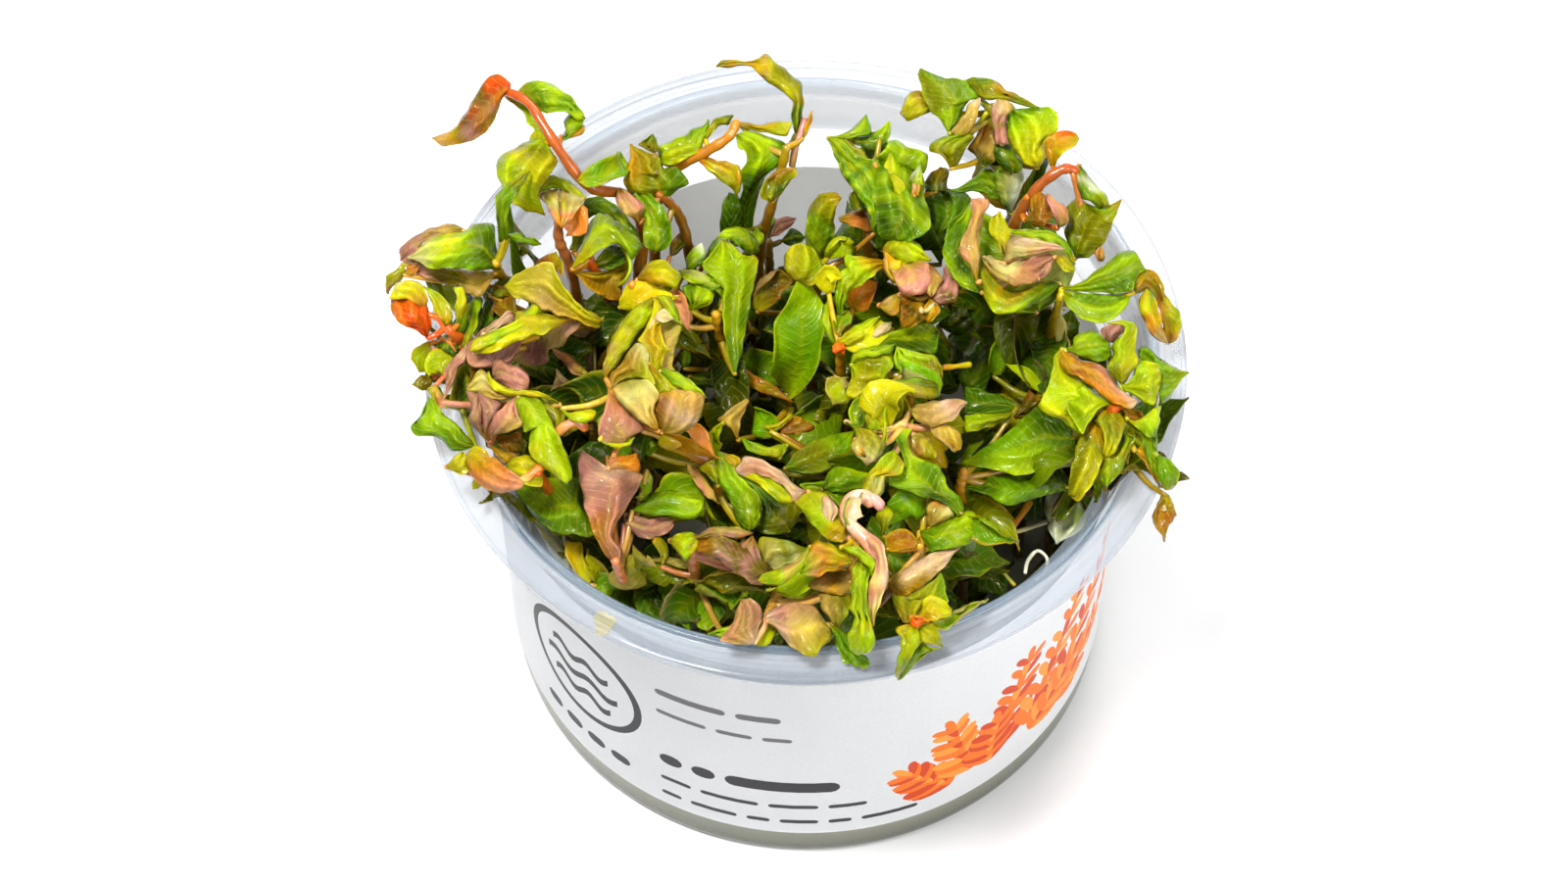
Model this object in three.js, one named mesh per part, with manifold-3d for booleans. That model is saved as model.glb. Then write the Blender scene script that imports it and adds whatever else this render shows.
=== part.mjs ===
import * as THREE from "three";
import { mergeVertices } from "three/addons/utils/BufferGeometryUtils.js";
import Module from "manifold-3d";

const wasm = await Module();
wasm.setup();

// Driving sizes in millimetres. Heights are above the surface that the cup stands on.

const CUP_HEIGHT = 65;
const WALL = 0.8;

const BASE_RADIUS = 43.9;
const BASE_THICKNESS = 1;
const BASE_INNER_RADIUS = 43;
const BASE_CORNER_RADIUS = 44.5;
const BASE_CORNER_HEIGHT = 0.6;
const BASE_EDGE_HEIGHT = 1.8;
const BASE_EDGE_INNER_HEIGHT = 2;
const BODY_RADIUS_BASE = 44.7;
const BODY_RADIUS_TOP = 44.2;

// The body ends in a shoulder that steps out to the collar, and the collar widens up to the bead.

const BODY_TOP_HEIGHT = 55;
const SHOULDER_HEIGHT = 55.6;
const SHOULDER_RISE = 1;
const COLLAR_FOOT_HEIGHT = 56.2;
const COLLAR_INNER_FOOT_HEIGHT = 56.8;
const COLLAR_INNER_RADIUS = 45.8;
const COLLAR_TOP_RADIUS = 47.6;
const COLLAR_TOP_HEIGHT = 62.4;

// The bead is the ring that stands round the mouth: its crown, how far its outer edge and foot stand out
// from it, and its inner face as steps in from the crown and down from the cup's height.

const BEAD_RADIUS = 47.8;
const BEAD_EDGE_OUT = 0.6;
const BEAD_EDGE_DROP = 0.1;
const BEAD_FOOT_OUT = 0.9;
const BEAD_INNER_STEPS = [[0.5, 0.5], [0.6, 2.2], [1, 3.4]];

// The flange falls a little to its rim, where a thin lip turns down.

const FLANGE_RADIUS = 52.5;
const FLANGE_TOP = 64.5;
const FLANGE_RIM_DROP = 0.3;
const FLANGE_THICKNESS = 0.9;
const FLANGE_ROOT_RADIUS = 48.2;
const LIP_DEPTH = 1.7;
const LIP_INNER_RADIUS = 51.7;
const LIP_TIP_INNER_RADIUS = 51.8;
const LIP_TIP_RADIUS = 52.4;

const LABEL_BOTTOM = 6.8;
const LABEL_TOP = 49.1;
const LABEL_THICKNESS = 0.2;
const LABEL_GAP = 0.15;

// The growth medium creeps a little way up the wall.

const MEDIUM_TOP = 13.2;
const MEDIUM_BASE_RADIUS = 42.6;
const MEDIUM_EDGE_HEIGHT = 2.6;
const MEDIUM_CREEP = 0.6;
const MEDIUM_CREEP_WIDTH = 1.1;

// The space left between neighbouring pieces

const GAP = 0.3;

// The sides of a turned piece

const ROUND_STEPS = 32;

// Stems and leaves: END_MARGIN is how far from the stem's top, as a share of its last stretch, leaves may
// start. ROOT_REACH is how far from the axis roots may stand.

const STEM_RADIUS = 0.8;
const STEM_SIDES = 3;
const END_MARGIN = 0.15;
const ROOT_HEIGHT = 6.6;
const ROOT_REACH = 37;
const LEAF_THICKNESS = 0.8;
const STEM_ROOM = STEM_RADIUS + 2 * GAP;
const STALK_HALF_WIDTH = 0.45;
const SHORTEST_STALK = 7;
const WIDEST_PLACE = 0.85;
const FULLNESS = 0.75;
const MERGE_WITHIN = 1e-5;
const JOIN_TOLERANCE = 0.02;

// Where along its midrib a leaf has its sections, by the widest half width that they serve

const STATIONS = [
  [2.5, [0.46]],
  [4, [0.3, 0.7]],
  [9, [0.22, 0.5, 0.78]],
];

// The viewpoint that the plant points are given from: they are seen in a frame of 1600 by 900, and each
// has its height above PLANT_DATUM, a level just above the inside of the cup's base.

const PLANT_DATUM = 1.6;
const VIEW_ACROSS = 800;
const VIEW_DOWN = 450;
const VIEW_LENGTH = 3266;
const VIEW_DISTANCE = 494;
const VIEW_ELEVATION = THREE.MathUtils.degToRad(58.7);
const VIEW_TILT = THREE.MathUtils.degToRad(-2.6);
const VIEW_PAN = THREE.MathUtils.degToRad(-0.71);
const VIEW_ROLL = THREE.MathUtils.degToRad(-0.98);

const eye = new THREE.Vector3(0, -Math.cos(VIEW_ELEVATION), Math.sin(VIEW_ELEVATION));
eye.multiplyScalar(VIEW_DISTANCE);
eye.z += PLANT_DATUM;
const lookDown = -(VIEW_ELEVATION + VIEW_TILT);
const ahead = new THREE.Vector3(
  Math.sin(VIEW_PAN) * Math.cos(lookDown),
  Math.cos(VIEW_PAN) * Math.cos(lookDown),
  Math.sin(lookDown),
);
const right = new THREE.Vector3().crossVectors(ahead, new THREE.Vector3(0, 0, 1)).normalize();
right.applyAxisAngle(ahead, -VIEW_ROLL);
const up = new THREE.Vector3().crossVectors(right, ahead);

// Colours of the shoots

const TINTS = {
  lime: 0xa6c81e, green: 0x6c961a, deep: 0x3c6412, olive: 0x8e8c20, yellow: 0xc4bc32,
  amber: 0xc89a34, orange: 0xd07c2c, ember: 0xdc5a1e, tan: 0xb49a60, blush: 0xe0c0a0,
  salmon: 0xd29a70, rose: 0xb87e70, mauve: 0x92685c,
};

// Each shoot: the height of its crown, its stem from the lowest seen point up, and its leaves. A point is
// across, down and rise above the crown. A leaf is its midrib, half width, roll, fold and, where it is
// widest nearer the tip, the exponent that puts its widest place there.

const SHOOTS = [
  {
    name: "shoot_far_left_arch", height: 82, tint: "olive",
    stem: [[652, 290, -26], [656, 240, -17], [640, 200, -9], [602, 191, -5],
      [573, 157, -1], [556, 130, 1], [538, 104, 2], [508, 90, 1]],
    leaves: [
      [[[508, 92, 1], [480, 116, -1], [440, 143, -5]], 3.0, 25, 50],
      [[[512, 97, 1], [552, 98, -1], [597, 122, -6]], 3.4, 0, 15],
      [[[562, 146, 0], [528, 168, -1], [548, 217, -8]], 3.4, 0, 20],
    ],
  },
  {
    name: "shoot_left_pair", height: 74, tint: "lime",
    stem: [[548, 300, -24], [515, 285, -8], [505, 268, 0]],
    leaves: [
      [[[507, 270, 0], [462, 248, 2], [415, 263, -1]], 3.8, 0, 20],
      [[[500, 252, 0], [440, 238, 0], [408, 262, -4]], 2.0, 0, 10],
      [[[500, 285, -3], [448, 282, -3], [392, 292, -5]], 2.3, 0, 25],
    ],
  },
  {
    name: "shoot_left_bud", height: 72, tint: "ember",
    stem: [[525, 385, -24], [490, 356, -8], [462, 340, -2], [448, 324, 0]],
    leaves: [
      [[[447, 322, 0], [418, 331, -1], [399, 305, -1]], 2.6, 0, 60],
      [[[452, 322, 0], [447, 300, 3], [420, 285, 2]], 2.6, 0, 30],
      [[[440, 325, -1], [405, 305, -1], [408, 284, 0]], 1.8, 0, 20],
      [[[458, 326, 0], [446, 338, -1], [426, 340, -2]], 2.2, 0, 30],
      [[[466, 352, -4], [474, 330, -2], [488, 310, -2]], 2.0, 0, 20],
    ],
  },
  {
    name: "shoot_left_edge", height: 68, tint: "green",
    stem: [[520, 400, -18], [480, 420, -6], [455, 412, 0]],
    leaves: [
      [[[440, 403, 0], [446, 430, -1], [472, 458, -2]], 3.0, 0, 20],
      [[[465, 440, -1], [442, 430, -1], [417, 439, -2]], 2.2, 0, 20],
    ],
  },
  {
    name: "shoot_mauve_rosette", height: 70, tint: "mauve",
    stem: [[545, 430, -22], [520, 420, -6], [505, 405, 0]],
    leaves: [
      [[[512, 404, 0], [488, 402, 1], [489, 378, 3]], 2.4, 0, 30],
      [[[512, 396, 0], [527, 380, 2], [503, 366, 3]], 2.8, 0, 30],
      [[[530, 404, -1], [500, 425, -1], [492, 462, -6]], 4.2, 0, 25],
      [[[536, 446, -4], [515, 454, -5], [498, 466, -7]], 2.6, 0, 20],
      [[[558, 440, -1], [550, 424, 1], [530, 407, 2]], 2.4, 0, 10],
      [[[560, 450, -2], [570, 468, -3], [580, 492, -5]], 2.7, 0, 15],
      [[[575, 430, -3], [555, 415, -2], [535, 408, -1]], 1.8, 0, 10],
      [[[480, 366, 0], [512, 352, 1], [535, 325, 3]], 2.4, 0, 20],
    ],
  },
  {
    name: "shoot_yellow_fold", height: 72, tint: "yellow",
    stem: [[615, 345, -20], [600, 330, -5], [592, 318, 0]],
    leaves: [
      [[[594, 320, 0], [562, 298, 3], [518, 292, 1]], 3.6, 0, 25],
      [[[580, 305, 1], [568, 284, 4], [558, 268, 5]], 1.9, 0, 10],
      [[[566, 316, 1], [528, 338, -1], [480, 357, -5]], 2.0, 0, 40],
      [[[592, 320, -1], [548, 348, -4], [498, 364, -8]], 2.2, 0, 20],
      [[[530, 325, -4], [508, 308, -5], [494, 295, -6]], 2.4, 0, 20],
    ],
  },
  {
    name: "shoot_crinkled", height: 74, tint: "tan",
    stem: [[655, 450, -22], [640, 425, -6], [626, 398, 0]],
    leaves: [
      [[[630, 392, 0], [640, 345, 3], [688, 303, 3]], 3.6, 0, 30],
      [[[628, 396, 0], [655, 368, 4], [682, 352, 4]], 3.2, 0, 25],
      [[[628, 398, 0], [668, 405, 3], [716, 425, -1]], 4.2, 0, 20],
      [[[628, 402, 0], [626, 428, -1], [622, 455, -4]], 3.0, 0, 30],
      [[[662, 362, 3], [692, 385, 2], [718, 415, -1]], 1.8, 0, 20],
      [[[665, 395, 2], [690, 425, 1], [700, 440, -1]], 2.4, 0, 20],
    ],
  },
  {
    name: "shoot_upper_left", height: 70, tint: "lime",
    stem: [[636, 352, -22], [615, 290, -6], [600, 265, 0]],
    leaves: [
      [[[594, 264, 0], [612, 226, 4], [653, 256, 0]], 2.4, 0, 25],
      [[[600, 262, 0], [612, 286, 0], [635, 302, -3]], 3.3, 0, 20],
      [[[590, 270, -2], [565, 262, -2], [545, 268, -4]], 2.0, 0, 10],
    ],
  },
  {
    name: "shoot_pale_stem", height: 75, tint: "salmon",
    stem: [[583, 276, -12], [570, 242, -6], [573, 207, 0]],
    leaves: [
      [[[573, 208, 0], [562, 204, 1], [548, 197, 0]], 2.0, 0, 20],
      [[[573, 208, 0], [587, 200, 1], [599, 210, -1]], 2.4, 0, 20],
      [[[576, 210, 0], [586, 222, -1], [582, 238, -3]], 2.2, 0, 20],
    ],
  },
  {
    name: "shoot_olive_tent", height: 74, tint: "olive",
    stem: [[704, 262, -18], [690, 215, -5], [672, 198, 0]],
    leaves: [
      [[[676, 200, 0], [658, 172, 4], [664, 139, 6]], 2.7, 0, 40],
      [[[672, 196, 0], [652, 190, 1], [636, 180, 2]], 1.9, 0, 10],
      [[[650, 197, 0], [647, 215, -2], [653, 232, -4]], 1.8, 0, 10],
      [[[660, 215, -3], [668, 235, -4], [678, 255, -7]], 2.2, 0, 10],
    ],
  },
  {
    name: "shoot_orange_arch", height: 76, tint: "amber",
    stem: [[668, 225, -20], [682, 176, -5], [720, 155, -1], [745, 138, 1], [752, 124, 2]],
    leaves: [
      [[[748, 122, 1], [735, 112, 3], [712, 130, 1], [672, 158, -4]], 2.0, 0, 20],
      [[[722, 158, -1], [742, 172, -3], [757, 202, -8]], 1.8, 0, 20],
    ],
  },
  {
    name: "shoot_back_drape", height: 72, tint: "green",
    stem: [[775, 260, -22], [790, 200, -8], [803, 150, 0]],
    leaves: [
      [[[800, 145, 0], [768, 180, -4], [750, 243, -14]], 3.0, 0, 20],
      [[[800, 142, 0], [775, 140, 1], [755, 150, 0]], 1.8, 0, 10],
      [[[806, 168, -3], [792, 186, -5], [786, 207, -9]], 2.0, 0, 20],
      [[[812, 140, 1], [818, 95, 8], [795, 72, 11], [762, 65, 10], [729, 66, 8]], 1.8, 0, 20],
    ],
  },
  {
    name: "shoot_back_star", height: 74, tint: "green",
    stem: [[890, 300, -28], [885, 240, -14], [893, 168, 0]],
    leaves: [
      [[[895, 170, 0], [866, 150, 2], [845, 140, 1]], 2.5, 0, 20],
      [[[893, 170, 0], [900, 205, -6], [893, 255, -14]], 4.0, 0, 25],
      [[[897, 168, 0], [925, 158, 1], [948, 156, -1]], 2.4, 0, 20],
      [[[893, 172, 0], [872, 185, -3], [868, 200, -6]], 2.2, 0, 10],
      [[[900, 175, -1], [925, 195, -4], [938, 235, -10]], 3.0, 0, 20],
    ],
  },
  {
    name: "shoot_olive_arch", height: 64, tint: "olive",
    stem: [[830, 330, -16], [838, 270, 0]],
    leaves: [
      [[[836, 266, 0], [833, 215, 8], [857, 203, 8]], 2.4, 0, 20],
      [[[845, 262, 0], [860, 248, 2], [885, 262, 0]], 1.8, 0, 30],
      [[[836, 298, -5], [828, 268, -1], [798, 270, -3]], 2.9, 0, 20],
      [[[772, 318, -8], [786, 290, -5], [806, 287, -5]], 2.4, 0, 20],
    ],
  },
  {
    name: "shoot_tall_leaf", height: 58, tint: "lime",
    stem: [[750, 400, -18], [735, 345, -4], [730, 320, 2]],
    leaves: [
      [[[748, 385, -14], [752, 320, 2], [745, 255, 10]], 3.2, 0, 15],
      [[[700, 332, 0], [704, 296, 6], [738, 282, 8]], 2.6, 0, 30],
      [[[735, 262, 9], [750, 236, 12], [776, 254, 9]], 2.4, 0, 20],
      [[[705, 262, 9], [720, 250, 10], [735, 262, 9]], 2.0, 0, 10],
    ],
  },
  {
    name: "shoot_upper_middle", height: 70, tint: "amber",
    stem: [[660, 350, -20], [650, 310, -6], [645, 290, 0]],
    leaves: [
      [[[645, 285, 0], [665, 268, 2], [696, 296, -2]], 2.9, 0, 20],
    ],
  },
  {
    name: "shoot_dark_left", height: 55, tint: "deep",
    stem: [[600, 470, -14], [605, 440, -3], [605, 428, 0]],
    leaves: [
      [[[606, 428, 0], [575, 402, 2], [538, 380, -1]], 4.4, 0, 15],
      [[[606, 352, 4], [582, 345, 5], [556, 342, 3]], 2.4, 0, 15],
    ],
  },
  {
    name: "shoot_centre_blade", height: 58, tint: "green",
    stem: [[815, 440, -22], [803, 402, -10]],
    leaves: [
      [[[803, 402, -10], [818, 352, 0], [818, 290, 6]], 3.6, 0, 10],
    ],
  },
  {
    name: "shoot_lime_star", height: 66, tint: "lime",
    stem: [[860, 420, -20], [858, 380, -6], [857, 352, 0]],
    leaves: [
      [[[862, 320, 2], [875, 288, 6], [906, 264, 6]], 2.4, 0, 25],
      [[[866, 354, -1], [912, 346, 2], [957, 338, 0]], 2.0, 0, 20],
      [[[870, 315, -1], [880, 300, 1], [892, 290, 1]], 1.8, 0, 20],
    ],
  },
  {
    name: "shoot_orange_crumple", height: 70, tint: "salmon",
    stem: [[930, 380, -24], [932, 320, -8], [930, 290, 0]],
    leaves: [
      [[[930, 288, 0], [922, 262, 4], [928, 240, 5]], 3.2, 0, 20],
      [[[930, 286, 1], [938, 274, 3], [955, 268, 2]], 2.4, 0, 25],
      [[[930, 288, 0], [938, 308, -1], [950, 328, -4]], 3.2, 0, 25],
      [[[926, 296, 0], [910, 306, 0], [896, 312, -2]], 1.8, 0, 20],
      [[[945, 285, 1], [965, 288, 1], [975, 308, -3]], 2.2, 0, 20],
    ],
  },
  {
    name: "shoot_olive_crumple", height: 68, tint: "olive",
    stem: [[930, 460, -24], [928, 410, -8], [926, 378, 0]],
    leaves: [
      [[[928, 372, 0], [895, 385, 1], [867, 362, 0]], 3.8, 0, 25],
      [[[926, 370, 0], [945, 368, 1], [960, 375, -1]], 2.6, 0, 25],
      [[[872, 404, -3], [856, 396, -2], [848, 381, -1]], 1.9, 0, 20],
    ],
  },
  {
    name: "shoot_blush_rosette", height: 70, tint: "blush",
    stem: [[925, 500, -24], [924, 460, -8], [922, 432, 0]],
    leaves: [
      [[[922, 430, 0], [955, 420, 3], [987, 410, 2]], 2.6, 0, 20],
      [[[938, 436, 0], [960, 448, 0], [979, 463, -3]], 2.0, 0, 25],
      [[[902, 436, 0], [904, 406, 3], [932, 400, 2]], 2.2, 0, 20],
      [[[888, 436, 0], [894, 456, 0], [890, 476, -3]], 2.2, 0, 30],
      [[[908, 440, -2], [915, 450, -3], [932, 428, -1]], 1.8, 0, 10],
      [[[928, 445, -3], [942, 455, -3], [955, 470, -6]], 2.2, 0, 10],
      [[[905, 445, -4], [955, 475, -2], [990, 522, -6]], 2.9, 0, 20],
    ],
  },
  {
    name: "shoot_centre_leaf", height: 56, tint: "deep",
    stem: [[860, 540, -20], [885, 500, -6], [884, 470, 0]],
    leaves: [
      [[[884, 468, 0], [832, 450, 2], [768, 488, -4]], 4.8, 0, 15],
      [[[790, 445, -1], [775, 430, 1], [760, 425, 1]], 2.0, 0, 10],
      [[[880, 482, -2], [840, 480, -3], [800, 494, -6]], 2.6, 0, 10],
    ],
  },
  {
    name: "shoot_broad_right", height: 58, tint: "green",
    stem: [[985, 540, -16], [980, 500, -4], [984, 480, 0]],
    leaves: [
      [[[985, 478, 0], [1042, 462, 2], [1098, 442, 0]], 4.8, 0, 12],
      [[[985, 492, -3], [1040, 500, -3], [1092, 484, -5]], 3.0, 0, 10],
      [[[1000, 425, 1], [1022, 412, 2], [1042, 416, 1]], 2.0, 0, 10],
      [[[1006, 420, -2], [990, 402, 0], [975, 386, 0]], 2.0, 0, 10],
    ],
  },
  {
    name: "shoot_dark_right", height: 56, tint: "deep",
    stem: [[1050, 450, -14], [1058, 420, -3], [1062, 402, 0]],
    leaves: [
      [[[1062, 402, 0], [1056, 360, 3], [1062, 312, 5]], 4.2, 0, 15],
      [[[1008, 380, 0], [1004, 355, 3], [1000, 322, 4]], 2.2, 0, 20],
      [[[1014, 384, -1], [1022, 362, 2], [1034, 338, 3]], 1.9, 0, 20],
      [[[1082, 356, 2], [1088, 335, 4], [1096, 316, 4]], 2.2, 0, 10],
    ],
  },
  {
    name: "shoot_right_rosette", height: 72, tint: "lime",
    stem: [[1084, 462, -26], [1108, 438, -8], [1122, 408, 0]],
    leaves: [
      [[[1118, 404, 0], [1092, 406, 1], [1062, 416, -2]], 3.6, 0, 15],
      [[[1098, 384, 2], [1088, 406, 1], [1098, 440, -3]], 3.6, 0, 15],
      [[[1092, 354, 5], [1120, 384, 5], [1162, 417, 1]], 2.3, 0, 30],
      [[[1128, 372, 4], [1112, 355, 6], [1095, 345, 5]], 2.7, 0, 30],
      [[[1126, 414, 0], [1114, 450, -3], [1094, 516, -13]], 3.4, 0, 20],
    ],
  },
  {
    name: "shoot_right_corner", height: 72, tint: "green",
    stem: [[1112, 490, -26], [1134, 462, -10], [1152, 416, 0]],
    leaves: [
      [[[1146, 402, 1], [1148, 370, 4], [1158, 335, 5]], 2.6, 0, 20],
      [[[1152, 404, 1], [1166, 390, 3], [1182, 372, 3]], 2.9, 0, 20],
      [[[1180, 402, -1], [1190, 380, 0], [1214, 380, -3]], 3.4, 0, 15],
      [[[1146, 424, -1], [1138, 460, -5], [1127, 498, -12]], 2.4, 0, 15],
      [[[1153, 430, -1], [1154, 455, -5], [1145, 482, -8]], 1.8, 0, 10],
      [[[1154, 415, 0], [1162, 422, 0], [1170, 434, -2]], 1.8, 0, 10],
      [[[1190, 506, -6], [1197, 486, -4], [1183, 464, -3]], 1.9, 0, 15],
    ],
  },
  {
    name: "shoot_pale_crumple", height: 74, tint: "blush",
    stem: [[1040, 350, -26], [1045, 300, -8], [1040, 268, 0]],
    leaves: [
      [[[1000, 268, 0], [994, 232, 5], [1000, 204, 8]], 2.0, 0, 20],
      [[[1032, 252, 1], [1056, 247, 4], [1087, 254, 2]], 2.4, 0, 30],
      [[[1076, 270, 0], [1040, 278, 1], [1004, 268, 1]], 2.8, 0, 35],
      [[[1062, 300, -2], [1025, 312, -2], [1000, 272, 0]], 2.6, 0, 35],
      [[[966, 258, -1], [975, 285, -2], [1002, 302, -5]], 1.8, 0, 10],
    ],
  },
  {
    name: "shoot_right_broad", height: 72, tint: "lime",
    stem: [[1060, 380, -26], [1075, 330, -8], [1083, 302, 0]],
    leaves: [
      [[[1086, 300, 0], [1124, 292, 3], [1166, 272, 2]], 4.4, 0, 15],
      [[[1158, 292, 2], [1178, 284, 5], [1190, 318, 2], [1192, 351, -2]], 2.5, 0, 20],
    ],
  },
  {
    name: "shoot_top_right_arch", height: 78, tint: "olive",
    stem: [[1025, 260, -16], [1038, 225, -6], [1060, 190, -1], [1088, 172, 1], [1102, 177, 0]],
    leaves: [
      [[[1102, 178, 0], [1114, 196, -1], [1131, 213, -4]], 1.9, 0, 20],
      [[[1092, 250, -8], [1112, 228, -4], [1145, 204, -3]], 3.4, 0, 20],
      [[[1058, 205, -3], [1072, 202, -2], [1090, 228, -6]], 1.8, 0, 20],
      [[[1090, 215, -4], [1100, 205, -2], [1110, 200, -2]], 1.8, 0, 10],
    ],
  },
  {
    name: "shoot_top_cluster", height: 80, tint: "green",
    stem: [[1035, 260, -34], [1030, 200, -18], [1020, 140, -5], [1010, 108, 0]],
    leaves: [
      [[[1010, 108, 0], [985, 92, 2], [938, 74, 0]], 2.8, 0, 20],
      [[[1010, 106, 0], [1030, 97, 1], [1060, 110, -2]], 1.9, 0, 10],
      [[[1005, 105, 0], [970, 112, -1], [960, 135, -4]], 2.4, 0, 20],
      [[[1015, 125, -2], [1005, 146, -4], [990, 155, -5]], 2.5, 0, 20],
      [[[1025, 130, -2], [1055, 137, -1], [1082, 114, 0]], 4.0, 0, 20],
      [[[1030, 150, -4], [1050, 158, -5], [1066, 168, -7]], 2.6, 0, 10],
      [[[960, 112, -2], [940, 106, -2], [920, 118, -4]], 1.9, 0, 10],
      [[[1026, 172, -7], [998, 188, -8], [945, 202, -13]], 2.0, 0, 20],
      [[[985, 146, -4], [966, 150, -5], [946, 162, -8]], 1.8, 0, 10],
    ],
  },
  {
    name: "shoot_front_rosette", height: 70, tint: "lime",
    stem: [[860, 620, -26], [868, 580, -8], [872, 548, 0]],
    leaves: [
      [[[870, 548, 0], [845, 528, 2], [812, 508, 1]], 2.9, 0, 15],
      [[[825, 514, 1], [790, 480, 4], [748, 479, 2]], 1.9, 0, 30],
      [[[830, 518, 0], [800, 502, 1], [756, 486, 0]], 1.9, 0, 10],
      [[[862, 528, 1], [864, 502, 3], [878, 480, 4]], 1.8, 0, 20],
      [[[868, 558, 0], [888, 580, 0], [878, 624, -3], [880, 666, -4]], 2.7, 0, 20],
      [[[870, 568, -2], [845, 568, -1], [818, 587, -3]], 2.6, 0, 25],
      [[[826, 560, -3], [820, 588, -4], [774, 593, -6]], 1.9, 0, 20],
      [[[868, 592, -6], [846, 592, -6], [824, 601, -8]], 2.2, 0, 30],
    ],
  },
  {
    name: "shoot_front_tan", height: 66, tint: "tan",
    stem: [[800, 600, -20], [790, 615, -5], [784, 628, 0]],
    leaves: [
      [[[784, 628, 0], [815, 640, 2], [833, 673, 0]], 4.2, 0, 20],
      [[[770, 648, -1], [762, 632, 1], [762, 611, 2]], 2.7, 0, 20],
      [[[842, 628, 0], [862, 662, 2], [880, 689, 0]], 2.0, 0, 20],
      [[[835, 605, 0], [850, 622, 0], [856, 641, -1]], 2.6, 0, 20],
    ],
  },
  {
    name: "shoot_mauve_front", height: 64, tint: "mauve",
    stem: [[720, 620, -18], [708, 580, -5], [708, 560, 0]],
    leaves: [
      [[[712, 557, 0], [745, 562, 3], [783, 596, -2]], 2.5, 0, 30],
      [[[830, 562, -1], [802, 556, 1], [776, 547, 0]], 2.1, 0, 30],
      [[[712, 556, 0], [700, 552, 1], [682, 546, 0]], 1.9, 0, 30],
      [[[716, 574, -3], [750, 602, -4], [802, 600, -6]], 2.8, 0, 15],
      [[[705, 570, -3], [712, 605, -4], [735, 645, -6]], 4.0, 0, 15],
      [[[700, 575, -3], [670, 590, -4], [650, 628, -8]], 4.4, 0, 15],
    ],
  },
  {
    name: "shoot_green_pair", height: 62, tint: "green",
    stem: [[735, 540, -18], [733, 500, -5], [734, 468, 0]],
    leaves: [
      [[[738, 466, 0], [756, 505, 0], [767, 545, -4]], 2.5, 0, 25],
      [[[666, 516, -4], [692, 504, -3], [722, 526, -6]], 2.3, 0, 10],
      [[[770, 500, -3], [790, 520, -4], [812, 528, -6]], 2.4, 0, 10],
    ],
  },
  {
    name: "shoot_pink_blade", height: 62, tint: "rose",
    stem: [[650, 600, -20], [635, 590, -5], [628, 572, 0]],
    leaves: [
      [[[628, 572, 0], [614, 520, 4], [621, 468, 7]], 4.4, 0, 20, 2.4],
      [[[640, 522, 1], [660, 532, 1], [688, 540, -1]], 2.0, 0, 20],
      [[[605, 540, 0], [570, 514, 3], [528, 499, 2]], 3.9, 0, 15],
      [[[600, 598, -13], [618, 603, -12], [632, 612, -14]], 2.0, 0, 10],
    ],
  },
  {
    name: "shoot_orange_left", height: 70, tint: "orange",
    stem: [[575, 520, -24], [560, 500, -8], [548, 482, 0]],
    leaves: [
      [[[502, 490, 0], [484, 474, 2], [486, 454, 3]], 2.3, 0, 20],
      [[[533, 488, 0], [508, 496, 0], [479, 487, -1]], 2.1, 0, 30],
      [[[555, 482, 0], [536, 470, 2], [517, 478, 1]], 1.8, 0, 10],
    ],
  },
  {
    name: "shoot_front_right", height: 68, tint: "yellow",
    stem: [[905, 580, -26], [922, 602, -8], [935, 634, 0]],
    leaves: [
      [[[936, 634, 0], [938, 608, 2], [962, 588, 2]], 3.7, 0, 20],
      [[[938, 635, 0], [955, 620, 1], [973, 622, -1]], 2.4, 0, 20],
      [[[934, 637, 0], [938, 656, 0], [915, 693, -2]], 3.2, 0, 25],
      [[[940, 640, 0], [955, 655, -1], [935, 680, -3]], 2.0, 0, 10],
      [[[930, 632, 0], [918, 610, 1], [912, 594, 2]], 1.8, 0, 20],
      [[[906, 596, 2], [938, 574, 4], [982, 558, 3]], 1.9, 0, 25],
    ],
  },
  {
    name: "shoot_right_pointed", height: 64, tint: "lime",
    stem: [[958, 590, -18], [942, 575, -5], [938, 556, 0]],
    leaves: [
      [[[936, 560, 0], [965, 550, 2], [1001, 545, 0]], 2.6, 0, 20],
      [[[985, 530, 0], [1010, 542, 1], [1036, 553, -1]], 2.0, 0, 25],
      [[[958, 541, 1], [960, 526, 3], [950, 510, 4]], 1.9, 0, 10],
      [[[945, 508, 0], [925, 515, 1], [908, 535, -1]], 2.4, 0, 10],
    ],
  },
  {
    name: "shoot_back_wall", height: 50, tint: "deep",
    stem: [[790, 330, -20], [785, 270, -5], [784, 246, 0]],
    leaves: [
      [[[760, 252, 0], [782, 234, 3], [800, 226, 3]], 1.8, 0, 10],
      [[[800, 252, 0], [812, 244, 2], [822, 242, 2]], 1.8, 0, 10],
    ],
  },
];

// Placing points

function seenAt(across, down, height) {
  const ray = ahead.clone().multiplyScalar(VIEW_LENGTH);
  ray.addScaledVector(right, across - VIEW_ACROSS);
  ray.addScaledVector(up, VIEW_DOWN - down);
  return eye.clone().addScaledVector(ray, (PLANT_DATUM + height - eye.z) / ray.z);
}

// A point that would meet the cup's wall or flange moves in from the wall or up over the flange.

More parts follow.
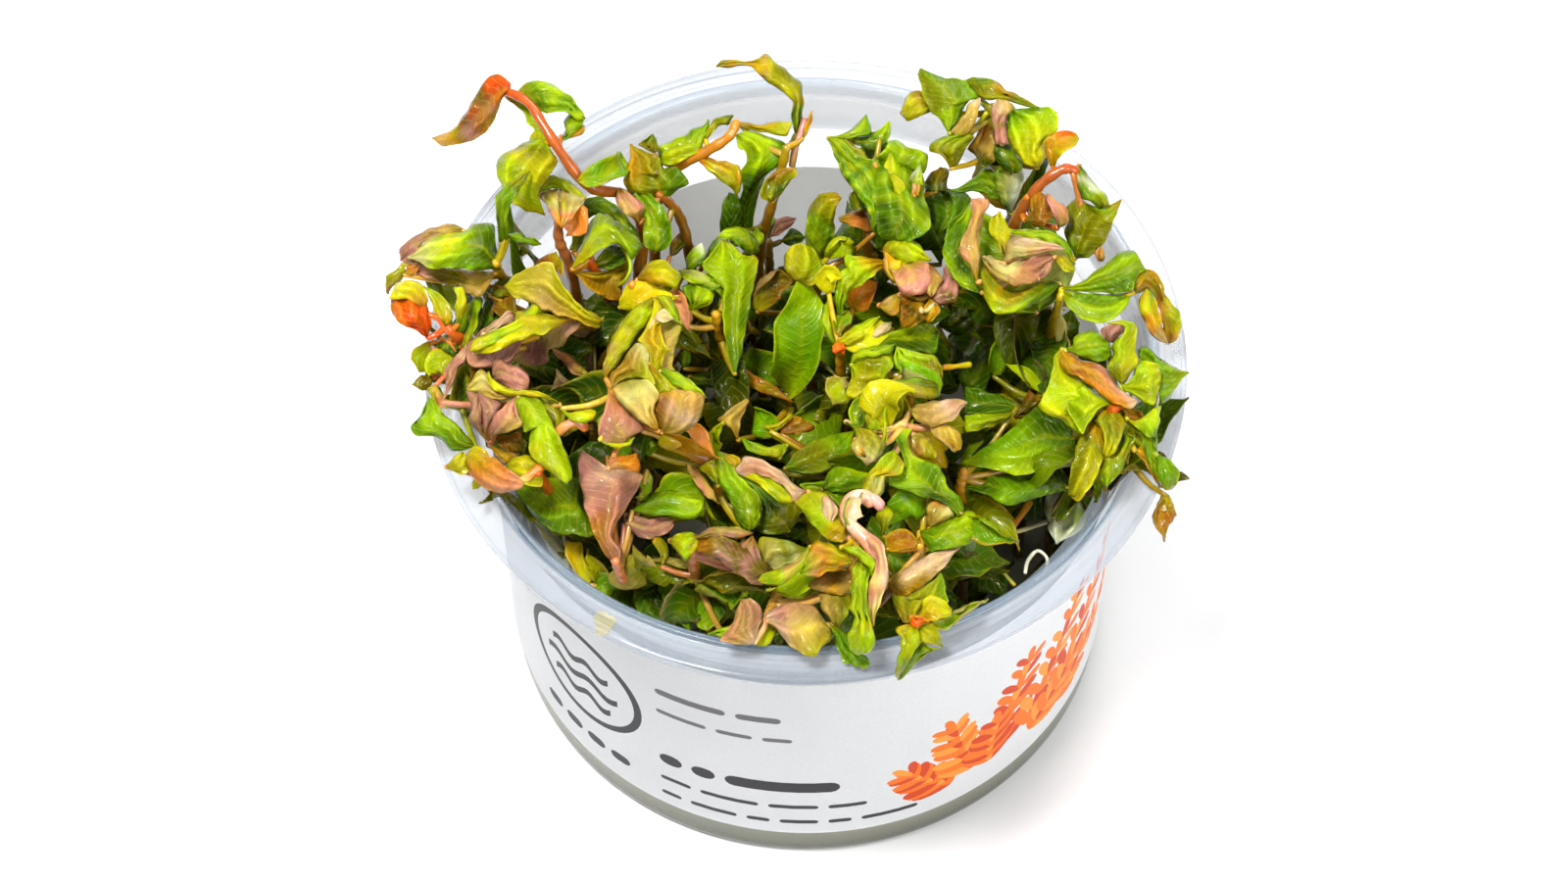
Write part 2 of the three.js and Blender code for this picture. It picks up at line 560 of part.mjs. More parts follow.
function clearOfCup(point, margin) {
  const radius = Math.hypot(point.x, point.y);
  const lowest = CUP_HEIGHT + margin;
  if (point.z >= lowest || radius > FLANGE_RADIUS + margin) return point;
  const aboveShoulder = point.z > SHOULDER_HEIGHT + SHOULDER_RISE + margin;
  const limit = (aboveShoulder ? COLLAR_INNER_RADIUS : BODY_RADIUS_TOP - WALL) - margin;
  if (radius <= limit) return point;
  if (radius > BEAD_RADIUS || lowest - point.z < radius - limit) {
    point.z = lowest;
    return point;
  }
  point.x *= limit / radius;
  point.y *= limit / radius;
  return point;
}

// Solids

function toSolid(geometry) {
  const plain = geometry.clone();
  plain.deleteAttribute("normal");
  plain.deleteAttribute("uv");
  const merged = mergeVertices(plain, MERGE_WITHIN);
  const solid = new wasm.Manifold(new wasm.Mesh({
    numProp: 3,
    vertProperties: new Float32Array(merged.attributes.position.array),
    triVerts: new Uint32Array(merged.index.array),
  }));
  return solid.setTolerance(JOIN_TOLERANCE);
}

function toGeometry(solid) {
  const mesh = solid.getMesh();
  const geometry = new THREE.BufferGeometry();
  geometry.setAttribute("position", new THREE.BufferAttribute(new Float32Array(mesh.vertProperties), 3));
  geometry.setIndex(new THREE.BufferAttribute(new Uint32Array(mesh.triVerts), 1));
  const flat = geometry.toNonIndexed();
  flat.computeVertexNormals();
  return flat;
}

// A lathe's profile ends on the axis or closes on itself.

function turned(profile) {
  const points = profile.map(([radius, height]) => new THREE.Vector2(radius, height));
  const geometry = new THREE.LatheGeometry(points, ROUND_STEPS);
  geometry.rotateX(Math.PI / 2);
  return geometry;
}

// A skin over rings of equal count that ends in a point at both ends.

function ringSkin(start, rings, end) {
  const count = rings[0].length;
  const points = [start, ...rings.flat(), end];
  const last = points.length - 1;
  const faces = [];
  for (let side = 0; side < count; side += 1) {
    const next = (side + 1) % count;
    faces.push(0, 1 + side, 1 + next);
    for (let ring = 0; ring < rings.length - 1; ring += 1) {
      const a = 1 + ring * count + side;
      const b = 1 + ring * count + next;
      faces.push(a, a + count, b);
      faces.push(b, a + count, b + count);
    }
    faces.push(last, last - count + next, last - count + side);
  }
  const geometry = new THREE.BufferGeometry();
  const positions = points.flatMap((point) => [point.x, point.y, point.z]);
  geometry.setAttribute("position", new THREE.BufferAttribute(new Float32Array(positions), 3));
  geometry.setIndex(faces);
  return toSolid(geometry);
}

// Stems

function stemCurve(shoot) {
  const seen = shoot.stem.map(([across, down, rise]) => seenAt(across, down, shoot.height + rise));
  const points = seen.map((point) => clearOfCup(point, STEM_ROOM));
  const low = points[0];
  const reach = Math.min(1, ROOT_REACH / Math.hypot(low.x, low.y));
  const root = new THREE.Vector3(low.x * reach, low.y * reach, ROOT_HEIGHT);
  return new THREE.CatmullRomCurve3([root, ...points]);
}

function stemSteps(curve) {
  return curve.points.length;
}

function stemSolid(curve, grow) {
  const outline = new THREE.Shape();
  const radius = STEM_RADIUS + grow;
  for (let side = 0; side < STEM_SIDES; side += 1) {
    const angle = (side / STEM_SIDES) * Math.PI * 2;
    const x = radius * Math.cos(angle);
    const y = radius * Math.sin(angle);
    if (side === 0) outline.moveTo(x, y);
    else outline.lineTo(x, y);
  }
  const steps = stemSteps(curve);
  return toSolid(new THREE.ExtrudeGeometry(outline, { extrudePath: curve, steps, bevelEnabled: false }));
}

function nearestOn(curve, point) {
  const rail = curve.getSpacedPoints(stemSteps(curve));
  rail[rail.length - 1].lerp(rail[rail.length - 2], END_MARGIN);
  let best = null;
  for (let step = 1; step < rail.length; step += 1) {
    const stretch = new THREE.Line3(rail[step - 1], rail[step]);
    const candidate = stretch.closestPointToPoint(point, true, new THREE.Vector3());
    if (!best || candidate.distanceTo(point) < best.distanceTo(point)) best = candidate;
  }
  return best;
}

// Leaves: a midrib from the stem to the tip, and a lens section that faces the viewpoint, rolled about the
// midrib and folded along it. A leaf that stands off its stem has a stalk.

function leafWidth(along, peak) {
  return Math.sin(Math.PI * along ** peak) ** FULLNESS;
}

function leafSection(centre, tangent, reach, leaf, grow) {
  const [, , roll, fold] = leaf;
  const toEye = new THREE.Vector3().subVectors(eye, centre);
  const side = new THREE.Vector3().crossVectors(tangent, toEye).normalize();
  side.applyAxisAngle(tangent, THREE.MathUtils.degToRad(roll));
  const face = new THREE.Vector3().crossVectors(side, tangent);
  const bend = THREE.MathUtils.degToRad(fold);
  const half = LEAF_THICKNESS / 2 + grow;
  const spread = (sign) => {
    const point = centre.clone();
    point.addScaledVector(side, sign * (reach + grow) * Math.cos(bend));
    point.addScaledVector(face, (reach + grow) * Math.sin(bend));
    return grow > 0 ? point : clearOfCup(point, GAP);
  };
  const above = centre.clone().addScaledVector(face, half);
  const below = centre.clone().addScaledVector(face, -half);
  return [spread(1), above, spread(-1), below];
}

function leafSolid(curve, leaf, height, grow) {
  const [path, halfWidth, , , peak = WIDEST_PLACE] = leaf;
  const points = path.map(([across, down, rise]) => clearOfCup(seenAt(across, down, height + rise), GAP));
  const midrib = new THREE.CatmullRomCurve3(points);
  const foot = nearestOn(curve, points[0]);
  const stalk = new THREE.Vector3().subVectors(points[0], foot);
  const rings = [];
  if (stalk.length() > SHORTEST_STALK) {
    stalk.normalize();
    rings.push(leafSection(foot, stalk, STALK_HALF_WIDTH, leaf, grow));
    rings.push(leafSection(points[0], stalk, STALK_HALF_WIDTH, leaf, grow));
    foot.addScaledVector(stalk, -STALK_HALF_WIDTH);
  }
  STATIONS.find(([widest]) => halfWidth <= widest)[1].forEach((along) => {
    const reach = halfWidth * leafWidth(along, peak);
    rings.push(leafSection(midrib.getPoint(along), midrib.getTangent(along), reach, leaf, grow));
  });
  const tip = points[points.length - 1].clone();
  tip.addScaledVector(midrib.getTangent(1), grow);
  return ringSkin(foot, rings, tip);
}

function joined(solids) {
  return solids.reduce((whole, solid) => whole.add(solid));
}

function boxesMeet(one, other) {
  const a = one.boundingBox();
  const b = other.boundingBox();
  return [0, 1, 2].every((axis) => a.min[axis] < b.max[axis] && b.min[axis] < a.max[axis]);
}

function without(solid, others) {
  const near = others.filter((other) => boxesMeet(solid, other));
  return near.reduce((rest, other) => rest.subtract(other), solid);
}

function lowestPiece(solid) {
  const pieces = solid.decompose();
  return pieces.reduce((low, piece) => (piece.boundingBox().min[2] < low.boundingBox().min[2] ? piece : low));
}

// The cup's outline, from the middle of its base, up its outside, over the rim and down its inside

const cupProfile = [
  [0, 0],
  [BASE_RADIUS, 0],
  [BASE_CORNER_RADIUS, BASE_CORNER_HEIGHT],
  [BODY_RADIUS_BASE, BASE_EDGE_HEIGHT],
  [BODY_RADIUS_TOP, BODY_TOP_HEIGHT],
  [COLLAR_INNER_RADIUS + WALL, COLLAR_FOOT_HEIGHT],
  [COLLAR_TOP_RADIUS, COLLAR_TOP_HEIGHT],
  [FLANGE_ROOT_RADIUS, FLANGE_TOP - FLANGE_THICKNESS],
  [LIP_INNER_RADIUS, FLANGE_TOP - FLANGE_THICKNESS],
  [LIP_TIP_INNER_RADIUS, FLANGE_TOP - LIP_DEPTH],
  [LIP_TIP_RADIUS, FLANGE_TOP - LIP_DEPTH],
  [FLANGE_RADIUS, FLANGE_TOP - FLANGE_RIM_DROP],
  [BEAD_RADIUS + BEAD_FOOT_OUT, FLANGE_TOP],
  [BEAD_RADIUS + BEAD_EDGE_OUT, CUP_HEIGHT - BEAD_EDGE_DROP],
  [BEAD_RADIUS, CUP_HEIGHT],
  ...BEAD_INNER_STEPS.map(([inward, down]) => [BEAD_RADIUS - inward, CUP_HEIGHT - down]),
  [COLLAR_INNER_RADIUS, COLLAR_INNER_FOOT_HEIGHT],
  [BODY_RADIUS_TOP - WALL, SHOULDER_HEIGHT],
  [BODY_RADIUS_BASE - WALL, BASE_EDGE_INNER_HEIGHT],
  [BASE_INNER_RADIUS, BASE_THICKNESS],
  [0, BASE_THICKNESS],
];

function bodyRadius(height) {
  const share = (height - BASE_EDGE_HEIGHT) / (BODY_TOP_HEIGHT - BASE_EDGE_HEIGHT);
  return THREE.MathUtils.lerp(BODY_RADIUS_BASE, BODY_RADIUS_TOP, share);
}

const labelInner = (height) => bodyRadius(height) + LABEL_GAP;
const labelOuter = (height) => labelInner(height) + LABEL_THICKNESS;

const labelProfile = [
  [labelInner(LABEL_BOTTOM), LABEL_BOTTOM],
  [labelOuter(LABEL_BOTTOM), LABEL_BOTTOM],
  [labelOuter(LABEL_TOP), LABEL_TOP],
  [labelInner(LABEL_TOP), LABEL_TOP],
  [labelInner(LABEL_BOTTOM), LABEL_BOTTOM],
];

const mediumRadius = BODY_RADIUS_BASE - WALL - GAP;
const mediumTopRadius = bodyRadius(MEDIUM_TOP + MEDIUM_CREEP) - WALL - GAP;

const mediumProfile = [
  [0, BASE_THICKNESS + GAP],
  [MEDIUM_BASE_RADIUS, BASE_THICKNESS + GAP],
  [mediumRadius, MEDIUM_EDGE_HEIGHT],
  [mediumTopRadius, MEDIUM_TOP + MEDIUM_CREEP],
  [mediumTopRadius - MEDIUM_CREEP_WIDTH, MEDIUM_TOP],
  [0, MEDIUM_TOP],
];

// The plants, cut where they would pass through each other

const stemCurves = SHOOTS.map(stemCurve);
const stems = stemCurves.map((curve) => stemSolid(curve, 0));
const stemRooms = stemCurves.map((curve) => stemSolid(curve, GAP));

function leavesOf(index, grow) {
  const shoot = SHOOTS[index];
  return shoot.leaves.map((leaf) => leafSolid(stemCurves[index], leaf, shoot.height, grow));
}

const cupSolid = toSolid(turned(cupProfile));
const plantSolids = [];
const leafRooms = [];
SHOOTS.forEach((shoot, index) => {
  const otherStems = stemRooms.filter((room, other) => other !== index);
  const leaves = joined(leavesOf(index, 0));
  const trimmed = without(leaves, [...otherStems, ...leafRooms.flat()]);
  plantSolids.push(lowestPiece(stems[index].add(trimmed)));
  leafRooms.push(leavesOf(index, GAP));
});

const medium = without(toSolid(turned(mediumProfile)), stemRooms);

// The model: the colour, roughness and opacity of the cup, label, medium and plants

const CUP_LOOK = { color: 0xe2e6ea, roughness: 0.15, opacity: 0.45 };
const LABEL_LOOK = { color: 0xeef0f2, roughness: 0.5, opacity: 1 };
const MEDIUM_LOOK = { color: 0x8a8668, roughness: 0.35, opacity: 1 };
const PLANT_ROUGHNESS = 0.4;

const plant = new THREE.Group();

function addPart(name, geometry, look) {
  const transparent = look.opacity < 1;
  const material = new THREE.MeshStandardMaterial({ ...look, metalness: 0, transparent });
  const mesh = new THREE.Mesh(geometry, material);
  mesh.name = name;
  plant.add(mesh);
}

addPart("cup", toGeometry(cupSolid), CUP_LOOK);
addPart("label", turned(labelProfile), LABEL_LOOK);
addPart("growth_medium", toGeometry(medium), MEDIUM_LOOK);
SHOOTS.forEach((shoot, index) => {
  const look = { color: TINTS[shoot.tint], roughness: PLANT_ROUGHNESS, opacity: 1 };
  addPart(shoot.name, toGeometry(plantSolids[index]), look);
});

export default plant;
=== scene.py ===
import math

import bpy
import numpy as np
from mathutils import Matrix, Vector
from mathutils.geometry import delaunay_2d_cdt


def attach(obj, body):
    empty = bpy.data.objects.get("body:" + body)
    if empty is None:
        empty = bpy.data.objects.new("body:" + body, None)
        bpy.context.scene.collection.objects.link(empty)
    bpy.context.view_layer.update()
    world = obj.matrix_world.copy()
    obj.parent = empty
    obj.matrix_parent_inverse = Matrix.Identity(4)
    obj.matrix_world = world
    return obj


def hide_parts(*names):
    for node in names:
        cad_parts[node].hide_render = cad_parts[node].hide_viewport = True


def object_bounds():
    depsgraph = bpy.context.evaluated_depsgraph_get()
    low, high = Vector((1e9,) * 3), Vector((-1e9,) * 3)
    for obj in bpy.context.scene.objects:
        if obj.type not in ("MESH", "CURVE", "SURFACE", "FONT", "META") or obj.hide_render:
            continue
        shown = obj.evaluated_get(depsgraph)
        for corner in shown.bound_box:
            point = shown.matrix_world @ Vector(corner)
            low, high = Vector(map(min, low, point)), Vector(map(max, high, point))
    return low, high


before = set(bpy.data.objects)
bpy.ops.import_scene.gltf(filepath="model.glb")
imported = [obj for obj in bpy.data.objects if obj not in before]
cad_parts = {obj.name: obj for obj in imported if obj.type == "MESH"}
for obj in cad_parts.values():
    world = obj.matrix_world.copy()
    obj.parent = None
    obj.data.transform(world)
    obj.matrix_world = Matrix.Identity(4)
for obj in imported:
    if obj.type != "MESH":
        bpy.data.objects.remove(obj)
cad_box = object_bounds()

# Sizes in millimetres, as in the construction

MM = 0.001
CUP_HEIGHT = 65
WALL = 0.8
BASE_RADIUS = 43.9
BASE_THICKNESS = 1
BASE_INNER_RADIUS = 43
BASE_CORNER_RADIUS = 44.5
BASE_CORNER_HEIGHT = 0.6
BASE_HOLLOW = 0.5
BASE_HOLLOW_INWARD = 4
BASE_FOOT_WIDTH = 3
BASE_EDGE_HEIGHT = 1.8
BASE_EDGE_INNER_HEIGHT = 2
BODY_RADIUS_BASE = 44.7
BODY_RADIUS_TOP = 44.2
BODY_TOP_HEIGHT = 55
SHOULDER_HEIGHT = 55.6
SHOULDER_RISE = 1
COLLAR_FOOT_HEIGHT = 56.2
COLLAR_INNER_FOOT_HEIGHT = 56.8
COLLAR_INNER_RADIUS = 45.8
COLLAR_TOP_RADIUS = 47.6
COLLAR_TOP_HEIGHT = 62.4
BEAD_RADIUS = 47.8
BEAD_EDGE_OUT = 0.6
BEAD_EDGE_DROP = 0.1
BEAD_FOOT_OUT = 0.9
BEAD_INNER_STEPS = [(0.5, 0.5), (0.6, 2.2), (1, 3.4)]
FLANGE_RADIUS = 52.5
FLANGE_TOP = 64.5
FLANGE_RIM_DROP = 0.3
FLANGE_RIM_INSET = 0.4
FLANGE_RIM_FALL = 0.1
FLANGE_THICKNESS = 0.9
FLANGE_ROOT_RADIUS = 48.2
LIP_DEPTH = 1.7
LIP_INNER_RADIUS = 51.7
LIP_TIP_INNER_RADIUS = 51.8
LIP_TIP_RADIUS = 52.4
LABEL_BOTTOM = 6.8
LABEL_TOP = 49.1
LABEL_THICKNESS = 0.2
LABEL_GAP = 0.15
MEDIUM_TOP = 13.2
MEDIUM_BASE_RADIUS = 42.6
MEDIUM_EDGE_HEIGHT = 2.6
MEDIUM_CREEP = 0.6
MEDIUM_CREEP_WIDTH = 1.1
GAP = 0.3
ROUND_STEPS = 160
STEM_RADIUS = 0.8
ROOT_HEIGHT = 6.6
ROOT_REACH = 37
WIDEST_PLACE = 0.85
FULLNESS = 0.75
LEAF_SKIN = 0.3
WIDER = 1.25
LONGER = 0.3
NARROW = 0.32
CRISPNESS = 0.45
MARGIN_WAVER = 0.7
BLADE_STEP = 0.42
BLADE_RELIEF = 0.6
BLADE_ROWS = (8, 44)
BLADE_COLUMNS = (6, 40)
BLADE_BRIGHTNESS = (0.5, 0.65)
RIDGE_SHARE = 0.1
CREASE_SHARE = 0.36
WRINKLE_SHARE = 0.07
SWELL_SHARE = 0.2
ARCH_SHARE = 0.7
LEAF_ROWS = (9, 34)
LEAF_HALF_COLUMNS = (3, 9)
LEAF_STEP = 0.55
LOW_LEAF_STEP = 1.1
MIDRIB_STEPS = 60
MARGIN_STEPS = 200
STEM_STEPS = 36
STEM_FOOT_RADIUS = 0.94
STEM_TAPER = 0.3
STEM_NODES = 9
NODE_SWELLING = 0.1
STALK_STEPS = 9
STALK_RADII = (0.55, 0.36)
STALK_CLEARANCE = 0.9
STALK_SAG = 0.12
LONGEST_BARE_GAP = 0.8
LOW_LEAF_LEVELS = 5
LOW_LEAF_CLEARANCE = 1.2
LOW_LEAF_MEDIUM_GAP = 4
LOW_LEAF_TINTS = ("deep", "green", "deep", "green", "deep", "olive")
FIRST_SEED = 500
CORNER_SHARE = 0.3
CORNER_STEPS = 3
LONGEST_CORNER_LEG = 1.6
STEM_TINTS = {
    "shoot_far_left_arch": "ember", "shoot_pale_stem": "salmon", "shoot_top_right_arch": "ember",
    "shoot_orange_left": "ember", "shoot_olive_tent": "rust", "shoot_upper_left": "ember",
}
BARE_ABOVE = {
    "shoot_far_left_arch": 45, "shoot_left_pair": 50, "shoot_upper_left": 52, "shoot_olive_tent": 48,
    "shoot_orange_arch": 45, "shoot_back_drape": 48, "shoot_pale_stem": 50,
}

# The box that leaves stay in

BOX_LOW, BOX_HIGH = (np.array(corner, float) / MM + inward for corner, inward in zip(cad_box, (0.3, -0.3)))

# The viewpoint: a frame of 1600 by 900, its focal length in pixels, and the eye's distance and angles.
# Plant points have their heights above PLANT_DATUM.

PLANT_DATUM = 1.6
FRAME_WIDTH = 1600
VIEW_ACROSS = 800
VIEW_DOWN = 450
VIEW_LENGTH = 3266
VIEW_DISTANCE = 494
SEEN_MM = VIEW_DISTANCE / VIEW_LENGTH
VIEW_ELEVATION = math.radians(58.7)
VIEW_TILT = math.radians(-2.6)
VIEW_PAN = math.radians(-0.71)
VIEW_ROLL = math.radians(-0.98)


def unit(vectors):
    vectors = np.asarray(vectors, float)
    return vectors / np.maximum(np.linalg.norm(vectors, axis=-1, keepdims=True), 1e-9)


EYE = np.array([0, -math.cos(VIEW_ELEVATION), math.sin(VIEW_ELEVATION)]) * VIEW_DISTANCE + [0, 0, PLANT_DATUM]
LOOK_DOWN = -(VIEW_ELEVATION + VIEW_TILT)
AHEAD = np.array([
    math.sin(VIEW_PAN) * math.cos(LOOK_DOWN),
    math.cos(VIEW_PAN) * math.cos(LOOK_DOWN),
    math.sin(LOOK_DOWN),
])
LEVEL = unit(np.cross(AHEAD, [0, 0, 1]))
UPRIGHT = np.cross(LEVEL, AHEAD)
RIGHT = math.cos(VIEW_ROLL) * LEVEL + math.sin(VIEW_ROLL) * UPRIGHT
UP = math.cos(VIEW_ROLL) * UPRIGHT - math.sin(VIEW_ROLL) * LEVEL

# Tints as seen, in 8-bit display values, and the tints that each runs into

TINTS = {
    "lime": (176, 206, 0), "green": (104, 152, 0), "deep": (52, 90, 0), "olive": (148, 146, 0),
    "yellow": (212, 204, 8), "amber": (208, 150, 8), "orange": (228, 128, 26), "ember": (234, 76, 10),
    "rust": (160, 92, 14), "brown": (104, 78, 8), "tan": (210, 172, 84), "cream": (232, 222, 140),
    "blush": (238, 196, 166), "salmon": (234, 154, 118), "rose": (206, 134, 120), "mauve": (178, 118, 112),
    "pink": (230, 150, 146), "pale": (226, 230, 206),
}
KIN = {
    "lime": ["yellow", "green", "lime", "olive"], "green": ["lime", "deep", "olive", "green"],
    "deep": ["green", "olive", "deep"], "olive": ["lime", "green", "amber", "yellow"],
    "yellow": ["lime", "amber", "olive"], "amber": ["yellow", "olive", "orange"],
    "orange": ["amber", "salmon", "yellow"], "ember": ["orange", "rust"],
    "rust": ["amber", "olive", "orange"], "brown": ["olive", "rust", "deep"],
    "tan": ["olive", "yellow", "rose", "amber"], "cream": ["yellow", "lime", "tan"],
    "blush": ["salmon", "yellow", "tan"], "salmon": ["orange", "rose", "yellow"],
    "rose": ["tan", "olive", "mauve"], "mauve": ["rose", "olive", "tan"], "pink": ["rose", "salmon"],
    "pale": ["cream", "pale"],
}
PINKISH = {"tan", "cream", "blush", "salmon", "rose", "mauve", "pink"}

# Each shoot: the height of its crown, its stem from the lowest seen point up, and its blades, strands and
# leaves. A point on a stem, strand or midrib is across, down and rise above the crown. A blade is its two
# margins from foot to tip, its rise at foot, middle and tip, its lean, its arch and its tints. A strand is
# its points, radius and tints. A leaf is its midrib, half width, roll, fold, tint and, where it is widest
# nearer the tip, the exponent that puts its widest place there.

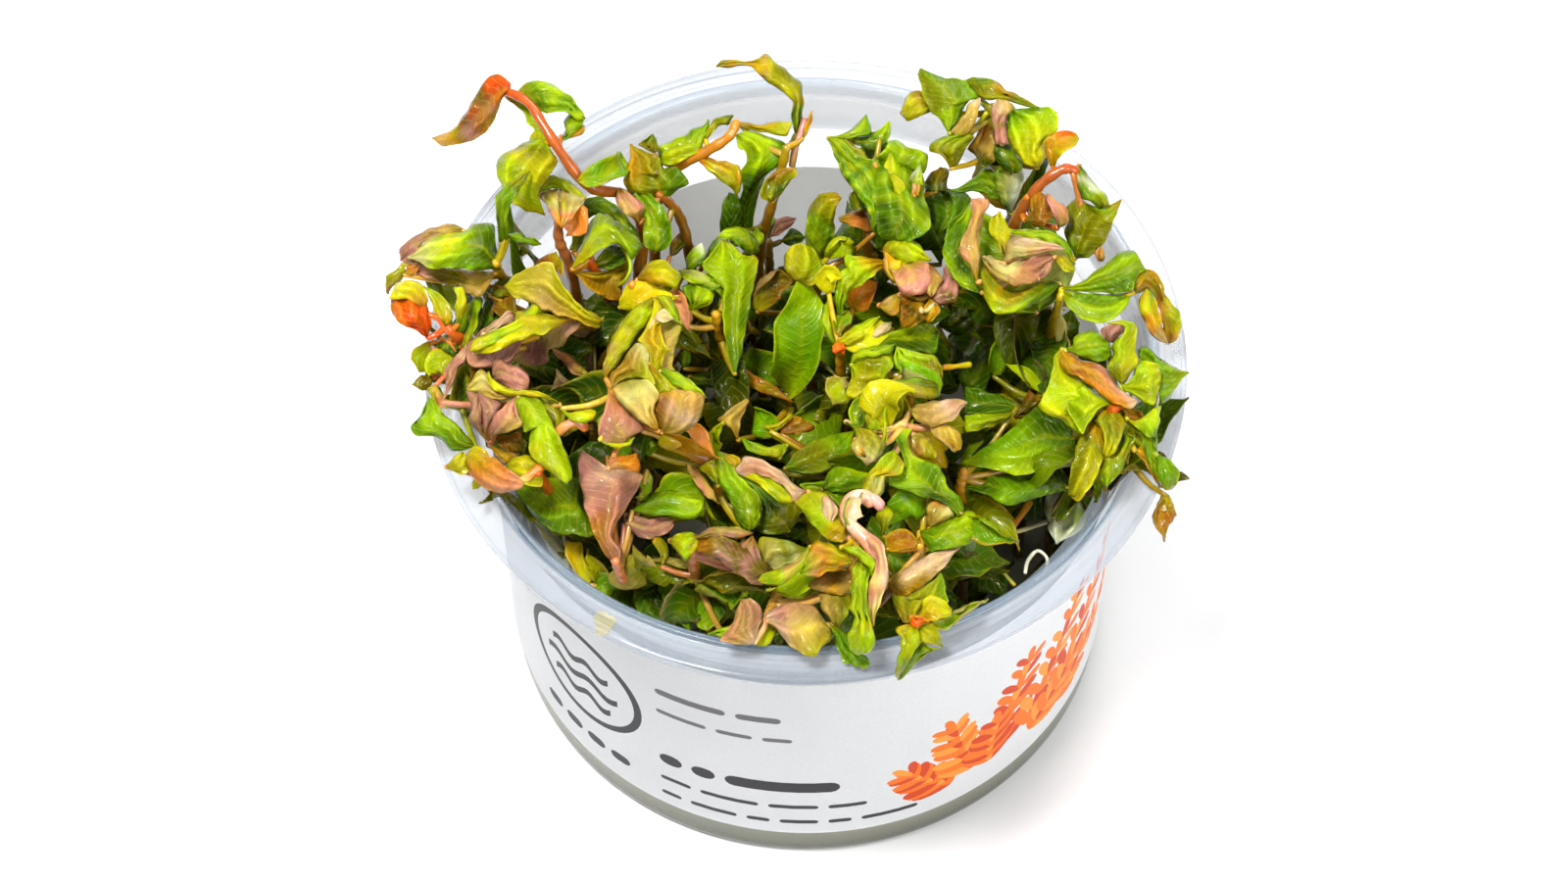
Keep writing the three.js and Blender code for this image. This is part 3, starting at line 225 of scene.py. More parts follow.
SHOOTS = [
 {"name": "shoot_far_left_arch", "height": 82, "tint": "olive",
  "stem": [[652, 290, -26], [656, 240, -17], [640, 200, -9], [602, 191, -5], [573, 157, -1], [556, 130, 1],
   [538, 104, 2], [508, 90, 1]],
  "blades": [
   [[[555, 146], [545, 140], [538, 144], [525, 151], [512, 158], [506, 168], [508, 181], [515, 195],
     [524, 208], [536, 215], [556, 219]],
    [[557, 146], [564, 155], [569, 165], [563, 175], [557, 184], [550, 192], [551, 205], [556, 219]],
    [-0.5, -1.5, -8], 0, 1.2, "lime olive>olive yellow lime>yellow lime yellow>lime olive"],
   [[[520, 92], [521, 85], [517, 79], [510, 76], [500, 77], [493, 85], [486, 96], [478, 110], [463, 131],
     [441, 141]],
    [[520, 92], [515, 97], [511, 103], [508, 115], [501, 127], [495, 136], [480, 144], [463, 148], [450, 149],
     [441, 141]],
    [1.5, 1.5, -5], 0, 1.2, "ember ember>rust ember>rust brown>mauve rust>mauve olive>rust amber"],
   [[[523, 100], [528, 93], [536, 85], [545, 82], [556, 83], [566, 87], [575, 93], [583, 99], [590, 107],
     [595, 115], [597, 121]],
    [[523, 100], [532, 104], [540, 108], [548, 112], [557, 116], [566, 114], [574, 114], [582, 117],
     [589, 123], [597, 121]],
    [-1, 0.5, -1], 0, 1.2, "lime olive>lime green lime>green lime>lime green lime>lime lime"],
   [[[566, 146], [574, 140], [577, 131], [575, 122], [581, 117], [589, 120], [597, 120]],
    [[566, 146], [578, 142], [586, 137], [593, 130], [597, 120]],
    [-2, -1.5, -1.5], 0, 0.7, "green deep>green deep>lime green lime>lime"],
   [[[519, 103], [527, 108], [533, 114], [536, 120], [538, 126], [543, 129], [548, 135], [553, 141]],
    [[524, 101], [536, 106], [544, 112], [549, 119], [552, 127], [556, 135], [553, 141]],
    [-1, -1, -2], 0, 0.5, "olive lime>olive lime>lime olive"],
   [[[573, 139], [584, 137], [590, 133], [596, 128]],
    [[573, 139], [582, 141], [590, 139], [597, 133], [596, 128]],
    [-2, -2, -2], 0, 0.4, "orange amber"],
   [[[541, 150], [540, 143], [543, 136], [550, 129]],
    [[562, 150], [561, 141], [557, 134], [550, 129]],
    [-1.5, -1.5, -2], 0, 0.5, "olive yellow>lime olive"],
  ],
  "leaves": [
   [[[592, 184, -3], [615, 178, -3], [645, 160, -4]], 1.6, 0, 30, "green"],
  ],
 },
 {"name": "shoot_left_pair", "height": 74, "tint": "lime",
  "stem": [[548, 300, -24], [515, 285, -8], [505, 268, 0]],
  "blades": [
   [[[509, 247], [507, 225], [506, 200], [515, 190], [522, 184], [532, 178], [541, 175]],
    [[519, 243], [518, 225], [520, 211], [525, 204], [530, 195], [536, 185], [541, 175]],
    [3, 9, 8], 0, -0.6, "green deep>green green olive>deep olive"],
   [[[510, 270], [506, 252], [505, 238], [504, 229], [494, 227], [482, 230], [472, 236], [460, 238],
     [447, 239], [436, 244], [430, 250], [424, 257], [416, 263]],
    [[510, 276], [497, 275], [483, 276], [468, 274], [455, 273], [444, 275], [435, 272], [427, 267],
     [416, 263]],
    [-1.5, 2, -1], 0, 1.4, "deep green>deep lime>green yellow>lime lime>cream cream"],
   [[[472, 233], [463, 228], [450, 230], [438, 233], [427, 239], [415, 246], [408, 254], [409, 266]],
    [[472, 236], [460, 239], [448, 240], [437, 244], [430, 250], [423, 258], [416, 264], [409, 266]],
    [1, 0.5, -2], 0, 0.4, "tan mauve>tan mauve mauve"],
   [[[412, 280], [414, 274], [420, 270], [426, 268]],
    [[412, 281], [421, 280], [427, 274], [426, 268]],
    [-3.5, -3, -2.5], 0, 0.5, "amber orange salmon"],
   [[[410, 268], [404, 275], [396, 280], [390, 288], [391, 294], [396, 300]],
    [[412, 270], [414, 279], [409, 287], [402, 291], [398, 296], [396, 300]],
    [-3, -4.5, -6], 0, 0.8, "yellow olive olive>tan mauve"],
   [[[519, 239], [525, 237], [535, 241], [545, 243], [552, 249]],
    [[519, 242], [526, 246], [535, 248], [548, 251], [552, 249]],
    [3, 4, 2], 0, 0.4, "green green green"],
   [[[504, 280], [490, 276], [475, 275], [460, 273], [445, 270], [430, 266], [415, 262], [407, 257]],
    [[504, 280], [500, 290], [490, 303], [478, 300], [465, 293], [450, 288], [432, 282], [415, 274],
     [407, 257]],
    [-3, -3.5, -5], 0, 0.8, "amber tan>tan olive>brown olive>brown mauve>mauve brown>mauve rose"],
  ],
  "leaves": [],
 },
 {"name": "shoot_left_bud", "height": 72, "tint": "ember",
  "stem": [[525, 385, -24], [490, 356, -8], [462, 340, -2], [448, 324, 0]],
  "blades": [
   [[[436, 345], [420, 335], [408, 330], [400, 320], [398, 305], [403, 292]],
    [[436, 345], [440, 328], [436, 312], [428, 295], [418, 290], [403, 292]],
    [-2, 1.5, 0.5], -0.5, 1.2, "ember ember>ember orange>ember ember"],
   [[[432, 318], [420, 308], [405, 305], [397, 305], [404, 290]],
    [[432, 318], [437, 305], [430, 290], [415, 285], [404, 290]],
    [0.5, 3, 1.5], 0, 0.8, "orange yellow yellow"],
   [[[455, 333], [445, 320], [438, 303], [432, 292]],
    [[455, 333], [462, 322], [458, 310], [445, 297], [432, 292]],
    [-0.5, 2, 2], 0, -0.5, "amber yellow lime"],
   [[[466, 330], [464, 315], [466, 303], [463, 294]],
    [[470, 330], [475, 315], [476, 302], [472, 293], [463, 294]],
    [-0.5, 1.5, 2], 0, 0.6, "green yellow lime"],
   [[[438, 350], [452, 343], [460, 333], [468, 322], [478, 310], [487, 299]],
    [[464, 364], [473, 350], [482, 335], [489, 319], [493, 306], [487, 299]],
    [-5, -4, -4.5], 0, 0.7, "deep green>green olive>deep green>green"],
  ],
  "leaves": [
   [[[472, 366, -6], [452, 358, -5], [434, 348, -5]], 1.5, 0, 20, "orange"],
   [[[438, 350, -5], [432, 364, -6], [437, 384, -7]], 1.3, 0, 20, "olive"],
   [[[442, 386, -7], [430, 391, -7], [420, 392, -7]], 0.8, 0, 0, "brown"],
   [[[444, 394, -6], [447, 404, -6], [453, 415, -7]], 1.4, 0, 10, "salmon"],
   [[[462, 362, -5], [446, 375, -6], [438, 386, -7]], 1.6, 0, 20, "olive"],
  ],
 },
 {"name": "shoot_left_edge", "height": 68, "tint": "green",
  "stem": [[520, 400, -18], [480, 420, -6], [455, 412, 0]],
  "blades": [
   [[[485, 455], [477, 445], [465, 432], [452, 422], [445, 410], [437, 405]],
    [[485, 455], [472, 460], [460, 460], [452, 450], [442, 445], [425, 445], [419, 436], [430, 422],
     [437, 405]],
    [-1.5, 0.6, -0.5], 0, 0.8, "green lime>green green"],
  ],
  "leaves": [],
 },
 {"name": "shoot_mauve_rosette", "height": 70, "tint": "mauve",
  "stem": [[545, 430, -22], [520, 420, -6], [505, 405, 0]],
  "blades": [
   [[[530, 405], [524, 411], [527, 420], [531, 431], [536, 441], [542, 437], [541, 446], [539, 455],
     [542, 465], [550, 474], [560, 481], [570, 489], [578, 493]],
    [[530, 405], [540, 404], [548, 406], [555, 413], [560, 425], [565, 435], [571, 447], [577, 460],
     [582, 474], [584, 488], [578, 493]],
    [1.8, 1.6, 0.5], 0, 0.8, "lime lime yellow>lime lime"],
   [[[505, 446], [512, 458], [522, 463], [531, 462]],
    [[505, 446], [520, 443], [531, 440], [534, 452], [531, 462]],
    [-4.5, -4, -4.5], 0, 0.5, "rust brown"],
   [[[500, 455], [506, 465], [516, 473]],
    [[500, 455], [514, 460], [528, 466], [516, 473]],
    [-4, -3.6, -4], 0, 0.4, "rust amber"],
   [[[497, 450], [488, 441], [480, 433], [478, 427], [481, 418], [479, 408], [476, 399]],
    [[497, 450], [494, 440], [492, 425], [490, 412], [489, 402], [476, 399]],
    [-3, 0.5, 1], 0, 0.6, "rust mauve>rose mauve rose"],
   [[[499, 451], [494, 440], [492, 425], [490, 412], [488, 401]],
    [[499, 451], [498, 440], [500, 432], [506, 422], [513, 412], [500, 405], [488, 401]],
    [-3, 0.8, 1], 0, 0.8, "rust rose>mauve mauve rose"],
   [[[500, 450], [498, 440], [500, 432], [506, 422], [514, 414], [522, 409], [530, 403]],
    [[500, 450], [505, 444], [515, 442], [525, 438], [534, 433], [530, 425], [527, 418], [525, 411],
     [530, 403]],
    [-3, 1.2, 1.5], 0, 0.8, "rust rose>tan rose>tan salmon>rose rose"],
   [[[504, 388], [502, 377], [503, 368], [510, 366], [520, 372], [530, 374], [537, 379], [540, 386],
     [538, 397]],
    [[504, 388], [512, 393], [520, 396], [530, 398], [538, 397]],
    [0, 2.2, 1], 0, 1.2, "olive>rose rose>mauve rose mauve rose"],
   [[[523, 404], [513, 400], [505, 396], [500, 390], [497, 380], [491, 376], [486, 381], [481, 388],
     [476, 397]],
    [[523, 404], [515, 408], [503, 406], [492, 403], [484, 401], [476, 397]],
    [0, 1.4, 0.5], 0, 0.9, "tan tan cream>tan tan>yellow tan"],
   [[[572, 413], [560, 404], [550, 400], [540, 398], [528, 397], [517, 395], [508, 391], [502, 386],
     [498, 379]],
    [[572, 413], [560, 407], [548, 405], [535, 404], [522, 404], [512, 402], [504, 398], [498, 391],
     [498, 379]],
    [-0.5, 2, 2], 0, 0.6, "yellow yellow lime>amber yellow yellow"],
   [[[478, 393], [480, 380], [477, 372], [473, 367], [483, 362], [495, 358], [506, 354]],
    [[478, 393], [485, 383], [492, 378], [500, 377], [505, 367], [506, 354]],
    [-2, -2, -3], 0, 0.6, "rust rust>brown brown"],
   [[[520, 371], [512, 368], [503, 362], [505, 352], [512, 347], [520, 342], [531, 337]],
    [[520, 371], [524, 362], [530, 352], [537, 345], [541, 334], [531, 337]],
    [-2, -1.5, -2], 0, 0.6, "mauve mauve mauve"],
   [[[452, 411], [454, 400], [455, 385], [454, 376], [462, 366], [472, 356], [480, 351]],
    [[452, 411], [458, 400], [463, 388], [468, 375], [475, 366], [480, 351]],
    [0, 0.5, -1], 0, 0.5, "salmon rose rose blush"],
   [[[458, 410], [461, 395], [466, 380], [474, 370]],
    [[463, 413], [475, 415], [480, 400], [478, 385], [474, 370]],
    [-3, -3, -3], 0, -0.6, "olive deep>deep olive"],
   [[[565, 441], [560, 428], [555, 415], [551, 404]],
    [[565, 441], [576, 430], [577, 420], [568, 411], [551, 404]],
    [-2, -1.5, -1], 0, 0.7, "brown olive olive>deep"],
  ],
  "leaves": [],
 },
 {"name": "shoot_yellow_fold", "height": 72, "tint": "yellow",
  "stem": [[615, 345, -20], [600, 330, -5], [592, 318, 0]],
  "blades": [
   [[[614, 327], [610, 322], [592, 312], [582, 300], [571, 287], [564, 268], [557, 267], [545, 271],
     [525, 281], [515, 292]],
    [[614, 327], [611, 335], [597, 331], [585, 325], [570, 322], [555, 316], [540, 308], [524, 303],
     [515, 292]],
    [-2, 1.8, 0.5], -0.8, 0.8, "olive yellow>amber yellow>tan yellow"],
   [[[585, 325], [565, 322], [545, 318], [527, 318], [524, 330], [510, 335], [492, 342], [481, 352],
     [485, 361]],
    [[585, 325], [570, 332], [557, 340], [537, 345], [520, 352], [502, 360], [485, 361]],
    [-1, 1, -0.5], 0, 0.8, "amber yellow yellow"],
   [[[535, 340], [515, 322], [492, 337], [477, 352]],
    [[535, 340], [530, 356], [520, 370], [495, 376], [477, 372], [477, 352]],
    [-3, -2, -2.5], 0, 0.6, "rose mauve rose"],
   [[[541, 276], [548, 266], [558, 260], [567, 257]],
    [[541, 276], [555, 268], [566, 268], [575, 284], [574, 268], [567, 257]],
    [-3, -2, -2], 0, 0.5, "rust rust olive"],
   [[[492, 341], [500, 333], [510, 325], [517, 317], [526, 321]],
    [[492, 341], [505, 336], [515, 331], [524, 328], [526, 321]],
    [-1.5, -1, -1], 0, 0.4, "blush blush rose"],
   [[[561, 313], [553, 309], [545, 306], [540, 313], [533, 320], [526, 327], [515, 333], [505, 337],
     [495, 342], [484, 346], [480, 358]],
    [[561, 313], [552, 321], [545, 328], [537, 334], [527, 340], [515, 346], [505, 351], [495, 354],
     [488, 357], [480, 358]],
    [-0.5, 1.2, 0.5], 0, 0.9, "yellow lime>lime lime yellow>lime lime>green lime yellow>lime yellow"],
   [[[500, 301], [503, 291], [510, 285], [520, 283]],
    [[500, 301], [512, 304], [523, 299], [520, 283]],
    [-4, -4, -4], 0, 0.5, "olive green>olive"],
   [[[478, 362], [484, 345], [490, 330], [492, 315], [496, 306]],
    [[486, 360], [499, 338], [509, 324], [511, 312], [496, 306]],
    [-6, -6, -6], 0, 0.7, "deep green>deep deep"],
   [[[470, 354], [475, 340], [478, 325], [480, 312], [486, 302]],
    [[479, 354], [485, 336], [489, 320], [491, 308], [486, 302]],
    [-3, -2.5, -3], 0, 0.5, "olive green>lime green"],
  ],
  "leaves": [
   [[[592, 320, -1], [548, 348, -4], [498, 364, -8]], 2.2, 0, 20, "mauve"],
   [[[530, 325, -4], [508, 308, -5], [494, 295, -6]], 2.4, 0, 20, "brown"],
  ],
 },
 {"name": "shoot_crinkled", "height": 74, "tint": "tan",
  "stem": [[655, 450, -22], [640, 425, -6], [626, 398, 0]],
  "blades": [
   [[[612, 449], [621, 455], [633, 458], [643, 454], [647, 446]],
    [[612, 449], [624, 452], [635, 451], [647, 446]],
    [-2, -2.5, -2], 0, 0.4, "lime yellow lime"],
   [[[621, 479], [622, 468], [635, 465], [649, 463]],
    [[621, 479], [635, 479], [652, 482], [653, 472], [649, 463]],
    [-3, -3, -3], 0, 0.8, "salmon orange>rust orange"],
   [[[573, 417], [580, 421], [590, 420], [600, 417], [608, 420]],
    [[573, 417], [577, 424], [586, 430], [598, 432], [606, 428], [608, 420]],
    [-2, -1.5, -2], 0, 0.8, "lime yellow>lime yellow"],
   [[[618, 386], [615, 380], [617, 368], [620, 354], [626, 342], [634, 329], [645, 316], [657, 307],
     [668, 303]],
    [[618, 386], [622, 380], [629, 373], [636, 362], [643, 352], [649, 343], [657, 332], [664, 320],
     [668, 303]],
    [-1, 1, 0], 0, 1.0, "amber tan>olive yellow>olive olive yellow>lime olive"],
   [[[661, 378], [660, 366], [658, 352], [650, 349], [659, 334], [665, 320], [668, 303]],
    [[675, 380], [676, 368], [680, 361], [685, 357], [679, 353], [676, 345], [674, 336], [676, 329],
     [684, 326], [678, 317], [674, 310], [668, 303]],
    [0.5, 0.8, 0.5], 0, 0.7, "yellow olive>yellow yellow>amber yellow>olive yellow"],
   [[[669, 303], [677, 301], [684, 303], [690, 312], [692, 320], [693, 328], [698, 333]],
    [[669, 303], [674, 309], [678, 316], [683, 324], [690, 329], [698, 333]],
    [0.3, 0.6, -0.5], 0, 0.8, "yellow lime>olive green>lime green"],
   [[[667, 327], [671, 319], [678, 314], [683, 320], [687, 326]],
    [[667, 327], [676, 329], [687, 326]],
    [1.2, 1.5, 1], 0, 0.5, "blush cream"],
   [[[624, 398], [623, 388], [624, 380], [631, 375], [637, 366], [643, 356], [650, 350], [661, 352]],
    [[624, 398], [634, 391], [646, 388], [658, 388], [669, 393], [665, 382], [661, 372], [662, 362],
     [661, 352]],
    [0.2, 1.2, 0.8], 0, 0.8, "tan amber>olive tan>yellow cream olive>yellow"],
   [[[672, 440], [662, 435], [652, 429], [644, 421], [636, 414], [629, 407], [625, 398], [631, 393]],
    [[672, 440], [671, 430], [668, 420], [670, 410], [673, 403], [668, 393], [660, 388], [648, 387],
     [638, 389], [631, 393]],
    [0, 1.8, 0.5], 0, 0.8, "rust amber>amber tan cream tan>olive tan"],
   [[[676, 441], [671, 430], [668, 418], [671, 408], [674, 402], [681, 398], [691, 399]],
    [[676, 441], [692, 443], [703, 438], [711, 432], [715, 422], [718, 412], [720, 404], [712, 400],
     [701, 399], [691, 399]],
    [-0.5, 1.5, 0.8], 0, 0.9, "amber rust>tan rust>blush amber>tan tan olive"],
   [[[675, 375], [683, 377], [692, 380], [701, 386], [710, 392], [716, 399], [720, 406]],
    [[675, 382], [681, 388], [690, 394], [698, 398], [706, 400], [713, 401], [720, 406]],
    [1, 1.6, 0.5], 0, 0.5, "green lime>green lime>lime lime yellow"],
   [[[662, 371], [668, 375], [676, 382], [684, 390], [693, 396], [703, 400]],
    [[662, 371], [664, 384], [668, 392], [673, 402], [686, 400], [703, 400]],
    [1, 1.4, 0.8], 0, 0.4, "amber olive yellow>olive tan"],
   [[[641, 452], [632, 456], [620, 453], [612, 447], [610, 440], [612, 430], [617, 418], [620, 405],
     [621, 395]],
    [[641, 452], [642, 444], [650, 442], [658, 437], [650, 429], [640, 420], [631, 410], [625, 402],
     [621, 395]],
    [-3, -1.5, -0.5], 0, 0.8, "rose>brown tan>rose rose>salmon salmon>rust amber>salmon"],
   [[[676, 441], [655, 432], [634, 414], [624, 398], [617, 380], [621, 354], [635, 329], [657, 309],
     [668, 303]],
    [[676, 441], [694, 443], [712, 431], [718, 406], [700, 390], [686, 374], [690, 352], [696, 332],
     [689, 311], [668, 303]],
    [-2.5, -1.5, -2], 0, 1.0, "rust tan amber>tan cream tan>amber tan olive>olive yellow olive>yellow olive"],
  ],
  "strands": [
   [[[568, 442, -4], [578, 434, -3], [588, 431, -3], [598, 437, -4]], 0.62, "amber salmon orange"],
  ],
  "leaves": [
   [[[690, 430, -1], [712, 440, -3], [727, 462, -6]], 0.9, 0, 10, "orange"],
  ],
 },
 {"name": "shoot_upper_left", "height": 70, "tint": "lime",
  "stem": [[636, 352, -22], [615, 290, -6], [600, 265, 0]],
  "blades": [
   [[[590, 215], [600, 202], [612, 200], [622, 205], [632, 212], [642, 224], [650, 236], [653, 245]],
    [[590, 215], [600, 224], [606, 220], [615, 218], [625, 222], [636, 232], [646, 243], [653, 245]],
    [-2, -1, -2], 0, 0.6, "deep green green>lime green"],
   [[[581, 255], [585, 238], [589, 224], [592, 214]],
    [[588, 258], [596, 245], [601, 232], [600, 222], [592, 214]],
    [-3, -2, -2], 0, 0.6, "olive green green"],
   [[[583, 275], [588, 262], [595, 248], [600, 232], [604, 223], [611, 218], [620, 219], [630, 227],
     [640, 234], [650, 242], [656, 250]],
    [[583, 275], [595, 268], [606, 260], [615, 253], [625, 249], [634, 251], [640, 257], [645, 265],
     [651, 258], [656, 250]],
    [0, 2.5, -0.5], 0, 1.4, "yellow lime>yellow lime lime lime>green green"],
   [[[603, 272], [610, 262], [618, 254], [626, 249], [636, 253]],
    [[603, 272], [615, 275], [626, 274], [637, 268], [641, 259], [636, 253]],
    [-2, -2, -3], 0, -0.6, "olive deep>green deep"],
   [[[583, 276], [590, 283], [598, 291], [608, 299], [620, 305], [633, 307]],
    [[583, 276], [600, 277], [615, 276], [630, 270], [641, 260], [642, 275], [637, 285], [635, 297],
     [633, 307]],
    [-1, -3, -5], 0, -0.8, "amber amber>brown amber>olive rust"],
  ],
  "strands": [
   [[[634, 251, -0.5], [641, 261, -1], [643, 275, -2], [638, 286, -3], [631, 291, -4]], 0.28,
    "lime lime olive"],
   [[[655, 250, -1], [652, 262, -3], [650, 276, -5]], 0.6, "rust brown"],
  ],
  "leaves": [],
 },
 {"name": "shoot_pale_stem", "height": 75, "tint": "salmon",
  "stem": [[583, 276, -12], [570, 242, -6], [573, 207, 0]],
  "blades": [
   [[[549, 197], [553, 187], [561, 179], [572, 180], [582, 185], [590, 193], [599, 203]],
    [[549, 197], [560, 193], [572, 193], [582, 198], [590, 204], [599, 203]],
    [-0.5, 0, -0.5], 0, 0.7, "olive yellow>green lime yellow>olive yellow"],
   [[[552, 197], [555, 205], [560, 215], [566, 225], [572, 233]],
    [[569, 193], [570, 203], [571, 213], [572, 224], [572, 233]],
    [-0.2, 0.8, 0], 0, 0.8, "tan yellow>tan cream salmon>cream salmon>tan orange rust>orange"],
   [[[569, 193], [570, 203], [571, 213], [572, 224], [572, 233]],
    [[598, 203], [592, 211], [586, 219], [579, 228], [572, 233]],
    [-0.2, 0.8, 0], 0, 0.8,
    "cream tan yellow>cream salmon orange yellow>salmon tan orange>orange rust>orange"],
  ],
  "leaves": [
   [[[576, 210, 0], [586, 222, -1], [582, 238, -3]], 2.2, 0, 20, "orange"],
  ],
 },
 {"name": "shoot_olive_tent", "height": 74, "tint": "olive",
  "stem": [[704, 262, -18], [690, 215, -5], [672, 198, 0]],
  "blades": [
   [[[665, 204], [652, 200], [641, 194], [636, 186], [637, 177], [642, 165], [643, 147]],
    [[665, 204], [675, 203], [685, 199], [694, 192], [704, 188], [697, 177], [691, 169], [683, 178],
     [676, 172], [672, 160], [660, 155], [643, 147]],
    [-2.5, 1.5, 2.5], 0, 1.2, "green olive>green olive amber>olive amber"],
   [[[668, 157], [658, 152], [651, 147], [666, 137]],
    [[668, 157], [673, 151], [670, 143], [666, 137]],
    [2, 2.6, 3], 0, 0.4, "brown olive green"],
   [[[672, 161], [671, 150], [680, 146], [690, 141], [700, 137], [708, 131], [718, 128], [723, 122]],
    [[672, 161], [677, 169], [686, 170], [694, 165], [703, 160], [713, 155], [717, 149], [719, 142],
     [724, 134], [723, 122]],
    [-1, 1, 1.5], 0, 0.9, "lime lime>yellow green>lime green"],
   [[[668, 257], [659, 252], [656, 240], [657, 226], [655, 213], [650, 203], [646, 192]],
    [[668, 257], [680, 254], [686, 244], [685, 231], [680, 220], [676, 210], [668, 202], [658, 196],
     [646, 192]],
    [-5, -1, 0.5], 0, -0.8, "green lime>green lime>green green"],
   [[[652, 228], [640, 220], [630, 210], [628, 198], [631, 192]],
    [[652, 228], [656, 218], [658, 210], [653, 205], [645, 198], [631, 192]],
    [-1.5, 1, 1], 0, 0.8, "rust tan>salmon rose amber"],
  ],
  "leaves": [],
 },
 {"name": "shoot_orange_arch", "height": 76, "tint": "amber",
  "stem": [[668, 225, -20], [682, 176, -5], [720, 155, -1], [745, 138, 1], [752, 124, 2]],
  "blades": [
   [[[714, 160], [728, 162], [742, 165], [753, 169], [757, 180], [755, 195], [751, 199]],
    [[714, 166], [722, 173], [730, 180], [738, 186], [746, 192], [751, 199]],
    [-2, -2, -5], 0, 0.8, "orange amber>yellow amber>olive olive"],
   [[[719, 142], [722, 132], [728, 122], [738, 118], [748, 118]],
    [[721, 143], [728, 134], [735, 128], [744, 127], [748, 118]],
    [-1, 0.5, 1], 0, 0.6, "yellow olive deep"],
  ],
  "leaves": [],
 },
 {"name": "shoot_back_drape", "height": 72, "tint": "green",
  "stem": [[775, 260, -22], [790, 200, -8], [803, 150, 0]],
  "blades": [
   [[[752, 232], [750, 215], [757, 200], [757, 188], [755, 176], [762, 166], [761, 156], [753, 150],
     [751, 138]],
    [[768, 232], [770, 215], [774, 200], [778, 186], [784, 176], [795, 170], [803, 160], [803, 148],
     [790, 141], [775, 136], [762, 133], [751, 138]],
    [-13, -4, 0], 0, 1.2, "deep deep>green deep>green green lime>green green>lime lime"],
   [[[735, 242], [735, 222], [738, 206], [744, 197]],
    [[755, 242], [756, 225], [756, 208], [751, 198], [744, 197]],
    [-13, -9, -7], 0, 0.6, "deep deep green"],
   [[[755, 124], [765, 126], [778, 127], [790, 124], [800, 124], [808, 125]],
    [[755, 130], [765, 133], [780, 135], [793, 138], [803, 138], [808, 125]],
    [0, 1.2, 1.5], 0, 0.8, "tan amber>olive yellow>olive yellow"],
   [[[788, 206], [777, 203], [776, 195], [781, 184], [790, 176], [803, 171], [812, 172]],
    [[788, 206], [795, 200], [801, 192], [808, 184], [814, 179], [812, 172]],
    [-4, -1.5, -0.5], 0, -0.8, "brown olive>deep rust>olive tan"],
   [[[811, 137], [808, 123], [808, 112], [809, 103], [800, 95], [790, 88], [778, 80], [772, 73], [767, 69],
     [760, 66], [752, 68], [741, 69], [731, 68]],
    [[813, 137], [817, 125], [820, 108], [819, 96], [818, 85], [810, 78], [800, 70], [790, 62], [781, 54],
     [774, 59], [768, 62], [757, 62], [745, 61], [736, 61], [731, 68]],
    [-1, 4, 5], 0, 0.6,
    "green>deep deep>green olive>amber yellow>olive yellow>olive tan>yellow amber amber>olive olive"],
   [[[819, 141], [821, 132], [823, 124], [828, 113]],
    [[819, 141], [825, 134], [829, 124], [828, 113]],
    [0, 1, 2], 0, 0.4, "amber amber amber"],
  ],
  "strands": [
   [[[822, 121, 1], [817, 137, 0], [812, 150, -1], [808, 169, -4]], 0.5, "mauve rose tan"],
  ],
  "leaves": [],
 },
 {"name": "shoot_back_star", "height": 74, "tint": "green",
  "stem": [[890, 300, -28], [885, 240, -14], [893, 168, 0]],
  "blades": [
   [[[899, 252], [897, 230], [899, 210], [903, 190], [902, 170], [908, 156]],
    [[913, 252], [915, 230], [918, 210], [918, 195], [922, 180], [918, 165], [908, 156]],
    [-9, -2, 0.5], 0, 0.8, "green green>lime lime yellow>lime lime"],
   [[[895, 255], [890, 240], [888, 225], [885, 213], [880, 203], [874, 196], [867, 189], [860, 180],
     [857, 172], [853, 160], [848, 149], [844, 140]],
    [[905, 255], [905, 236], [907, 222], [910, 208], [913, 196], [914, 180], [912, 165], [907, 155],
     [900, 155], [894, 161], [889, 164], [882, 155], [872, 148], [862, 142], [853, 140], [844, 140]],
    [-10, -2, 0], 0, 1.6, "green>deep green green>lime green>lime green>olive lime>olive"],
   [[[906, 255], [906, 235], [908, 220], [913, 206], [920, 195], [930, 191]],
    [[962, 255], [955, 240], [950, 225], [947, 212], [943, 200], [940, 193], [930, 191]],
    [-11, -5, -3], 0, 1.2, "deep green green>lime green>olive olive>lime"],
   [[[960, 270], [950, 256], [946, 240], [947, 225], [942, 210], [943, 198], [955, 192]],
    [[960, 270], [966, 252], [967, 238], [976, 228], [986, 218], [991, 205], [986, 197], [970, 193],
     [955, 192]],
    [-14, -9, -8], 0, 1.4, "deep green>deep green>green deep>green deep"],
   [[[944, 196], [944, 185], [950, 176], [960, 171]],
    [[967, 194], [967, 182], [968, 173], [960, 171]],
    [-5, -5, -4], 0, 0.6, "deep brown rust>olive"],
   [[[845, 140], [852, 139], [861, 136], [869, 132], [875, 126], [880, 120], [884, 117]],
    [[845, 140], [856, 141], [868, 142], [880, 139], [889, 136], [888, 128], [884, 117]],
    [0, 0.5, 0.5], 0, 0.6, "lime lime>green lime>green lime>green green"],
   [[[866, 142], [874, 140], [884, 137], [895, 134], [903, 132]],
    [[866, 142], [874, 148], [884, 152], [895, 153], [905, 148], [903, 132]],
    [-0.5, -0.5, 0], 0, 0.5, "deep green>deep green>green"],
   [[[845, 140], [848, 150], [851, 158], [855, 166], [859, 172], [861, 180], [867, 188], [873, 197],
     [881, 208], [888, 220], [890, 234]],
    [[845, 140], [860, 143], [868, 151], [875, 158], [884, 162], [894, 163], [900, 174], [903, 190],
     [904, 210], [901, 225], [890, 234]],
    [0, 0, -3], 0, 1.2, "lime olive>lime green lime>lime green green>green lime green>lime green"],
   [[[890, 140], [894, 134], [899, 131], [903, 126], [907, 124]],
    [[905, 146], [908, 138], [909, 131], [909.5, 126], [907, 124]],
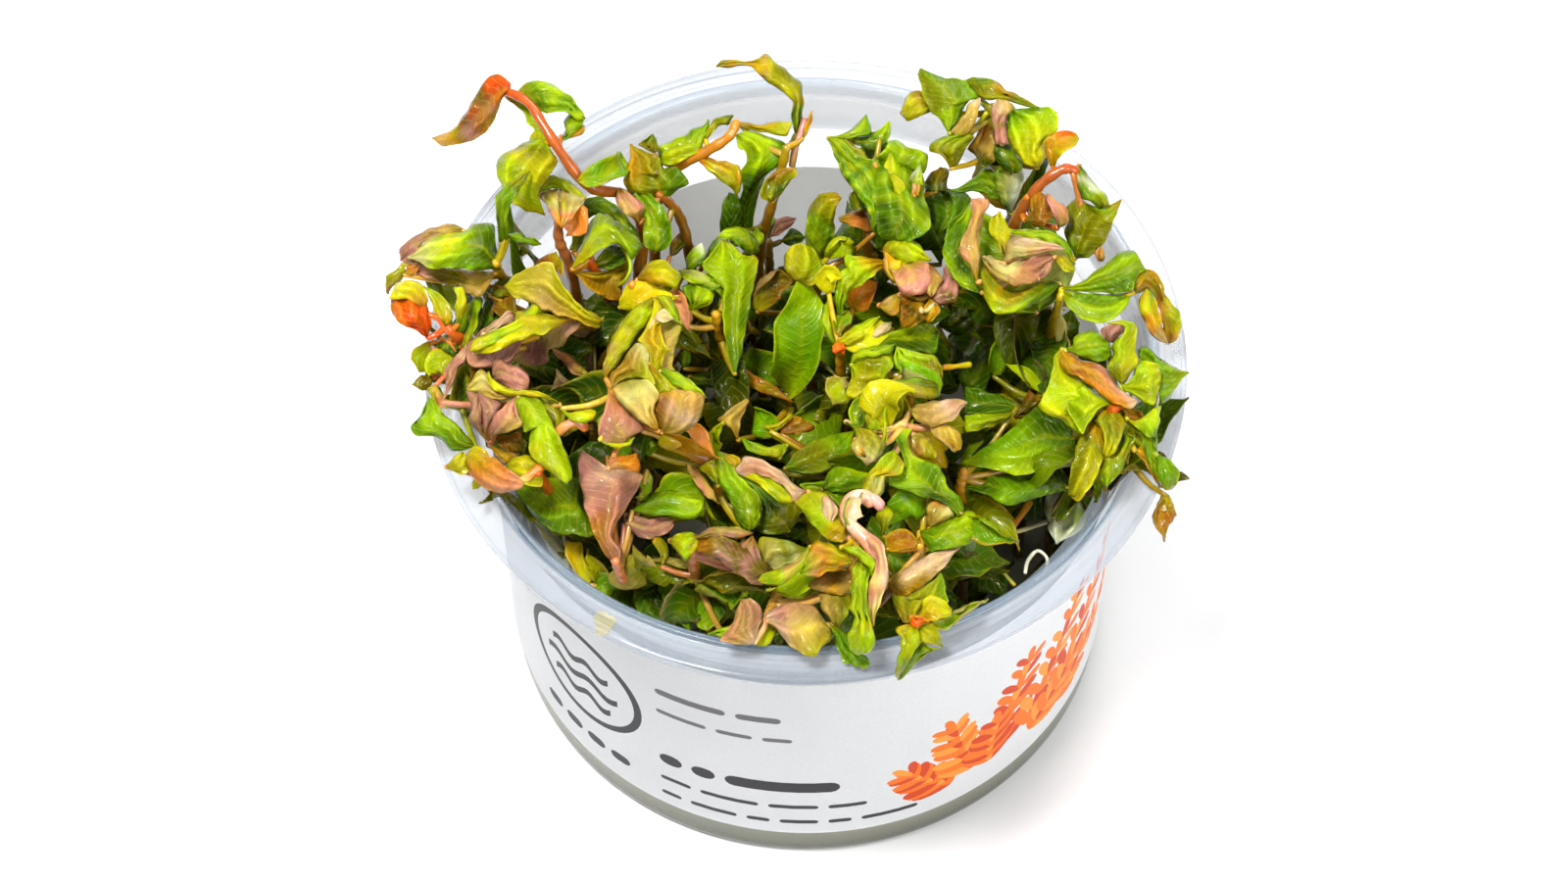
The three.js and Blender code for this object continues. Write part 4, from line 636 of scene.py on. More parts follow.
    [0, 0.5, 0.5], 0, 0.4, "green lime>green lime"],
   [[[893, 164], [899, 156], [904, 149], [908, 143], [914, 143]],
    [[943, 177], [947, 168], [946, 157], [930, 151], [914, 143]],
    [-1, 0.6, -1], 0, 0.9, "green lime>lime green>lime pale>green"],
   [[[893, 162], [889, 180], [890, 200], [893, 220], [897, 240], [903, 246]],
    [[941, 176], [944, 190], [943, 202], [948, 215], [950, 232], [930, 246], [903, 246]],
    [-1, 0, -3], 0, 1.4, "green lime green>green lime deep>green green deep>deep green"],
   [[[908, 178], [910, 187], [914, 197], [920, 200]],
    [[912, 177], [920, 182], [925, 190], [920, 200]],
    [0.5, 1.2, 0.5], 0, 0.5, "lime yellow>yellow lime"],
   [[[927, 186], [931, 177], [936, 170], [940, 166]],
    [[943, 191], [942, 182], [941, 174], [940, 166]],
    [0.5, 1.4, 0.8], 0, 0.5, "lime pale>lime lime"],
   [[[929, 200], [930, 192], [931, 186]],
    [[938, 200], [939, 193], [937, 186], [931, 186]],
    [0.5, 1, 0.6], 0, 0.5, "amber blush>salmon"],
   [[[868, 214], [866, 205], [868, 197], [872, 195]],
    [[884, 214], [881, 206], [877, 200], [872, 195]],
    [-4, -4, -4], 0, 0.5, "deep olive>deep"],
   [[[885, 170], [878, 158], [880, 146], [893, 138]],
    [[885, 170], [905, 168], [912, 150], [893, 138]],
    [-6, -5, -4], 0, 0.8, "deep green>deep brown>green"],
  ],
  "strands": [
   [[[937, 186, -2], [936, 193, -3], [934, 201, -4]], 0.6, "salmon rose"],
  ],
  "leaves": [],
 },
 {"name": "shoot_olive_arch", "height": 64, "tint": "olive",
  "stem": [[830, 330, -16], [838, 270, 0]],
  "blades": [
   [[[830, 264], [822, 250], [822, 235], [824, 218], [828, 207], [836, 199], [847, 195], [855, 197],
     [858, 203]],
    [[846, 264], [850, 250], [852, 235], [851, 225], [852, 215], [855, 208], [858, 203]],
    [-3, 3, 6], 0, 1.2, "lime lime>deep lime>green olive olive amber"],
   [[[892, 238], [888, 226], [883, 213], [872, 215], [856, 222]],
    [[892, 238], [880, 234], [868, 230], [857, 226], [856, 222]],
    [3, 4, 3], 0, 0.6, "rust rust>orange amber"],
   [[[808, 285], [801, 275], [800, 262], [806, 252], [817, 248]],
    [[808, 285], [820, 291], [832, 290], [839, 280], [838, 266], [829, 253], [817, 248]],
    [-1, 1.5, 1], 0, 1.0, "tan yellow yellow>lime yellow"],
  ],
  "leaves": [
   [[[845, 262, 0], [860, 248, 2], [885, 262, 0]], 1.8, 0, 30, "lime"],
   [[[772, 318, -8], [786, 290, -5], [806, 287, -5]], 2.4, 0, 20, "brown"],
  ],
 },
 {"name": "shoot_tall_leaf", "height": 58, "tint": "lime",
  "stem": [[750, 400, -18], [735, 345, -4], [730, 320, 2]],
  "blades": [
   [[[703, 312], [701, 300], [701, 290]],
    [[703, 312], [712, 316], [727, 308], [728, 300], [701, 290]],
    [-1, 0.5, 1], 0, 0.8, "lime yellow"],
   [[[750, 382], [745, 370], [741, 350], [738, 330], [737, 310], [738, 295], [728, 284], [716, 272],
     [722, 263], [730, 254], [735, 245]],
    [[750, 382], [757, 360], [760, 340], [764, 320], [767, 300], [770, 288], [773, 275], [773, 262],
     [765, 262], [757, 259], [750, 252], [743, 246], [735, 245]],
    [-3, 1.5, 4], -0.6, -0.5, "green green>lime lime>green lime>green lime lime>yellow cream"],
   [[[762, 261], [755, 252], [747, 245], [738, 243], [731, 243]],
    [[775, 258], [774, 246], [766, 238], [757, 232], [747, 231], [738, 235], [731, 243]],
    [1, 4.5, 4], 0, 0.8, "green green>lime lime"],
   [[[738, 305], [730, 297], [720, 292], [710, 290], [703, 288], [697, 283], [693, 276]],
    [[741, 302], [736, 290], [728, 283], [718, 278], [706, 275], [693, 276]],
    [0.5, 2.5, 3], 0, 0.8, "green lime lime>cream lime"],
   [[[690, 346], [705, 336], [714, 326], [726, 318], [733, 308], [736, 296], [732, 286]],
    [[690, 350], [706, 346], [720, 338], [732, 325], [740, 314], [743, 300], [741, 289], [732, 286]],
    [-8, -3, 1], 0, 0.6, "deep olive yellow>olive lime"],
   [[[706, 318], [703, 309], [698, 299], [696, 292], [706, 290], [716, 293]],
    [[706, 318], [710, 313], [720, 310], [728, 305], [727, 299], [716, 293]],
    [0, 2, 2], 0, 0.6, "lime green>lime lime"],
   [[[700, 333], [693, 326], [692, 318], [698, 314]],
    [[700, 333], [706, 327], [705, 317], [698, 314]],
    [-1, 0.5, 1], 0, 0.6, "tan blush>salmon tan"],
   [[[698, 376], [692, 367], [698, 357]],
    [[698, 376], [705, 370], [704, 360], [698, 357]],
    [-9, -8, -8], 0, 0.6, "deep green green"],
   [[[703, 385], [714, 380], [728, 381], [740, 386]],
    [[703, 385], [715, 394], [730, 395], [740, 386]],
    [-10, -9, -10], 0, 0.6, "deep green>deep deep"],
  ],
  "strands": [
   [[[756, 378, -8], [770, 388, -9], [793, 400, -10]], 0.6, "rust salmon rust"],
   [[[750, 385, -9], [758, 389, -10], [768, 395, -11]], 0.35, "rust brown"],
  ],
  "leaves": [],
 },
 {"name": "shoot_upper_middle", "height": 70, "tint": "amber",
  "stem": [[660, 350, -20], [650, 310, -6], [645, 290, 0]],
  "blades": [
   [[[651, 283], [656, 274], [664, 267], [673, 265], [682, 268], [689, 274], [695, 283]],
    [[651, 286], [662, 288], [672, 290], [682, 293], [690, 294], [695, 283]],
    [-0.5, 1.2, 0], 0, 1.0, "amber yellow>amber yellow yellow>lime"],
   [[[683, 262], [684, 250], [690, 240], [697, 235]],
    [[683, 262], [692, 258], [700, 250], [697, 235]],
    [-9, -9, -9], 0, 0.5, "brown rust>deep brown"],
   [[[700, 275], [701, 262], [708, 252], [716, 248]],
    [[700, 275], [714, 272], [722, 262], [716, 248]],
    [-10, -9, -9], 0, 0.7, "green lime>green pale"],
   [[[722, 262], [724, 250], [732, 243], [742, 242]],
    [[722, 262], [735, 262], [745, 254], [742, 242]],
    [-12, -11, -11], 0, 0.7, "deep green>lime pale"],
   [[[745, 250], [744, 240], [752, 232], [764, 230]],
    [[745, 250], [758, 252], [768, 244], [764, 230]],
    [-13, -12, -12], 0, 0.7, "green lime>pale lime"],
   [[[765, 250], [766, 238], [772, 232]],
    [[765, 250], [776, 250], [780, 240], [772, 232]],
    [-13, -12, -12], 0, 0.5, "green>lime"],
   [[[705, 300], [712, 285], [725, 276], [740, 272]],
    [[705, 300], [725, 300], [740, 288], [740, 272]],
    [-11, -10, -10], 0, 0.9, "deep green>green lime"],
   [[[735, 285], [740, 272], [752, 264], [766, 262]],
    [[735, 285], [752, 287], [765, 278], [766, 262]],
    [-13, -12, -12], 0, 0.7, "green>lime green"],
  ],
  "leaves": [
   [[[632, 314, -3], [655, 302, -1], [690, 305, -3]], 1.7, 0, 10, "yellow"],
   [[[682, 300, -2], [693, 312, -2], [701, 331, -4]], 1.3, 0, 10, "salmon"],
  ],
 },
 {"name": "shoot_dark_left", "height": 55, "tint": "deep",
  "stem": [[600, 470, -14], [605, 440, -3], [605, 428, 0]],
  "blades": [
   [[[612, 388], [598, 378], [590, 370], [582, 362], [572, 358], [562, 354]],
    [[612, 388], [597, 386], [588, 383], [580, 377], [573, 368], [566, 361], [562, 354]],
    [4, 6, 5], 0, 0.8, "yellow salmon salmon"],
  ],
  "leaves": [
   [[[606, 428, 0], [575, 402, 2], [538, 380, -1]], 4.4, 0, 15, "deep"],
   [[[606, 352, 4], [582, 345, 5], [556, 342, 3]], 2.4, 0, 15, "deep"],
   [[[602, 430, 1], [588, 428, 6], [570, 446, 4]], 1.1, 0, 10, "amber"],
  ],
 },
 {"name": "shoot_centre_blade", "height": 58, "tint": "green",
  "stem": [[815, 440, -22], [803, 402, -10]],
  "blades": [
   [[[753, 449], [745, 437], [731, 428], [743, 420], [750, 413], [762, 407]],
    [[753, 449], [754, 440], [757, 425], [765, 409], [762, 407]],
    [0, 2, 1], 0, 0.8, "amber tan tan"],
   [[[795, 467], [783, 466], [772, 463], [762, 459], [756, 447]],
    [[795, 467], [803, 460], [804, 453], [795, 453], [785, 457], [775, 453], [765, 450], [756, 447]],
    [-0.5, 0, 0], 0, 0.6, "yellow lime green"],
  ],
  "leaves": [
   [[[803, 402, -10], [818, 352, 0], [818, 290, 6]], 3.6, 0, 10, "green"],
   [[[752, 382, -8], [778, 394, -7], [803, 406, -8]], 0.8, 0, 0, "rust"],
  ],
 },
 {"name": "shoot_lime_star", "height": 66, "tint": "lime",
  "stem": [[860, 420, -20], [858, 380, -6], [857, 352, 0]],
  "blades": [
   [[[866, 350], [880, 348], [892, 346], [905, 341], [918, 336], [932, 331], [945, 330], [954, 333],
     [958, 338]],
    [[866, 352], [880, 357], [898, 357], [915, 353], [930, 358], [943, 360], [955, 361], [957, 350],
     [958, 338]],
    [0, 0.6, -0.5], 0.6, -0.8, "lime lime>green lime>deep lime>deep green"],
   [[[856, 350], [862, 340], [870, 333], [882, 328], [892, 324], [898, 323]],
    [[856, 350], [866, 352], [873, 349], [880, 345], [887, 337], [893, 330], [898, 323]],
    [0.4, 1.4, 1], 0, 0.8, "yellow lime>yellow lime"],
   [[[887, 342], [893, 336], [900, 330], [910, 329]],
    [[887, 342], [894, 344], [902, 340], [908, 336], [910, 329]],
    [0.8, 1.2, 0.6], 0, 0.4, "cream blush cream"],
   [[[849, 352], [842, 340], [838, 325], [840, 312], [848, 303]],
    [[853, 350], [850, 338], [846, 325], [848, 312], [853, 303], [848, 303]],
    [-0.5, 1, 1], 0, 0.6, "green lime green"],
   [[[857, 345], [850, 336], [851, 325], [857, 318], [866, 317]],
    [[857, 345], [862, 335], [868, 330], [870, 322], [866, 317]],
    [0, 1, 0.5], 0, -0.6, "amber green lime"],
  ],
  "leaves": [
   [[[846, 300, 3], [843, 280, 6], [858, 284, 5]], 1.4, 0, 30, "yellow"],
   [[[858, 350, 0], [886, 346, 1], [908, 328, 2]], 1.4, 0, 20, "yellow"],
   [[[870, 315, -1], [880, 300, 1], [892, 290, 1]], 1.8, 0, 20, "rust"],
   [[[852, 350, 0], [857, 356, 1], [862, 362, 0]], 0.8, 0, 0, "ember"],
  ],
 },
 {"name": "shoot_orange_crumple", "height": 70, "tint": "salmon",
  "stem": [[930, 380, -24], [932, 320, -8], [930, 290, 0]],
  "blades": [
   [[[904, 266], [893, 264], [882, 262], [870, 261], [864, 258], [861, 263], [865, 272], [857, 277],
     [853, 290], [852, 305], [855, 320]],
    [[905, 272], [895, 278], [888, 284], [880, 290], [870, 296], [865, 302], [862, 310], [860, 318],
     [855, 320]],
    [0, 1.5, -3], 0, 0.8, "amber yellow>yellow lime lime>olive green lime"],
   [[[903, 264], [901, 255], [904, 248], [910, 242], [917, 238], [924, 238], [931, 244], [938, 250],
     [944, 258], [950, 266]],
    [[903, 264], [911, 267], [922, 268], [936, 268], [950, 266]],
    [0.5, 2, 1], 0, 1.0, "amber yellow>olive yellow>lime yellow>olive lime>lime yellow"],
   [[[905, 266], [909, 276], [914, 286], [917, 297], [925, 303]],
    [[925, 265], [938, 266], [948, 270], [952, 280], [949, 290], [943, 299], [925, 303]],
    [1, 2.4, 0.8], 0, 1.1, "amber tan salmon>amber salmon tan>salmon pink rust>salmon rust"],
   [[[943, 281], [942, 291], [944, 299], [950, 303]],
    [[949, 270], [956, 276], [962, 284], [960, 291], [954, 299], [950, 303]],
    [1.6, 2, 0.8], 0, 0.7, "rust tan>rust tan>tan salmon"],
   [[[924, 299], [934, 303], [944, 302], [951, 297]],
    [[924, 302], [936, 307], [946, 306], [951, 297]],
    [0.4, 0.6, 0.4], 0, 0.4, "brown rust>brown brown"],
   [[[950, 300], [955, 292], [960, 286], [963, 279], [962, 274], [966, 271]],
    [[950, 302], [957, 311], [966, 311], [977, 309], [978, 300], [978, 290], [974, 282], [970, 276],
     [966, 271]],
    [0, 1, 1], 0, 0.8, "rose pink>brown rose>brown pink rose>rose rose>rose"],
   [[[896, 312], [901, 307], [907, 302], [914, 300]],
    [[896, 312], [903, 318], [911, 323], [917, 317], [918, 306], [914, 300]],
    [-0.5, 0.3, 0.2], 0, 0.6, "orange>amber tan>amber olive"],
   [[[917, 300], [917, 312], [918, 324], [920, 335]],
    [[946, 302], [948, 310], [948, 318], [944, 326], [934, 332], [920, 335]],
    [-0.5, 0, -2], 0, 0.8, "rust amber rust>amber brown rust>amber rust amber"],
   [[[950, 303], [945, 310], [942, 318], [946, 328]],
    [[950, 303], [957, 310], [960, 316], [956, 322], [950, 329], [946, 328]],
    [-0.5, 0.5, -1], 0, 0.5, "amber>rust amber>amber orange"],
   # A small pale sheet: a painted highlight on the lower orange leaf
   [[[941, 318], [947, 312], [954, 309]],
    [[941, 318], [946, 319], [951, 315], [954, 309]],
    [0.6, 0.8, 0.6], 0, 0.3, "cream pale"],
  ],
  "leaves": [
   [[[925, 285, 1], [908, 275, 2], [903, 262, 3]], 1.6, 0, 10, "amber"],
  ],
 },
 {"name": "shoot_olive_crumple", "height": 68, "tint": "olive",
  "stem": [[930, 460, -24], [928, 410, -8], [926, 378, 0]],
  "blades": [
   [[[910, 391], [900, 395], [890, 398], [880, 402], [870, 407], [864, 405], [866, 395], [869, 385],
     [868, 372]],
    [[910, 391], [905, 384], [906, 377], [914, 371], [913, 362], [905, 357], [897, 358], [885, 359],
     [874, 362], [868, 372]],
    [-0.5, 0.8, 0], 0, 1.2, "olive yellow>lime yellow>olive lime"],
   [[[960, 390], [950, 388], [940, 386], [930, 386], [922, 383], [914, 376], [912, 366], [915, 354]],
    [[960, 390], [962, 382], [960, 372], [955, 364], [945, 361], [935, 360], [925, 356], [915, 354]],
    [-1, 0.8, 0.6], 0, -1.0, "olive rust>olive deep>lime green>lime lime"],
   [[[868, 372], [871, 360], [880, 356], [890, 358], [900, 353], [914, 351]],
    [[868, 372], [876, 366], [888, 364], [898, 363], [908, 360], [914, 351]],
    [0.2, 1.6, 1], 0, 0.8, "lime lime green"],
  ],
  "leaves": [
   [[[958, 402, -2], [932, 386, 1], [900, 394, 0]], 1.7, 0, 10, "green"],
   [[[872, 404, -3], [856, 396, -2], [848, 381, -1]], 1.9, 0, 20, "olive"],
   [[[890, 400, -1], [905, 405, 0], [925, 405, -1]], 1.6, 0, 10, "yellow"],
  ],
 },
 {"name": "shoot_blush_rosette", "height": 70, "tint": "blush",
  "stem": [[925, 500, -24], [924, 460, -8], [922, 432, 0]],
  "blades": [
   [[[929, 418], [935, 413], [945, 411], [955, 409], [965, 408], [975, 407], [983, 408], [987, 411]],
    [[929, 418], [932, 425], [936, 430], [943, 433], [950, 436], [957, 435], [965, 431], [972, 429],
     [977, 425], [981, 417], [987, 411]],
    [0.5, 2.2, 1], 0, 0.8, "tan>yellow tan blush>tan rose>blush blush"],
   [[[965, 434], [956, 435], [950, 438], [953, 446], [960, 451], [967, 456], [973, 461]],
    [[965, 434], [973, 436], [980, 443], [982, 451], [980, 459], [973, 461]],
    [0.5, 1, -0.5], 0, 0.8, "rust tan tan>amber blush"],
   [[[948, 450], [940, 443], [934, 442], [930, 448], [931, 456], [936, 464], [943, 467]],
    [[948, 450], [954, 458], [956, 466], [950, 468], [943, 467]],
    [-1, -0.6, -2], 0, 0.6, "olive tan>olive rust"],
   [[[978, 527], [968, 517], [958, 511], [948, 509], [935, 505], [920, 500], [908, 495], [905, 487],
     [915, 486], [922, 478], [921, 465], [916, 454], [913, 443], [921, 435], [932, 428]],
    [[984, 520], [980, 508], [972, 501], [966, 495], [964, 486], [960, 478], [950, 471], [940, 469],
     [932, 465], [928, 458], [926, 450], [928, 442], [931, 436], [932, 428]],
    [-5, -1.2, -1], 0, 0.8, "green deep>lime deep>green green>lime deep>green green>lime lime"],
   [[[878, 504], [881, 492], [885, 484], [893, 475], [899, 468], [905, 462], [912, 460]],
    [[897, 508], [902, 500], [904, 486], [912, 486], [919, 484], [923, 473], [918, 466], [912, 460]],
    [0, 1.2, 0.5], 0, 0.8, "cream yellow yellow>amber lime lime"],
   [[[862, 430], [870, 438], [873, 446], [869, 453], [870, 461], [877, 468], [884, 475]],
    [[862, 430], [875, 435], [890, 440], [899, 446], [904, 453], [901, 462], [896, 470], [884, 475]],
    [-0.5, 1.5, -1], 0, 1.0, "green olive>yellow tan>olive cream cream>blush"],
   [[[872, 449], [870, 456], [874, 463], [883, 466]],
    [[872, 449], [879, 450], [883, 458], [883, 466]],
    [1.4, 2, 1], 0, -0.4, "rust amber brown"],
   [[[888, 400], [878, 405], [869, 410], [866, 418], [868, 428], [873, 434]],
    [[888, 400], [886, 410], [884, 420], [882, 430], [880, 436], [873, 434]],
    [1.5, 0.8, -0.5], 0, -0.9, "lime green>lime lime>deep lime>deep green"],
   [[[883, 438], [883, 425], [886, 412], [889, 402], [893, 398]],
    [[901, 440], [895, 430], [890, 425], [892, 418], [897, 410], [901, 402], [893, 398]],
    [0, 1.8, 2], 0, 0.8, "lime yellow yellow>olive yellow"],
   [[[903, 437], [902, 425], [905, 413], [910, 406], [918, 403]],
    [[903, 437], [918, 435], [928, 428], [929, 418], [925, 408], [918, 403]],
    [-1, 0.4, 1.5], 0, -0.9, "deep olive yellow>olive yellow"],
   [[[887, 399], [898, 393], [905, 389], [915, 387], [925, 386], [935, 385], [945, 387], [953, 389],
     [957, 395], [958, 405]],
    [[887, 399], [900, 398], [912, 400], [925, 403], [940, 406], [950, 408], [958, 405]],
    [1.8, 2.6, 0.6], 0, 0.8, "blush tan>blush green>yellow green>tan deep>yellow green"],
   [[[898, 452], [902, 440], [901, 425], [905, 412]],
    [[903, 456], [905, 444], [904, 428], [905, 412]],
    [1, 2.2, 2.4], 0, 0.3, "yellow lime lime"],
  ],
  "leaves": [
   [[[902, 436, 0], [904, 406, 3], [932, 400, 2]], 2.2, 0, 20, "yellow"],
  ],
 },
 {"name": "shoot_centre_leaf", "height": 56, "tint": "deep",
  "stem": [[860, 540, -20], [885, 500, -6], [884, 470, 0]],
  "blades": [
   [[[824, 501], [815, 494], [830, 492], [845, 490], [856, 485], [868, 482], [878, 487]],
    [[824, 501], [845, 503], [855, 514], [862, 524], [868, 508], [876, 498], [878, 487]],
    [-1, -0.5, 0], 0, 0.8, "lime green green"],
   [[[786, 440], [778, 435], [790, 433], [800, 428], [808, 423]],
    [[786, 440], [797, 437], [803, 431], [808, 423]],
    [0, 0.5, 1], 0, 0.3, "yellow yellow yellow"],
   [[[797, 443], [797, 437], [804, 430], [810, 424], [817, 427]],
    [[797, 443], [810, 443], [825, 441], [832, 436], [825, 431], [817, 427]],
    [-0.5, 0, 0], 0, 0.8, "rust rust amber"],
   [[[800, 478], [812, 462], [830, 450], [850, 443], [872, 440]],
    [[800, 478], [822, 485], [845, 481], [866, 470], [872, 440]],
    [0, 0.5, 0], 0, 0.9, "deep green>deep olive lime>deep green>green lime"],
   [[[838, 500], [845, 482], [860, 468], [880, 458], [900, 455]],
    [[838, 500], [862, 502], [885, 494], [901, 478], [900, 455]],
    [0, 0.8, 0], 0, 0.9, "deep green>green lime green>green lime>lime"],
  ],
  "leaves": [
   [[[790, 445, -1], [775, 430, 1], [760, 425, 1]], 2.0, 0, 10, "green"],
   [[[730, 462, -1], [725, 445, 2], [738, 432, 3]], 1.4, 0, 20, "lime"],
  ],
 },
 {"name": "shoot_broad_right", "height": 58, "tint": "green",
  "stem": [[985, 540, -16], [980, 500, -4], [984, 480, 0]],
  "blades": [
   [[[1098, 448], [1088, 431], [1075, 425], [1062, 412], [1050, 421], [1040, 430], [1028, 441], [1016, 450],
     [1004, 456], [994, 464], [980, 473]],
    [[1098, 448], [1096, 462], [1088, 468], [1075, 474], [1062, 480], [1050, 484], [1036, 485], [1022, 481],
     [1008, 478], [980, 473]],
    [1, 0.8, -1], 0, 1.2, "deep>green deep>green green green>lime green>lime green lime"],
   [[[1090, 495], [1081, 474], [1066, 479], [1050, 484], [1036, 486], [1020, 483], [1008, 482], [996, 490],
     [985, 497]],
    [[1090, 501], [1075, 503], [1062, 507], [1045, 512], [1028, 516], [1018, 512], [1008, 505], [998, 502],
     [985, 497]],
    [-2, -2, -3], 0, 1.0, "deep deep>green green green green>deep"],
   [[[1037, 416], [1030, 407], [1020, 403], [1010, 401], [1000, 397], [985, 395]],
    [[1037, 416], [1028, 420], [1012, 421], [1000, 422], [985, 421], [985, 395]],
    [1, 1, 0], 0, -0.6, "green green>deep deep"],
   [[[1037, 416], [1028, 420], [1012, 421], [998, 422], [985, 424]],
    [[1037, 416], [1031, 427], [1018, 433], [1005, 437], [985, 441], [985, 424]],
    [0.5, 0.8, 0], 0, 0.6, "olive lime>olive lime"],
  ],
  "strands": [
   [[[962, 375, 4], [975, 374, 3], [990, 372, 2]], 0.4, "amber yellow"],
   [[[1046, 585, -14], [1049, 572, -14], [1059, 562, -14], [1068, 569, -14], [1067, 583, -14],
    [1057, 592, -14]], 0.26, "pale pale"],
  ],
  "leaves": [],
 },
 {"name": "shoot_dark_right", "height": 56, "tint": "deep",
  "stem": [[1050, 450, -14], [1058, 420, -3], [1062, 402, 0]],
  "blades": [
   [[[1036, 425], [1042, 412], [1050, 398]],
    [[1036, 425], [1055, 415], [1063, 402], [1050, 398]],
    [-2, -1, 0], 0, 0.5, "brown brown rust"],
   [[[957, 332], [962, 318], [973, 303], [986, 292]],
    [[957, 332], [978, 343], [996, 330], [1004, 310], [986, 292]],
    [-7, -6, -8], 0, 0.8, "deep deep>deep green>deep"],
   [[[985, 402], [978, 385], [984, 362], [1002, 345]],
    [[985, 402], [1004, 398], [1014, 372], [1002, 345]],
    [-7, -6, -8], 0, 0.8, "deep green>deep deep>deep"],
   [[[952, 402], [948, 382], [956, 360], [972, 343]],
    [[952, 402], [975, 400], [986, 372], [972, 343]],
    [-9, -8, -9], 0, 0.8, "deep deep>deep green>deep"],
  ],
  "leaves": [
   [[[1062, 402, 0], [1056, 360, 3], [1062, 312, 5]], 4.2, 0, 15, "deep"],
   [[[1014, 384, -1], [1022, 362, 2], [1034, 338, 3]], 1.9, 0, 20, "green"],
   [[[1066, 402, 1], [1046, 382, 3], [1030, 373, 3]], 0.9, 0, 10, "lime"],
   [[[1082, 356, 2], [1088, 335, 4], [1096, 316, 4]], 2.2, 0, 10, "deep"],
   [[[1085, 356, 3], [1080, 330, 6], [1078, 308, 7]], 0.7, 0, 0, "cream"],
  ],
 },
 {"name": "shoot_right_rosette", "height": 72, "tint": "lime",
  "stem": [[1084, 462, -26], [1108, 438, -8], [1122, 408, 0]],
  "blades": [
   [[[1083, 356], [1076, 362], [1074, 378], [1070, 392], [1063, 407], [1059, 415], [1067, 422], [1080, 427],
     [1090, 434], [1100, 440]],
    [[1083, 356], [1083, 368], [1090, 378], [1100, 387], [1110, 390], [1118, 400], [1134, 411], [1120, 419],
     [1112, 429], [1104, 443], [1100, 440]],
    [1, 0.5, -3], -0.5, 0.8, "yellow lime yellow>lime lime>yellow"],
   [[[1134, 411], [1120, 403], [1112, 395], [1106, 391], [1100, 396], [1092, 407]],
    [[1134, 411], [1120, 419], [1112, 430], [1104, 443], [1097, 432], [1090, 418], [1092, 407]],
    [1.5, 1.6, 0.3], 0, 0.8, "lime lime lime"],
   [[[1083, 357], [1090, 359], [1098, 362], [1103, 367], [1112, 369], [1122, 372], [1128, 376], [1133, 384],
     [1142, 396], [1150, 402], [1160, 409]],
    [[1083, 357], [1081, 368], [1083, 375], [1090, 381], [1100, 384], [1106, 388], [1113, 394], [1120, 401],
     [1128, 406], [1135, 411], [1143, 415], [1150, 417], [1157, 416], [1160, 409]],
    [1.6, 3, 2.2], 0, 1.0, "amber orange>amber rose>orange rose>amber blush"],
   [[[1087, 356], [1096, 352], [1095, 344], [1103, 340], [1113, 337], [1124, 342], [1131, 350]],
    [[1087, 357], [1095, 360], [1103, 364], [1112, 367], [1120, 369], [1130, 366], [1135, 362], [1133, 356],
     [1131, 350]],
    [1.8, 3, 2], 0, 0.8, "lime lime>green green"],
   [[[1118, 422], [1112, 430], [1105, 440], [1100, 450], [1097, 463], [1094, 475], [1091, 490], [1090, 504]],
    [[1118, 422], [1125, 440], [1126, 462], [1122, 478], [1118, 488], [1110, 500], [1100, 512], [1090, 504]],
    [-0.5, -1.5, -5], 0, 0.8, "amber olive olive>yellow olive"],
   [[[1132, 418], [1121, 421], [1117, 429], [1125, 440], [1127, 450], [1126, 463], [1130, 466]],
    [[1132, 418], [1141, 421], [1147, 428], [1148, 434], [1144, 446], [1141, 456], [1136, 463], [1130, 466]],
    [0.5, 1.2, -1.2], 0, 0.8, "amber olive yellow yellow"],
   [[[1148, 434], [1142, 452], [1136, 464], [1127, 466], [1121, 478], [1124, 490], [1129, 497]],
    [[1148, 434], [1152, 444], [1159, 447], [1154, 457], [1149, 468], [1145, 480], [1137, 489], [1129, 497]],
    [-0.5, -1.5, -3.5], 0, 0.6, "green olive green"],
  ],
  "leaves": [
   [[[1130, 412, 1], [1137, 416, 2], [1144, 414, 1]], 0.8, 0, 0, "ember"],
  ],
 },
 {"name": "shoot_right_corner", "height": 72, "tint": "green",
  "stem": [[1112, 490, -26], [1134, 462, -10], [1152, 416, 0]],
  "blades": [
   [[[1130, 349], [1124, 343], [1123, 338], [1130, 332], [1140, 330]],
    [[1130, 349], [1138, 349], [1143, 342], [1149, 338], [1146, 332], [1140, 330]],
    [2, 2.5, 2.5], 0, 0.8, "brown mauve mauve"],
   [[[1145, 393], [1138, 386], [1130, 375], [1131, 369], [1137, 362], [1133, 355], [1138, 349], [1146, 340],
     [1149, 335], [1141, 331], [1130, 330]],
    [[1145, 393], [1150, 388], [1156, 378], [1161, 370], [1159, 358], [1159, 345], [1160, 334], [1155, 328],
     [1145, 327], [1130, 330]],
    [0.5, 2.6, 2.8], 0, 1.0, "olive lime>yellow lime yellow"],
   [[[1144, 393], [1152, 390], [1157, 382], [1161, 371], [1170, 368], [1180, 371], [1184, 380]],
    [[1144, 394], [1150, 400], [1160, 406], [1170, 411], [1177, 414], [1181, 403], [1184, 390], [1184, 380]],
    [1, 2.2, 1.2], 0, 0.8, "lime lime yellow"],
   [[[1163, 367], [1161, 357], [1169, 353], [1178, 361], [1190, 370], [1203, 377], [1213, 380]],
    [[1163, 367], [1176, 371], [1182, 380], [1183, 395], [1184, 412], [1193, 408], [1199, 397], [1205, 388],
     [1213, 380]],
    [0, 0.5, -0.5], 0, 0.8, "green green olive"],
   [[[1146, 416], [1150, 426], [1155, 431], [1161, 432]],
    [[1146, 416], [1157, 417], [1165, 420], [1168, 427], [1161, 432]],
    [0.3, 0, 0], 0, 0.4, "amber rust brown"],
   [[[1150, 428], [1158, 436], [1165, 441], [1172, 446], [1179, 446]],
